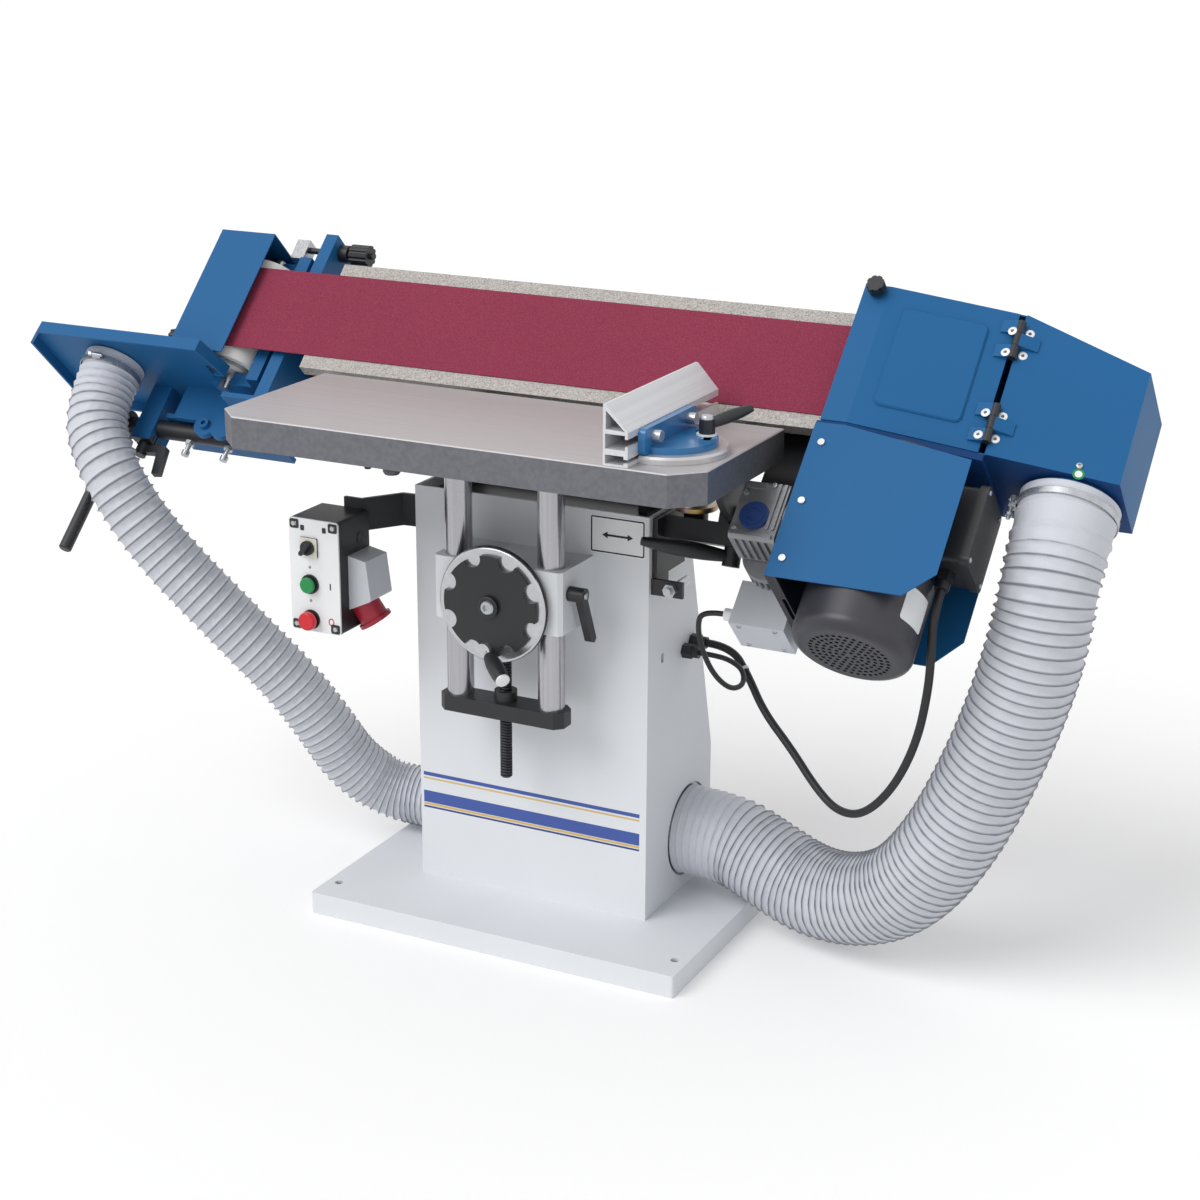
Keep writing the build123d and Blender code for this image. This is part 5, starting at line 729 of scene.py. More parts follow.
@dataclass(frozen=True)
class Spangle(Finish):
    """Galvanised sheet with bright and dark crystals."""

    cells: float = 420.0

    def dress(self, bench: Bench) -> dict[str, Any]:
        """Each crystal has its own tone and roughness, and specks are darker."""
        zinc = self.effect(bench, Effect.SPANGLE, Cells=self.cells)
        body = bench.mix(zinc["Tone"], self.tint(0.6), self.tint(1.35))
        speck = bench.math("MULTIPLY", zinc["Speck"], 0.75)
        return {
            "Base Color": bench.mix(speck, body, self.tint(0.3)),
            "Roughness": self.roughness(bench, zinc["Tone"], 0.12, 0.12, (0.1, 0.9)),
            "Normal": bench.bump(zinc["Height"], 0.0006, 0.6),
            "Metallic": 0.35,
        }


@dataclass(frozen=True)
class Abrasive(Finish):
    """Abrasive cloth: sharp grains, pale and dark, on a coloured resin."""

    tip: str = "c98a9a"

    def dress(self, bench: Bench) -> dict[str, Any]:
        """Cell tones mix dark resin and pale tips, and finer grains raise the normal."""
        skin = self.effect(bench, Effect.CAST, Grain=1500.0, Cloud=4.0)
        spark = self.effect(bench, Effect.SPANGLE, Cells=900.0)
        body = bench.mix(spark["Tone"], self.tint(0.72), self.tint(1.3))
        body = bench.mix(bench.ease(skin["Tone"], 0.35, 0.65, 0.0, 0.35), body, self.tint(0.86))
        speck = bench.math("MULTIPLY", spark["Speck"], 0.2)
        return {
            "Base Color": bench.mix(speck, body, linear(self.tip)),
            "Roughness": self.roughness(bench, spark["Tone"], 0.1, 0.05, (0.0, 1.0)),
            "Normal": bench.bump(skin["Height"], 0.0004, 0.7),
            "Specular IOR Level": 0.15,
        }


@dataclass(frozen=True)
class HoseCloth(Finish):
    """Coated cloth over a wire helix: the ridge attribute darkens the wire's ridges, partly the wire's own
    colour and partly painted shade; noise creases the cloth.
    """

    # Dark colour of the wire's ridges: partly the wire itself, partly painted shade.
    wire: str = "5c606a"

    def dress(self, bench: Bench) -> dict[str, Any]:
        """The wire's ridges are darker, partly the wire's colour and partly painted shade, and the cloth
        between has fine creases and a cloudy tone.
        """
        ridge = bench.add("ShaderNodeAttribute", attribute_name="ridge").outputs["Fac"]
        skin = self.effect(bench, Effect.SKIN, Peel=240.0, Cloud=7.0)
        cloth = bench.mix(skin["Tone"], self.tint(0.9), self.tint(1.1))
        return {
            "Base Color": bench.mix(bench.ease(ridge, 0.7, 0.95, 0.0, 0.8), cloth, linear(self.wire)),
            "Roughness": self.roughness(bench, skin["Tone"], 0.08, 0.08),
            "Normal": bench.bump(skin["Height"], 0.0012, 0.35),
            "Sheen Weight": 0.15,
        }


@dataclass(frozen=True)
class Threaded(Finish):
    """Turned screw thread about a vertical axis, drawn as a helix in the normal and in the colour, which is
    painted shade in the roots and painted highlight on the crests.
    """

    centre: Pair = (0.0, -0.19)
    pitch: float = 0.0045

    def dress(self, bench: Bench) -> dict[str, Any]:
        """Thread phase is height over pitch plus the angle about the axis over a full turn."""
        parts = bench.add("ShaderNodeSeparateXYZ", {0: bench.place()}).outputs
        side = bench.math("SUBTRACT", parts[0], self.centre[0])
        deep = bench.math("SUBTRACT", parts[1], self.centre[1])
        angle = bench.math("DIVIDE", bench.math("ARCTAN2", deep, side), 2 * np.pi)
        turns = bench.math("ADD", bench.math("DIVIDE", parts[2], self.pitch), angle)
        crest = bench.math("PINGPONG", turns, 0.5)
        wear = bench.noise(bench.place(), 300.0)
        return {
            # Darker in the roots and brighter on the crests: painted shade and painted highlight of the
            # thread.
            "Base Color": bench.mix(bench.ease(crest, 0.1, 0.4), self.tint(0.35), self.tint(1.4)),
            "Roughness": self.roughness(bench, wear, 0.0, 0.15),
            "Normal": bench.bump(bench.ease(crest, 0.05, 0.45), 0.0012),
            "Metallic": 0.8,
        }


@dataclass(frozen=True)
class Passivated(Finish):
    """Yellow passivated zinc, whose hue drifts between straw, rose and green."""

    rose: str = "b79aa6"
    green: str = "9aa780"

    def dress(self, bench: Bench) -> dict[str, Any]:
        """Two broad noises mix three hues over a fine grain."""
        skin = self.effect(bench, Effect.SKIN, Peel=1200.0, Cloud=30.0)
        drift = bench.noise(bench.place(), 18.0)
        body = bench.mix(bench.ease(skin["Tone"], 0.35, 0.65), self.tint(), linear(self.rose))
        return {
            "Base Color": bench.mix(bench.ease(drift, 0.5, 0.7, 0.0, 0.5), body, linear(self.green)),
            "Roughness": self.roughness(bench, skin["Height"], 0.05, 0.08),
            "Metallic": 0.85,
        }


BLUE_PAINT = Paint("blue powder coat", "1f6196", 0.46, Slot.BLUE, shine=0.2)
# Painted shade: a darker copy of the blue coat for faces that lie in the drive hood's shadow.
PAINTED_SHADE_BLUE = Paint("blue powder coat with painted shade under the hood", "173f74", 0.5, shine=0.15)
BLUE_CAST = Paint("blue enamelled casting", "1f6fa8", 0.3, peel=160.0, depth=0.0006, coat=0.4)
GREY_PAINT = Paint("pale grey powder coat", "e3e6ea", 0.5, edge=0.15)
BLACK_PAINT = Paint("black powder coat", "26272b", 0.46, edge=0.3)
MOTOR_PAINT = Paint("dark motor enamel", "36363d", 0.36, peel=420.0, depth=0.0002, edge=0.25)

TABLE_GRAIN = (5.0, 1300.0, 1300.0)
FENCE_GRAIN = (900.0, 5.0, 900.0)
ROD_GRAIN = (900.0, 900.0, 9.0)
SHEET_GRAIN = (60.0, 60.0, 500.0)
SCREW_GRAIN = (300.0, 300.0, 300.0)
WHEEL_GRAIN = (500.0, 500.0, 500.0)
MILLED_GRAIN = (700.0, 700.0, 700.0)
TABLE_TOP = Metal("ground iron table top", "bfbcbd", 0.4, lines=TABLE_GRAIN, spread=0.06, metallic=0.35)
TABLE_SIDE = Metal("milled iron table side", "727379", 0.42, lines=MILLED_GRAIN, spread=0.1, metallic=0.5)
GROUND_STEEL = Metal("ground steel rod", "b9b9bd", 0.22, lines=ROD_GRAIN, spread=0.08, metallic=0.9)
DARK_STEEL = Metal("oiled steel", "5c5d62", 0.38, Slot.STEEL, metallic=0.85)
ZINC_SHEET = Metal("zinc plated sheet", "b4b6ba", 0.36, lines=SHEET_GRAIN, metallic=0.8)
WHITE_ZINC = Metal(
    "white zinc rivet", "eceef0", 0.38, Slot.ZINC, lines=SCREW_GRAIN, spread=0.05, metallic=0.3,
)
BRIGHT_ZINC = Metal(
    "bright zinc screw", "bcbfc3", 0.3, Slot.ZINC, SCREW_GRAIN, depth=0.000008, spread=0.1, metallic=0.75,
)
CHROME = Metal("bright turned wheel", "c9cace", 0.2, lines=WHEEL_GRAIN, spread=0.05, metallic=0.85)
ALUMINIUM = Metal("drawn aluminium", "dcdde0", 0.4, lines=FENCE_GRAIN, spread=0.05, metallic=0.4)

TABLE_UNDER = Cast("rough iron under the table", "54555a", 0.62, metallic=0.3)
PALE_CAST = Cast("pale machined casting", "cfcecf", 0.4, grain=700.0, depth=0.00015, spread=0.1)
GEAR_CAST = Cast("die cast aluminium", "9fa0a4", 0.46, Slot.ZINC, grain=320.0, metallic=0.55, spread=0.2)
SPANGLE = Spangle("hammered zinc platen", "aba6a1", 0.45)
YELLOW_ZINC = Passivated("yellow passivated zinc", "b59a58", 0.36)
SCREW_THREAD = Threaded("black lift screw thread", "3a3b40", 0.36)
ABRASIVE = Abrasive("red abrasive cloth", "90374f", 0.82)
HOSE_CLOTH = HoseCloth("grey hose cloth", "ced1d9", 0.5, Slot.HOSE)

BLACK_PLASTIC = Moulded("black moulded plastic", "232428", 0.42, Slot.BLACK)
GREY_PLASTIC = Moulded("pale grey moulded plastic", "c9cdd3", 0.44, edge=0.1)
WHITE_PLASTIC = Moulded("white moulded plastic", "eceef0", 0.4, Slot.WHITE, edge=0.05)
CREAM_PLASTIC = Moulded("cream moulded plastic", "e5e2d2", 0.42, edge=0.05)
RED_PLASTIC = Moulded("red moulded plastic", "d3202f", 0.3, Slot.RED, edge=0.1)
DEEP_RED_PLASTIC = Moulded("deep red socket plastic", "a51d33", 0.36, edge=0.1)
GREEN_PLASTIC = Moulded("green moulded plastic", "178a47", 0.3, Slot.GREEN, edge=0.1)
BLUE_PLASTIC = Moulded("blue moulded cap", "2c4a86", 0.38, edge=0.2)
DRUM_RUBBER = Moulded("pale drum facing", "e3e3e0", 0.5, edge=0.05)
CABLE_RUBBER = Moulded("black cable sheath", "1f2023", 0.5, Slot.CABLE, grain=900.0, edge=0.0)
STRIPE_BLUE = Moulded("blue printed stripe", "3f58a4", 0.4, Slot.WHITE, edge=0.0)
STRIPE_DARK = Moulded("dark blue printed stripe", "2d3f83", 0.4, Slot.WHITE, edge=0.0)
STRIPE_GOLD = Moulded("gold printed stripe", "d6b56a", 0.4, Slot.WHITE, edge=0.0)
PRINT_BLACK = Moulded("black print", "1b1b1e", 0.45, Slot.BLACK, edge=0.0)
PRINT_WHITE = Moulded("white label stock", "eff0f1", 0.45, Slot.WHITE, edge=0.0)
PRINT_GREY = Moulded("grey print", "8d9096", 0.45, Slot.WHITE, edge=0.0)


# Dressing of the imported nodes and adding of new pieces


@dataclass
class Facets:
    """Middles and directions of a node's faces, in millimetres, in the object's and the unit's frames."""

    x: Array
    y: Array
    z: Array
    w: Array
    n: Array
    out: Array

    @classmethod
    def of(cls, mesh: Mesh) -> "Facets":
        """Reads a mesh's faces."""
        middle = np.zeros(len(mesh.polygons) * 3)
        normal = np.zeros(len(mesh.polygons) * 3)
        mesh.polygons.foreach_get("center", middle)
        mesh.polygons.foreach_get("normal", normal)
        middle = middle.reshape(-1, 3) / MM
        shifted = middle - UNIT_ORIGIN
        return cls(*middle.T, shifted @ UNIT_W, shifted @ UNIT_N, normal.reshape(-1, 3))


Test = Callable[[Facets], Array]


def coat(node: str, base: Finish, *others: tuple[Finish, Test]) -> None:
    """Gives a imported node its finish, and other finishes to the faces that pass a test.

    Args:
        node: The node's name.
        base: The finish of the whole node.
        others: Finishes with a test on the faces that take them.
    """
    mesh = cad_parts[node].data
    mesh.materials.clear()
    mesh.materials.append(base.material())
    index = np.zeros(len(mesh.polygons), np.int32)
    facets = Facets.of(mesh)
    for number, (finish, test) in enumerate(others, 1):
        mesh.materials.append(finish.material())
        index[test(facets)] = number
    mesh.polygons.foreach_set("material_index", index)
    mesh.update()
    LOG.info("dressed %s in %s", node, base.label)


def coat_all(finish: Finish, *nodes: str) -> None:
    """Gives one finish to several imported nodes."""
    for node in nodes:
        coat(node, finish)


def add_object(name: str, data: Any) -> Object:
    """Makes an object at the origin and puts it into the scene."""
    made = bpy.data.objects.new(name, data)
    bpy.context.scene.collection.objects.link(made)
    return made


def add_piece(name: str, mesh: Mesh, finish: Finish, body: Body | None) -> Object:
    """Adds a new piece at the origin, dressed, and lets it ride on a body.

    Args:
        name: Name of the piece.
        mesh: Its mesh in metres.
        finish: Its finish.
        body: The body that carries it, or None for a piece that rides on no body.

    Returns:
        The object.
    """
    piece = add_object(name, mesh)
    mesh.materials.append(finish.material())
    if body is not None:
        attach(piece, body.value)
    LOG.info("made %s, %d faces", name, len(mesh.polygons))
    return piece


def fit(
    name: str, grids: Sequence[Array], finish: Finish, body: Body | None, wrap_rows: bool = False,
) -> Object:
    """Makes one piece from grids and adds it."""
    return add_piece(name, make_mesh(name, grids, wrap_rows), finish, body)


# Studio


@dataclass
class Studio:
    """Camera, floor and light."""

    place: Point = (1.552, -2.981, 1.585)
    yaw: float = 26.6
    pitch: float = 18.15
    roll: float = -0.28
    lens: float = 69.3
    sensor: float = 36.0
    farthest: float = 200.0
    floor_reach: float = 60.0
    floor_height: float = -0.0004
    floor_tone: float = 0.94
    floor_mirrored: float = 0.9
    floor_lift: float = 0.14
    ambient: float = 0.62
    sun: float = 1.45
    sun_spread: float = 40.0
    sun_from: Point = (-0.45, -0.8, 0.95)
    sun_distance: float = 6.0

    def build(self) -> None:
        """Makes the whole studio."""
        self.set_camera()
        self.set_floor()
        self.set_world()
        self.set_sun()
        bpy.context.scene.view_settings.view_transform = "Standard"

    @staticmethod
    def aim(thing: Object, side: Array, up: Array, back: Array, place: Any) -> None:
        """Gives an object its own three directions and its place."""
        turn = np.eye(4)
        turn[:3] = np.stack([side, up, back, np.array(place)], 1)
        thing.matrix_world = Matrix(turn.tolist())

    def set_camera(self) -> None:
        """Looks from the front right, down on the table, with a slight roll."""
        yaw, pitch, roll = radians(self.yaw), radians(self.pitch), radians(self.roll)
        ahead = np.array([-sin(yaw) * cos(pitch), cos(yaw) * cos(pitch), -sin(pitch)])
        right = np.array([cos(yaw), sin(yaw), 0.0])
        down = np.cross(ahead, right)
        side = cos(roll) * right + sin(roll) * down
        low = -sin(roll) * right + cos(roll) * down
        data = bpy.data.cameras.new("camera")
        data.lens = self.lens
        data.sensor_width = self.sensor
        data.clip_end = self.farthest
        camera = add_object("camera", data)
        self.aim(camera, side, -low, -ahead, self.place)
        bpy.context.scene.camera = camera

    def set_floor(self) -> None:
        """A wide pale floor: it keeps the shadow, and bright metal sees it as white."""
        mesh = bpy.data.meshes.new("floor")
        signs = ((-1, -1), (1, -1), (1, 1), (-1, 1))
        corners = [(x * self.floor_reach, y * self.floor_reach, self.floor_height) for x, y in signs]
        mesh.from_pydata(corners, [], [(0, 1, 2, 3)])
        floor = add_object("floor", mesh)
        material = bpy.data.materials.new("pale floor")
        bench = Bench.cleared(material)
        path = bench.add("ShaderNodeLightPath").outputs
        seen = bench.math("MAXIMUM", path["Is Glossy Ray"], path["Is Transmission Ray"])
        matt = bench.add("ShaderNodeBsdfDiffuse", {"Color": (*[self.floor_tone] * 3, 1.0)})
        white = bench.add("ShaderNodeEmission", {"Strength": self.floor_mirrored})
        both = bench.add("ShaderNodeMixShader", {0: seen, 1: matt.outputs[0], 2: white.outputs[0]})
        lift = bench.math("MULTIPLY", path["Is Camera Ray"], self.floor_lift)
        glow = bench.add("ShaderNodeEmission", {"Strength": lift})
        whole = bench.add("ShaderNodeAddShader", {0: both.outputs[0], 1: glow.outputs[0]})
        bench.add("ShaderNodeOutputMaterial", {"Surface": whole.outputs[0]})
        mesh.materials.append(material)

    def set_world(self) -> None:
        """White to the camera and to bright metal, and a softer level for the light itself."""
        world = bpy.data.worlds.new("studio")
        bench = Bench.cleared(world)
        path = bench.add("ShaderNodeLightPath").outputs
        seen = bench.math("MAXIMUM", path["Is Camera Ray"], path["Is Glossy Ray"])
        seen = bench.math("MAXIMUM", seen, path["Is Transmission Ray"])
        white = (1.0, 1.0, 1.0, 1.0)
        soft, full = (
            bench.add("ShaderNodeBackground", {"Color": white, "Strength": level}).outputs[0]
            for level in (self.ambient, 1.0)
        )
        both = bench.add("ShaderNodeMixShader", {0: seen, 1: soft, 2: full})
        bench.add("ShaderNodeOutputWorld", {"Surface": both.outputs[0]})
        bpy.context.scene.world = world

    def set_sun(self) -> None:
        """One broad sun from the front left."""
        data = bpy.data.lights.new("soft sun", "SUN")
        data.energy = self.sun
        data.angle = radians(self.sun_spread)
        toward = normed(self.sun_from)
        side = normed(np.cross(UP, toward))
        sun = add_object("soft sun", data)
        self.aim(sun, side, np.cross(toward, side), toward, toward * self.sun_distance)


# Hoses and cables


@dataclass
class Route:
    """A hose's or cable's route: the control points of its smooth line, in metres."""

    name: str
    points: Sequence[Point]
    reference: Point = BACK

    def line(self) -> Array:
        """Points read from the route's own spline."""
        curve = bpy.data.curves.new(self.name, "CURVE")
        curve.dimensions = "3D"
        curve.resolution_u = 24
        spline = curve.splines.new("NURBS")
        spline.points.add(len(self.points) - 1)
        weighted = np.concatenate([np.array(self.points, float), np.ones((len(self.points), 1))], 1)
        spline.points.foreach_set("co", weighted.reshape(-1))
        spline.order_u = 3
        spline.use_endpoint_u = True
        holder = bpy.data.objects.new(self.name + ".line", curve)
        mesh = bpy.data.meshes.new_from_object(holder)
        flat = np.zeros(len(mesh.vertices) * 3)
        mesh.vertices.foreach_get("co", flat)
        bpy.data.meshes.remove(mesh)
        bpy.data.objects.remove(holder)
        bpy.data.curves.remove(curve)
        return flat.reshape(-1, 3)

    def rings(self, line: Array, run: Array, around: int) -> tuple[Array, Array, Array]:
        """Angles, middles and outward directions of a tube at given distances along its line.

        Side is the line's direction crossed with the reference, lift is side crossed with it, and the
        outward direction at an angle a is side cos a + lift sin a.

        Args:
            line: Points of the line.
            run: Distances along it.
            around: Points round the tube.

        Returns:
            Angles as (around,), middles as (rows, 3) and directions as (rows, around, 3).
        """
        along = running_length(line)
        heading = np.gradient(line, along, axis=0)
        middle = np.stack([np.interp(run, along, values) for values in line.T], -1)
        ahead = normed(np.stack([np.interp(run, along, values) for values in heading.T], -1))
        side = normed(np.cross(ahead, np.array(self.reference)))
        lift = np.cross(side, ahead)
        angle = np.linspace(0.0, 2.0 * np.pi, around, endpoint=False)
        ring = side[:, None] * np.cos(angle)[:, None] + lift[:, None] * np.sin(angle)[:, None]
        return angle, middle, ring


@dataclass
class SoftLine:
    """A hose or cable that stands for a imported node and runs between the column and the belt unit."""

    route: Route
    node: str
    start: Point
    end: Point

    def hang(self, piece: Object) -> None:
        """Bakes the piece's place into its mesh."""
        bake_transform(piece)


@dataclass
class RibbedHose(SoftLine):
    """A cloth hose over a wire helix."""

    radius: float
    bore: float
    dip: float
    pitch: Sequence[Pair]
    around: int
    settled: float
    declared: bool = True
    rows: int = 14
    drift: Sequence[Point] = ((0.07, 71.0, 0.0), (0.06, 157.0, 1.3))
    wire_share: float = 0.65
    crease: float = 0.0018
    crease_end: float = 0.09
    crease_waves: Sequence[Point] = ((7.0, 3.7, 0.0), (11.0, -2.1, 0.7))
    rim_run: float = 0.04
    to_rim: tuple[Point, Point] = ((0.0135, 0.0, 0.0), (0.0, 0.0, -0.0135))

    def wind(self, length: float) -> tuple[Array, Array]:
        """Winds the wire along the hose.

        Turns of wire are the running sum of distance over the pitch at that distance, and the pitch
        drifts by two sines.

        Args:
            length: Length of the hose.

        Returns:
            Turns of wire at each row, and the rows' distances along the hose.
        """
        fine = np.linspace(0.0, length, 4000)
        knots = np.array(self.pitch, float)
        drift = sum(share * np.sin(fine * waves + phase) for share, waves, phase in self.drift)
        spacing = np.interp(fine, knots[:, 0] * length, knots[:, 1]) * (1.0 + drift)
        turns = np.concatenate([[0.0], np.cumsum(np.diff(fine) / spacing[:-1])])
        wanted = np.linspace(0.0, turns[-1], int(turns[-1] * self.rows))
        return wanted, np.interp(wanted, turns, fine)

    def form(self, turn: Array, angle: Array, near_end: Array) -> tuple[Array, Array]:
        """Works out the outer wall's radius.

        With f the fraction of t + a / 360 at a turn t and an angle a, and g = |2 f - 1|, the radius is
        the hose's own less dip (1 - s g ^ 8 - (1 - s) g ^ 2), where s is the wire's share: a narrow
        ridge on the wire and cloth that sags between. Creases take away (1 - g ^ 2) times a product of
        two slanted sines, raised above zero. All of it fades out towards the hose's ends.

        Args:
            turn: Turns of wire as (rows, 1).
            angle: Angles round the hose.
            near_end: Distances to the nearer end as (rows, 1).

        Returns:
            The radius and the height of the ridge, each as (rows, angles).
        """
        sharp = np.abs(2.0 * np.mod(turn + angle / (2.0 * np.pi), 1.0) - 1.0)
        ridge = self.wire_share * sharp ** 8 + (1.0 - self.wire_share) * sharp ** 2
        waves = [np.sin(times * angle + slant * turn + phase) for times, slant, phase in self.crease_waves]
        creases = self.crease * (1.0 - sharp ** 2) * (0.5 + 0.5 * np.prod(waves, 0))
        creases = creases * np.clip(near_end / self.crease_end, 0.0, 1.0)
        fade = np.sqrt(np.clip(near_end / self.settled, 0.0, 1.0))
        return self.radius - (self.dip * (1.0 - ridge) + creases) * fade, sharp * fade

    def held_path(self, middle: Array, run: Array, length: float) -> Array:
        """The hose's middle line, drawn near each end from the bore's middle to the wall that holds it."""
        first = np.clip(1.0 - run / self.rim_run, 0.0, 1.0)[:, None] * np.array(self.to_rim[0])
        last = np.clip(1.0 - (length - run) / self.rim_run, 0.0, 1.0)[:, None] * np.array(self.to_rim[1])
        return middle + first + last

    def build(self) -> Object:
        """Makes the hose's wall as one closed surface: the formed outer wall and a plain inner one.

        Returns:
            The hose.
        """
        line = self.route.line()
        length = running_length(line)[-1]
        turn, run = self.wind(length)
        angle, middle, ring = self.route.rings(line, run, self.around)
        radius, ridge = self.form(turn[:, None], angle, np.minimum(run, length - run)[:, None])
        outer = middle[:, None] + radius[..., None] * ring
        inside = slice(None, None, -self.rows)
        inner = middle[inside, None] + self.bore * ring[inside]
        last = middle[:1, None] + self.bore * ring[:1]
        grid = np.concatenate([outer, inner, last])
        mesh = make_mesh(self.route.name, [grid], True, merge=False, smooth=75.0)
        ridge = np.concatenate([ridge, np.zeros((len(inner) + 1, self.around))])
        mesh.attributes.new("ridge", "FLOAT", "POINT").data.foreach_set("value", ridge.reshape(-1))
        hose = add_piece(self.route.name, mesh, HOSE_CLOTH, None)
        self.hang(hose)
        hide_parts(self.node)
        return hose


@dataclass
class Cable(SoftLine):
    """A round rubber cable."""

    diameter: float
    tie_near: Point | None = None
    around: int = 18
    step: float = 0.0035
    band_half: float = 2.4

    def tie(self, line: Array) -> list[Object]:
        """A white cable tie: a flat band turned about the cable where it passes a point, and its head.

        Args:
            line: Points of the cable's line.

        Returns:
            The band and its head.
        """
        spot = int(np.argmin(np.linalg.norm(line - np.array(self.tie_near), axis=1)))
        seat = aimed_seat(line[spot] / MM, line[spot + 1] - line[spot - 1])
        inner = self.diameter / MM / 2
        half = self.band_half
        band = [
            (inner - 0.3, -half), (inner + 1.1, -half), (inner + 1.3, 0.0),
            (inner + 1.1, half), (inner - 0.3, half),
        ]
        place = seat.place(np.array([inner, 0.0, 0.0])) / MM
        head = Seat(tuple(place), tuple(np.cross(seat.across, seat.up)), seat.up)
        name = self.route.name
        pieces = [
            fit(name + "_tie", [turned(seat, band)], WHITE_PLASTIC, None, True),
            fit(name + "_tie_head", [plate(head, 6.0, 7.0, 5.0, 1.0, 0.8)], WHITE_PLASTIC, None),
        ]
        for piece in pieces:
            self.hang(piece)
        return pieces

    def build(self) -> Object:
        """Carries a circle along the route's line and draws each end in to its middle.

        Returns:
            The cable.
        """
        line = self.route.line()
        length = running_length(line)[-1]
        run = np.linspace(0.0, length, int(length / self.step))
        _, middle, ring = self.route.rings(line, run, self.around)
        wall = middle[:, None] + self.diameter / 2 * ring
        ends = np.repeat(middle[[0, -1], None], self.around, 1)
        cable = fit(self.route.name, [np.concatenate([ends[:1], wall, ends[1:]])], CABLE_RUBBER, None)
        self.hang(cable)
        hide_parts(self.node)
        self.tie(line) if self.tie_near else []
        return cable


@dataclass
class Lines:
    """All the hoses and cables."""

    right: Sequence[Point] = (
        (0.770, 0.0038, 0.7336), (0.770, -0.0641, 0.6657), (0.763, -0.084, 0.560), (0.735, -0.080, 0.450),
        (0.695, -0.070, 0.340), (0.647, -0.056, 0.235), (0.583, -0.038, 0.142), (0.505, -0.018, 0.094),
        (0.420, 0.004, 0.082), (0.338, 0.022, 0.106), (0.268, 0.038, 0.128), (0.196, 0.038, 0.128),
    )
    left: Sequence[Point] = (
        (-0.806, -0.0365, 0.7767), (-0.806, -0.1037, 0.7095), (-0.748, -0.146, 0.638),
        (-0.705, -0.143, 0.570), (-0.655, -0.127, 0.499), (-0.594, -0.106, 0.430), (-0.529, -0.082, 0.357),
        (-0.471, -0.056, 0.288), (-0.425, -0.034, 0.216), (-0.391, -0.010, 0.145), (-0.340, 0.024, 0.096),
        (-0.268, 0.038, 0.088), (-0.196, 0.038, 0.088),
    )
    motor: Sequence[Point] = (
        (0.648, -0.1618, 0.6418), (0.648, -0.1915, 0.6121), (0.646, -0.184, 0.560), (0.636, -0.158, 0.497),
        (0.618, -0.140, 0.412), (0.581, -0.120, 0.329), (0.530, -0.096, 0.268), (0.483, -0.076, 0.256),
        (0.441, -0.058, 0.279), (0.394, -0.038, 0.323), (0.339, -0.016, 0.365), (0.300, 0.014, 0.406),
        (0.262, 0.039, 0.437), (0.221, 0.039, 0.437),
    )
    gear: Sequence[Point] = (
        (0.330, -0.1469, 0.5547), (0.294, -0.1469, 0.5547), (0.278, -0.126, 0.522), (0.279, -0.108, 0.478),
        (0.290, -0.090, 0.438), (0.306, -0.066, 0.411), (0.315, -0.038, 0.410), (0.304, -0.014, 0.424),
        (0.276, 0.002, 0.430), (0.248, 0.011, 0.430), (0.221, 0.011, 0.430),
    )
    right_pitch: Sequence[Pair] = (
        (0.0, 0.007), (0.02, 0.007), (0.025, 0.03), (0.06, 0.03), (0.07, 0.015), (0.5, 0.0165),
        (0.62, 0.0125), (1.0, 0.0125),
    )
    left_pitch: Sequence[Pair] = (
        (0.0, 0.012), (0.04, 0.012), (0.1, 0.0185), (0.4, 0.0165), (0.65, 0.0145), (0.85, 0.0115),
        (1.0, 0.0105),
    )

    def build(self) -> None:
        """Makes both hoses and both cables."""
        RibbedHose(
            Route("right_dust_hose", self.right), "right_hose", (0.23, 0.038, 0.11), (0.77, -0.02, 0.69),
            radius=0.070, bore=0.062, dip=0.0046, pitch=self.right_pitch, around=64, settled=0.1,
            declared=False,
        ).build()
        RibbedHose(
            Route("left_dust_hose", self.left), "left_hose", (-0.23, 0.038, 0.088), (-0.80, -0.08, 0.73),
            radius=0.050, bore=0.0425, dip=0.0044, pitch=self.left_pitch, around=60, settled=0.08,
        ).build()
        Cable(
            Route("motor_lead", self.motor, (0.25, 0.95, 0.2)), "motor_cable", (0.25, 0.04, 0.43),
            (0.648, -0.18, 0.62), diameter=0.012, tie_near=(0.290, 0.018, 0.412),
        ).build()
        Cable(
            Route("gear_motor_lead", self.gear, (0.8, -0.1, 0.6)), "gear_cable", (0.24, 0.011, 0.43),
            (0.32, -0.147, 0.555), diameter=0.008,
        ).build()


# Sub-assemblies


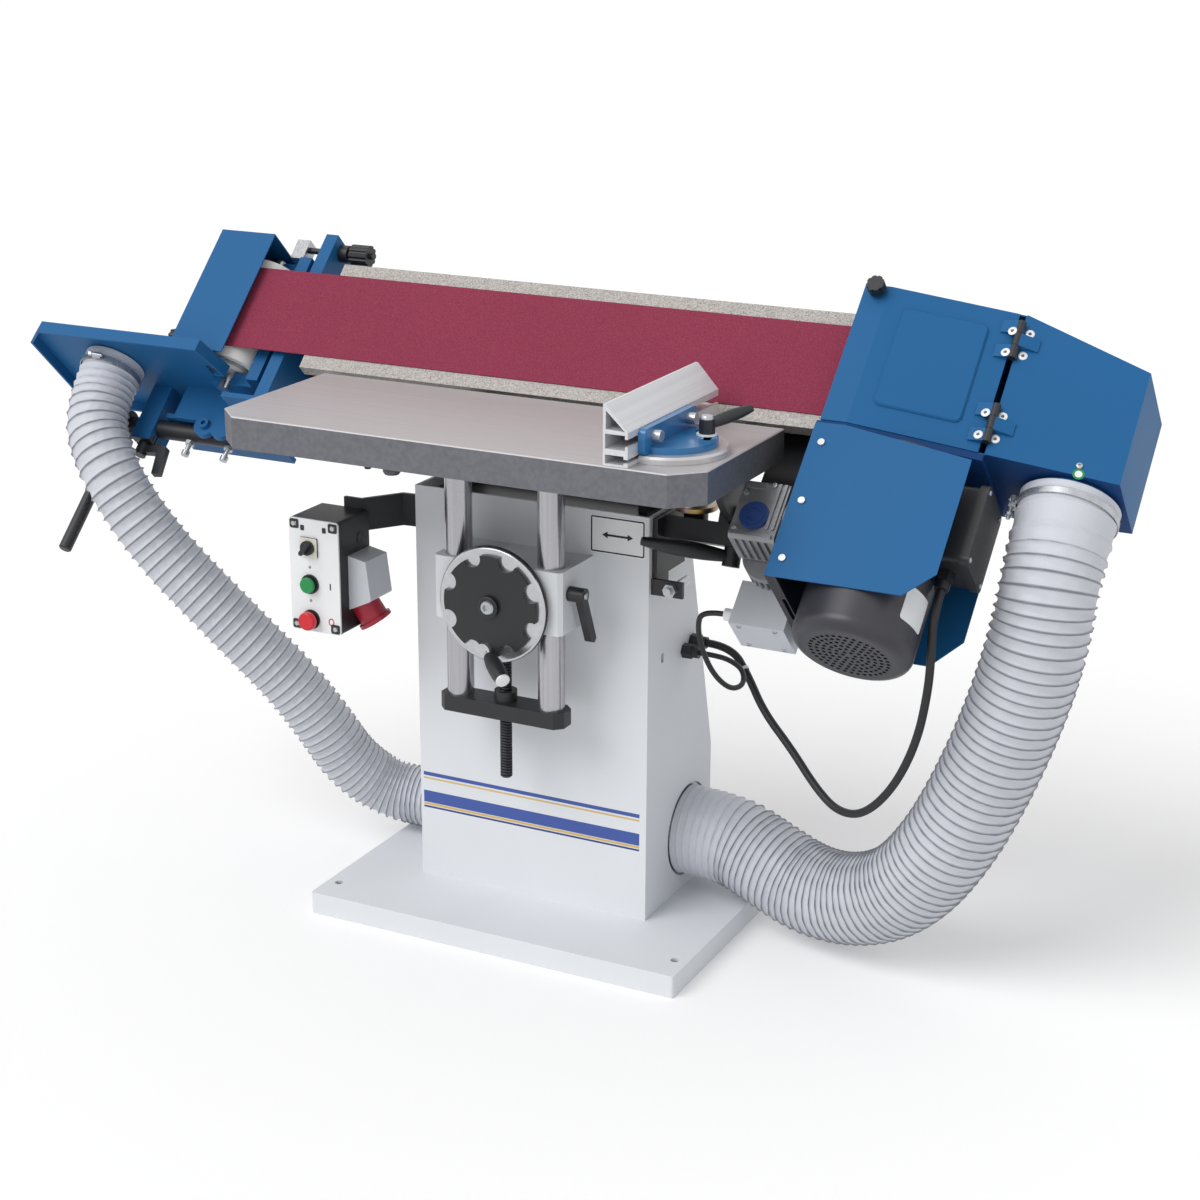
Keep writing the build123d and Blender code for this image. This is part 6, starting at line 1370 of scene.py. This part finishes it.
@dataclass
class Stand:
    """Base, column, pivot saddle, clamp and the lift's fixed parts."""

    front: float = -114.0
    stripe_ends: Pair = (-190.0, 184.0)
    stripe_thick: float = 0.15
    stripes: Sequence[tuple[str, float, float, Finish]] = (
        ("stripe_top", 201.0, 207.0, STRIPE_BLUE),
        ("stripe_gold_upper", 195.5, 198.0, STRIPE_GOLD),
        ("stripe_wide", 156.0, 175.5, STRIPE_BLUE),
        ("stripe_gold_lower", 151.5, 155.0, STRIPE_GOLD),
        ("stripe_low", 147.0, 150.0, STRIPE_DARK),
    )
    label_box: tuple[float, float, float, float] = (99.7, 606.0, 189.0, 663.0)
    label_thick: float = 0.3
    frame_inset: float = 1.5
    arrow_reach: float = 16.0
    pivot: Pair = (-4.0, 788.0)
    pivot_reach: float = 20.4
    glands_top: float = 450.0
    saddle_low: float = 660.0
    screw_y: float = -190.0
    thread_reach: float = 9.3

    def build(self) -> None:
        """Dresses the stand and lays its printed marks."""
        self.dress()
        self.lay_stripes()
        self.lay_label()

    def pivot_faces(self, f: Facets) -> Array:
        """Picks the faces round the saddle's pivot."""
        return np.hypot(f.y - self.pivot[0], f.z - self.pivot[1]) < self.pivot_reach

    def thread_faces(self, f: Facets) -> Array:
        """Picks the lift screw's threaded faces."""
        return np.hypot(f.x, f.y - self.screw_y) < self.thread_reach

    def dress(self) -> None:
        """Gives the stand's nodes their finishes."""
        coat_all(GREY_PAINT, "base_plate", "column", "slide_block")
        coat("dust_duct", ZINC_SHEET)
        coat("pivot_saddle", BLACK_PAINT, (GROUND_STEEL, self.pivot_faces))
        coat("column_fittings", BLACK_PAINT, (BLACK_PLASTIC, lambda f: f.z < self.glands_top))
        coat("stand_screws", BRIGHT_ZINC, (YELLOW_ZINC, lambda f: f.z > self.saddle_low))
        coat("tilt_lever", BLACK_PLASTIC)
        coat("lead_screw", DARK_STEEL, (SCREW_THREAD, self.thread_faces))

    def lay_stripes(self) -> None:
        """Printed stripes across the column's front, each a thin plate."""
        left, right = self.stripe_ends
        for name, low, high, finish in self.stripes:
            seat = front_seat((left + right) / 2, self.front, (low + high) / 2)
            fit(name, [plate(seat, right - left, high - low, self.stripe_thick, 0.2)], finish, Body.STAND)

    def lay_label(self) -> None:
        """A white plate with a black frame and a generic double arrow."""
        left, low, right, high = self.label_box
        middle_x, middle_z = (left + right) / 2, (low + high) / 2
        width, height = right - left, high - low
        seat = front_seat(middle_x, self.front, middle_z)
        raised = front_seat(middle_x, self.front - self.label_thick, middle_z)
        stock = plate(seat, width, height, self.label_thick, 3.0, 0.05)
        fit("label_stock", [stock], PRINT_WHITE, Body.STAND)
        inset = 2 * self.frame_inset
        rim = frame_strip(raised, width - inset, height - inset, 2.2, 0.1, 2.5)
        fit("label_frame", [rim], PRINT_BLACK, Body.STAND, True)
        bar = plate(raised, 34.0, 3.2, INK, 0.4)
        head = np.array([[0.0, 5.0], [-9.0, 0.0], [0.0, -5.0]])
        shift = np.array([self.arrow_reach, 0.0])
        left_head = slab(raised, head[::-1] - shift, INK)
        right_head = slab(raised, head * np.array([-1.0, 1.0]) + shift, INK)
        fit("label_arrow", [bar, left_head, right_head], PRINT_BLACK, Body.STAND)


@dataclass
class ControlBox:
    """Switch box on its arm, with the mains inlet."""

    face: float = -250.0
    side: float = -246.0
    lid_front: float = -252.5
    lid_low: float = 570.0
    screw_x: Pair = (-322.0, -255.0)
    screw_z: Pair = (471.0, 627.0)
    hook_x: Pair = (-308.0, -270.0)
    hook_z: float = 622.0
    dot_x: float = -297.0
    dot_z: Pair = (510.0, 562.0)
    mark_x: float = -262.0
    start_z: float = 536.0
    stop_z: float = 481.0
    blank_y: float = -190.0
    blank_z: Sequence[float] = (600.0, 570.0, 540.0)

    def build(self) -> None:
        """Dresses the box and adds its clips, marks and blanks."""
        self.dress()
        self.add_clips()
        self.add_marks()
        self.add_blanks()

    def lid_faces(self, f: Facets) -> Array:
        """Picks the pale front round the main switch."""
        return (f.y < self.lid_front) & (f.z > self.lid_low) & (f.out[:, 1] < -0.9)

    def dress(self) -> None:
        """Gives the box's nodes their finishes."""
        coat("control_arm", BLACK_PAINT)
        coat("control_box", BLACK_PLASTIC, (CREAM_PLASTIC, self.lid_faces))
        coat("control_plate", WHITE_PLASTIC)
        coat("inlet_housing", GREY_PLASTIC)
        coat("inlet_socket", DEEP_RED_PLASTIC)
        coat("main_switch", BLACK_PLASTIC)
        coat("start_button", GREEN_PLASTIC)
        coat("stop_button", RED_PLASTIC)

    def add_clips(self) -> None:
        """Black corner clips round the plate's screws, and two small ones near the top."""
        corners = [front_seat(x, self.face, z) for x in self.screw_x for z in self.screw_z]
        hooks = [front_seat(x, self.face, self.hook_z) for x in self.hook_x]
        grids = [frame_strip(seat, 15.0, 14.0, 3.6, 1.1, 2.5) for seat in corners]
        grids += [frame_strip(seat, 6.0, 8.0, 2.6, 0.9, 1.0) for seat in hooks]
        fit("plate_clips", grids, BLACK_PLASTIC, Body.STAND, True)

    def add_marks(self) -> None:
        """A bar for on, a ring for off and two dots."""
        bar = plate(front_seat(self.mark_x, self.face, self.start_z), 2.2, 10.0, INK, 0.4)
        fit("on_mark", [bar], PRINT_BLACK, Body.STAND)
        ring = frame_strip(front_seat(self.mark_x, self.face, self.stop_z), 10.0, 12.0, 1.9, INK, 4.9)
        fit("off_mark", [ring], RED_PLASTIC, Body.STAND, True)
        dots = [disc(front_seat(self.dot_x, self.face, z), 2.4, 0.0, INK, 16) for z in self.dot_z]
        fit("plate_dots", dots, PRINT_GREY, Body.STAND)

    def add_blanks(self) -> None:
        """Three sunk round blanks on the box's right side."""
        blank = [(0.0, 0.0), (9.5, 0.0), (9.5, 0.7), (8.3, 0.9), (7.9, 0.3), (0.0, 0.3)]
        seats = [Seat((self.side, self.blank_y, z), BACK, UP) for z in self.blank_z]
        fit("box_blanks", [turned(seat, blank, 28) for seat in seats], BLACK_PLASTIC, Body.STAND)


@dataclass
class LiftTable:
    """Work table with its rods, handwheel and clamp."""

    top: float = 811.0
    plate_low: float = 795.0
    walls_low: float = 767.0
    walls_front: float = -60.0
    wheel_z: float = 542.0
    wheel_back: float = -231.5
    cover_front: float = -241.0
    washer_sunk: float = 0.8
    handle_root: Point = (-7.0, -237.0, 475.5)
    handle_aim: Point = (0.72, -0.62, -0.31)
    handle_reach: float = 74.1
    clamp_hub: Point = (131.4, -190.0, 564.0)
    peg_place: Pair = (-159.0, -300.0)
    pad_place: Pair = (-119.0, -300.0)

    def build(self) -> None:
        """Dresses the table and its lift, and adds their small fittings."""
        self.dress()
        self.add_wheel_fittings()
        self.add_table_feet()

    def top_faces(self, f: Facets) -> Array:
        """Picks the table's ground top and its rounded rim."""
        return (f.out[:, 2] > 0.6) & (f.z > self.top - 3.0)

    def under_faces(self, f: Facets) -> Array:
        """Picks what looks down, and the lower walls towards the belt."""
        walls = (f.z < self.walls_low) & (f.out[:, 2] < 0.5) & (f.y > self.walls_front)
        return (f.out[:, 2] < -0.5) | walls

    def wheel_back_faces(self, f: Facets) -> Array:
        """Picks the handwheel's back and hub."""
        return (f.out[:, 1] > -0.35) & (f.y > self.wheel_back)

    def dress(self) -> None:
        """Gives the table's and the lift's nodes their finishes."""
        coat("work_table", TABLE_SIDE, (TABLE_TOP, self.top_faces), (TABLE_UNDER, self.under_faces))
        coat("guide_rods", GROUND_STEEL)
        coat("crossbar", BLACK_PAINT)
        coat("handwheel", CHROME, (BLACK_PLASTIC, self.wheel_back_faces))
        coat_all(BLACK_PLASTIC, "handwheel_cover", "crank_handle", "rod_clamp_lever")

    def add_wheel_fittings(self) -> None:
        """The wheel's bolt and washer, the handle's bright end and the clamp lever's screw."""
        washer = [(0.0, 0.0), (16.0, 0.0), (16.0, 1.4), (14.8, 2.2), (11.6, 2.2), (11.2, 0.8), (0.0, 0.8)]
        seat = front_seat(0.0, self.cover_front, self.wheel_z)
        fit("wheel_washer", [turned(seat, washer, 32)], BLACK_PLASTIC, Body.WHEEL)
        bolt_seat = front_seat(0.0, self.cover_front - self.washer_sunk, self.wheel_z)
        fit("wheel_bolt", [screw_head(bolt_seat, 10.6, 5.0)], BRIGHT_ZINC, Body.WHEEL)
        cap = [(0.0, 0.0), (10.2, 0.0), (10.6, 0.7), (10.3, 2.2), (8.8, 3.0), (5.0, 3.4), (0.0, 3.5)]
        end = np.array(self.handle_root) + self.handle_reach * normed(self.handle_aim)
        fit("handle_end", [turned(aimed_seat(end, self.handle_aim), cap, 28)], WHITE_ZINC, Body.CRANK)
        hub = aimed_seat(self.clamp_hub, RIGHT)
        fit("clamp_screw", [screw_head(hub, 5.2, 2.6)], BRIGHT_ZINC, Body.ROD_CLAMP)

    def add_table_feet(self) -> None:
        """A black peg and a dark round pad that hang from the table's plate behind its front wall."""
        peg = [(0.0, 0.0), (5.0, 0.0), (5.0, 52.0), (4.2, 53.0), (0.0, 53.0)]
        peg_seat = aimed_seat((*self.peg_place, self.plate_low), DOWN)
        fit("table_peg", [turned(peg_seat, peg)], BLACK_PLASTIC, Body.TABLE)
        pad = [(0.0, 0.0), (6.0, 0.0), (6.0, 40.0), (13.0, 44.0), (13.0, 52.0), (10.0, 56.0), (0.0, 57.5)]
        pad_seat = aimed_seat((*self.pad_place, self.plate_low), DOWN)
        fit("table_pad", [turned(pad_seat, pad)], DARK_STEEL, Body.TABLE)


@dataclass
class MitreGauge:
    """Mitre gauge on the table with its fence."""

    stud: Pair = (330.7, -224.3)
    collar_low: float = 831.6
    hub_top: float = 853.6

    def build(self) -> None:
        """Dresses the gauge and adds the lever's bright cap and collar."""
        self.dress()
        cap = [(0.0, 0.0), (9.6, 0.0), (9.6, 2.0), (8.0, 4.6), (4.0, 6.0), (0.0, 6.3)]
        seat = aimed_seat((*self.stud, self.hub_top), UP)
        fit("lever_cap", [turned(seat, cap)], BRIGHT_ZINC, Body.MITRE_LEVER)
        collar = [(11.4, 0.0), (14.5, 0.0), (14.2, 2.2), (11.4, 2.6)]
        foot = aimed_seat((*self.stud, self.collar_low), UP)
        fit("lever_collar", [turned(foot, collar)], WHITE_ZINC, Body.MITRE_LEVER, True)

    def dress(self) -> None:
        """Gives the gauge's nodes their finishes."""
        coat("mitre_base", PALE_CAST)
        coat("mitre_head", BLUE_CAST)
        coat("mitre_fence", ALUMINIUM)
        coat("mitre_lever", BLACK_PLASTIC)
        coat("thumb_screws", BRIGHT_ZINC)


@dataclass
class BeltUnit:
    """Beam, platen, belt, drums and the idler end."""

    left_hose: Pair = (-806.0, -45.0)
    clamp_w: float = -126.5
    clamp_radius: float = 51.0
    clamp_angle: float = 84.0
    worm_lift: float = 5.0
    worm_back: float = 13.0
    right_bolt: Point = (694.0, -112.0, -95.0)
    right_lug: Pair = (698.0, -100.0)
    bar_clamp_x: float = -744.0
    bar_clamp_half: float = 20.0
    bar_clamp_low: float = -196.0
    bar_axis: Pair = (-175.0, -122.0)
    bar_reach: float = 16.5
    shelf_start: float = 436.0
    shelf_w: float = -112.0
    shelf_half: float = 13.0

    def build(self) -> None:
        """Dresses the belt unit's left end and middle, and adds the hose clamps' screws."""
        self.dress()
        self.add_hose_screws()

    def add_hose_screws(self) -> None:
        """A worm screw in its housing on the left hose's clamp, and a long bolt beside the right one."""
        turn = radians(self.clamp_angle)
        x = self.left_hose[0] + self.clamp_radius * cos(turn)
        n = self.left_hose[1] + self.clamp_radius * sin(turn)
        tangent = UNIT_X * sin(turn) - UNIT_N * cos(turn)
        housing = Seat(tuple(unit_point(x, self.clamp_w, n)), tuple(tangent), tuple(UNIT_W))
        raised = unit_point(x, self.clamp_w, n + self.worm_lift)
        worm = aimed_seat(raised - self.worm_back * tangent, tangent)
        screw = [(0.0, 0.0), (4.4, 0.0), (4.4, 5.0), (3.0, 5.0), (3.0, 24.0), (2.2, 25.0), (0.0, 25.0)]
        grids = [plate(housing, 15.0, 10.0, 5.0, 1.2, 0.8), turned(worm, screw, 20, hexed=(1, 2))]
        fit("left_clamp_screw", grids, BRIGHT_ZINC, Body.UNIT)
        bolt = [
            (0.0, 0.0), (6.4, 0.0), (6.4, 5.5), (3.0, 5.5), (3.0, 26.0), (5.6, 26.0), (5.6, 31.0),
            (3.0, 31.0), (3.0, 35.0), (0.0, 35.0),
        ]
        long = aimed_seat(unit_point(*self.right_bolt), -UNIT_W)
        lug = unit_seat(self.right_lug[0], self.clamp_w, self.right_lug[1])
        grids = [turned(long, bolt, 20, hexed=(1, 2, 5, 6)), plate(lug, 16.0, 8.0, 10.0, 1.2, 0.8)]
        fit("right_clamp_bolt", grids, BRIGHT_ZINC, Body.UNIT)

    def bar_clamp_faces(self, f: Facets) -> Array:
        """Picks the table bar clamp's faces, apart from its underside and the bar itself."""
        from_bar = np.hypot(f.w - self.bar_axis[0], f.n - self.bar_axis[1])
        near = np.abs(f.x - self.bar_clamp_x) < self.bar_clamp_half
        return near & (f.w > self.bar_clamp_low) & (from_bar > self.bar_reach)

    def shelf_faces(self, f: Facets) -> Array:
        """Picks the beam's shelf under the drive end, which takes painted shade."""
        return (f.x > self.shelf_start) & (np.abs(f.w - self.shelf_w) < self.shelf_half)

    def dress(self) -> None:
        """Gives the belt unit's nodes their finishes."""
        # The shelf under the drive end takes a dark blue: painted shade from the hood over it.
        coat("main_beam", BLACK_PAINT, (PAINTED_SHADE_BLUE, self.shelf_faces))
        coat("platen", SPANGLE)
        coat("sanding_belt", ABRASIVE)
        coat_all(DRUM_RUBBER, "drive_drum", "idler_drum")
        coat_all(BLUE_PAINT, "idler_yoke", "idler_frame", "left_hood", "round_table")
        coat("yoke_rods", GROUND_STEEL)
        coat("table_bar", BLACK_PAINT, (BLUE_PAINT, self.bar_clamp_faces))
        coat_all(BLACK_PLASTIC, "tracking_screw", "tension_lever", "hood_knob", "bar_lever")
        coat("unit_screws", BRIGHT_ZINC)


@dataclass
class DriveEnd:
    """Motor, hood, door, guard and gearbox at the right end."""

    slant: float = 12.0
    door_slant: float = -6.0
    knuckle_x: float = 665.0
    knuckle_half: float = 6.5
    hood_low: float = -95.0
    door_rivets: Sequence[Point] = (
        (656.6, 89.5, 5.2), (655.7, 54.3, 5.1), (653.9, -44.5, 4.9), (653.0, -79.8, 4.8),
    )
    hood_rivets: Sequence[Point] = (
        (677.6, 95.1, -7.4), (676.8, 58.9, -7.3), (674.7, -40.8, -6.8), (673.6, -77.1, -6.6),
    )
    earth_bolt: Point = (788.6, -88.8, -31.0)
    earth_ring: Point = (790.2, -100.8, -31.3)
    roof_high: Pair = (667.0, 125.0)
    roof_low: Pair = (845.0, 75.0)
    roof_front: Pair = (-7.4, -43.0)
    roof_share: float = 0.94
    roof_thick: float = 2.0
    motor_axis: Pair = (552.0, -51.8)
    cowl_radius: float = 84.0
    plate_angle: float = 18.4
    plate_w: float = -338.0
    plate_size: Pair = (50.0, 50.0)
    lid_face: float = 686.0
    lid_w: Pair = (-259.0, -155.0)
    lid_n: Pair = (-88.0, -16.0)
    gear_front: float = -6.0
    gear_ribs: Sequence[tuple[Pair, Pair, float, float]] = (
        ((400.0, -226.0), (4.5, 72.0), 4.0, 1.0), ((408.5, -226.0), (4.5, 72.0), 4.0, 1.0),
        ((380.0, -273.5), (62.0, 5.0), 4.0, 1.0), ((366.0, -196.0), (30.0, 10.0), 3.0, 2.0),
    )
    gear_bolts: Sequence[Pair] = ((353.0, -266.0), (353.0, -208.0), (391.0, -193.0))
    gear_gland_x: float = 345.5
    gear_box_top: float = -290.0
    gear_box_front: float = -104.0
    gear_box_low: float = -362.0
    gear_box_x: Pair = (360.0, 414.0)
    gear_box_n: Pair = (-114.0, -168.0)

    def build(self) -> None:
        """Dresses the drive end and adds its small fittings."""
        self.dress()
        self.add_rivets()
        self.add_earth_mark()
        self.add_roof_corner()
        self.add_motor_fittings()
        self.add_gear_fittings()

    def dress(self) -> None:
        """Gives the drive end's nodes their finishes."""
        coat_all(BLUE_PAINT, "guard_plates", "hood_door")
        coat("motor", MOTOR_PAINT)
        coat_all(BLACK_PLASTIC, "terminal_box", "door_knob")
        # The hood's downward faces take a darker blue: painted shade under the hood.
        painted_shade_under_hood = (PAINTED_SHADE_BLUE, lambda f: (f.out @ UNIT_W < -0.9) & (f.w < self.hood_low))
        coat("drive_hood", BLUE_PAINT, painted_shade_under_hood)
        knuckles = (BLACK_PAINT, lambda f: np.abs(f.x - self.knuckle_x) < self.knuckle_half)
        for node in ("hood_leaves", "door_leaves"):
            coat(node, BLUE_PAINT, knuckles)
        motor_box = (GREY_PLASTIC, lambda f: (f.w < self.gear_box_top) & (f.n < self.gear_box_front))
        gland = (WHITE_PLASTIC, lambda f: f.x < self.gear_gland_x)
        coat("gearbox", GEAR_CAST, motor_box, gland)
        coat("gearbox_cap", BLUE_PLASTIC)
        coat("eccentric", DARK_STEEL)

    def add_rivets(self) -> None:
        """White rivets beside the hinges, with dark cores."""
        door = [unit_seat(*place, self.door_slant) for place in self.door_rivets]
        hood = [unit_seat(*place, self.slant) for place in self.hood_rivets]
        sides = (("door", door, Body.DOOR), ("hood", hood, Body.UNIT))
        for side, seats, body in sides:
            fit(side + "_rivets", [rivet_head(seat, 6.5, 1.7) for seat in seats], WHITE_ZINC, body)
        for side, seats, body in sides:
            fit(side + "_rivet_cores", [disc(seat, 2.1, 0.2, 0.7, 16) for seat in seats], DARK_STEEL, body)

    def add_earth_mark(self) -> None:
        """The earth screw, and a white disc with a green ring beside it."""
        bolt_seat = unit_seat(*self.earth_bolt, self.slant)
        fit("earth_screw", [screw_head(bolt_seat, 4.8, 3.2)], BRIGHT_ZINC, Body.UNIT)
        ring_seat = unit_seat(*self.earth_ring, self.slant)
        fit("earth_disc", [disc(ring_seat, 8.0, 0.0, 0.25)], WHITE_PLASTIC, Body.UNIT)
        ring = [(5.2, 0.1), (8.2, 0.1), (8.2, 0.5), (5.2, 0.5)]
        fit("earth_ring", [turned(ring_seat, ring)], GREEN_PLASTIC, Body.UNIT, True)

    def add_roof_corner(self) -> None:
        """A triangle of sheet that carries the hood's sloping roof on to its slanted front.

        Its long side follows the roof down, and its width shrinks evenly to nothing at the hood's end.
        """
        start, end = unit_point(*self.roof_high, 0.0), unit_point(*self.roof_low, 0.0)
        seat = Seat(tuple(start), tuple(normed(end - start)), tuple(UNIT_N))
        near, far = self.roof_front
        length = self.roof_share * np.linalg.norm(end - start)
        outline = np.array([(0.0, far), (length, far), (0.0, near)])
        fit("hood_roof_corner", [slab(seat, outline, self.roof_thick)], BLUE_PAINT, Body.UNIT)

    def add_motor_fittings(self) -> None:
        """A blank plate on the motor's cowl and the terminal lid's screws."""
        blank = wrapped_plate(
            self.motor_axis, self.cowl_radius, self.plate_angle, self.plate_w, self.plate_size,
        )
        fit("motor_plate", [blank], WHITE_PLASTIC, Body.UNIT)
        seats = [aimed_seat(unit_point(self.lid_face, w, n), RIGHT) for w in self.lid_w for n in self.lid_n]
        fit("lid_screws", [rivet_head(seat, 3.8, 1.8) for seat in seats], BRIGHT_ZINC, Body.UNIT)

    def add_gear_fittings(self) -> None:
        """Ribs and bolts on the gearbox's front, and screws under the gear motor's box."""
        ribs = [
            plate(unit_seat(*place, self.gear_front), *size, thick, corner, 0.8)
            for place, size, thick, corner in self.gear_ribs
        ]
        fit("gearbox_ribs", ribs, GEAR_CAST, Body.UNIT)
        bolts = [screw_head(unit_seat(*place, self.gear_front), 4.4, 4.2) for place in self.gear_bolts]
        bolts += [
            rivet_head(aimed_seat(unit_point(x, self.gear_box_low, n), -UNIT_W), 3.6, 1.8)
            for x in self.gear_box_x for n in self.gear_box_n
        ]
        fit("gearbox_bolts", bolts, BRIGHT_ZINC, Body.UNIT)


def main() -> None:
    """Builds the studio, the lines and each sub-assembly in order."""
    logging.basicConfig(level=logging.INFO, format="%(name)s: %(message)s")
    Studio().build()
    Lines().build()
    for assembly in (Stand(), ControlBox(), LiftTable(), MitreGauge(), BeltUnit(), DriveEnd()):
        LOG.info("building %s", type(assembly).__name__)
        assembly.build()


if __name__ == "__main__":
    main()
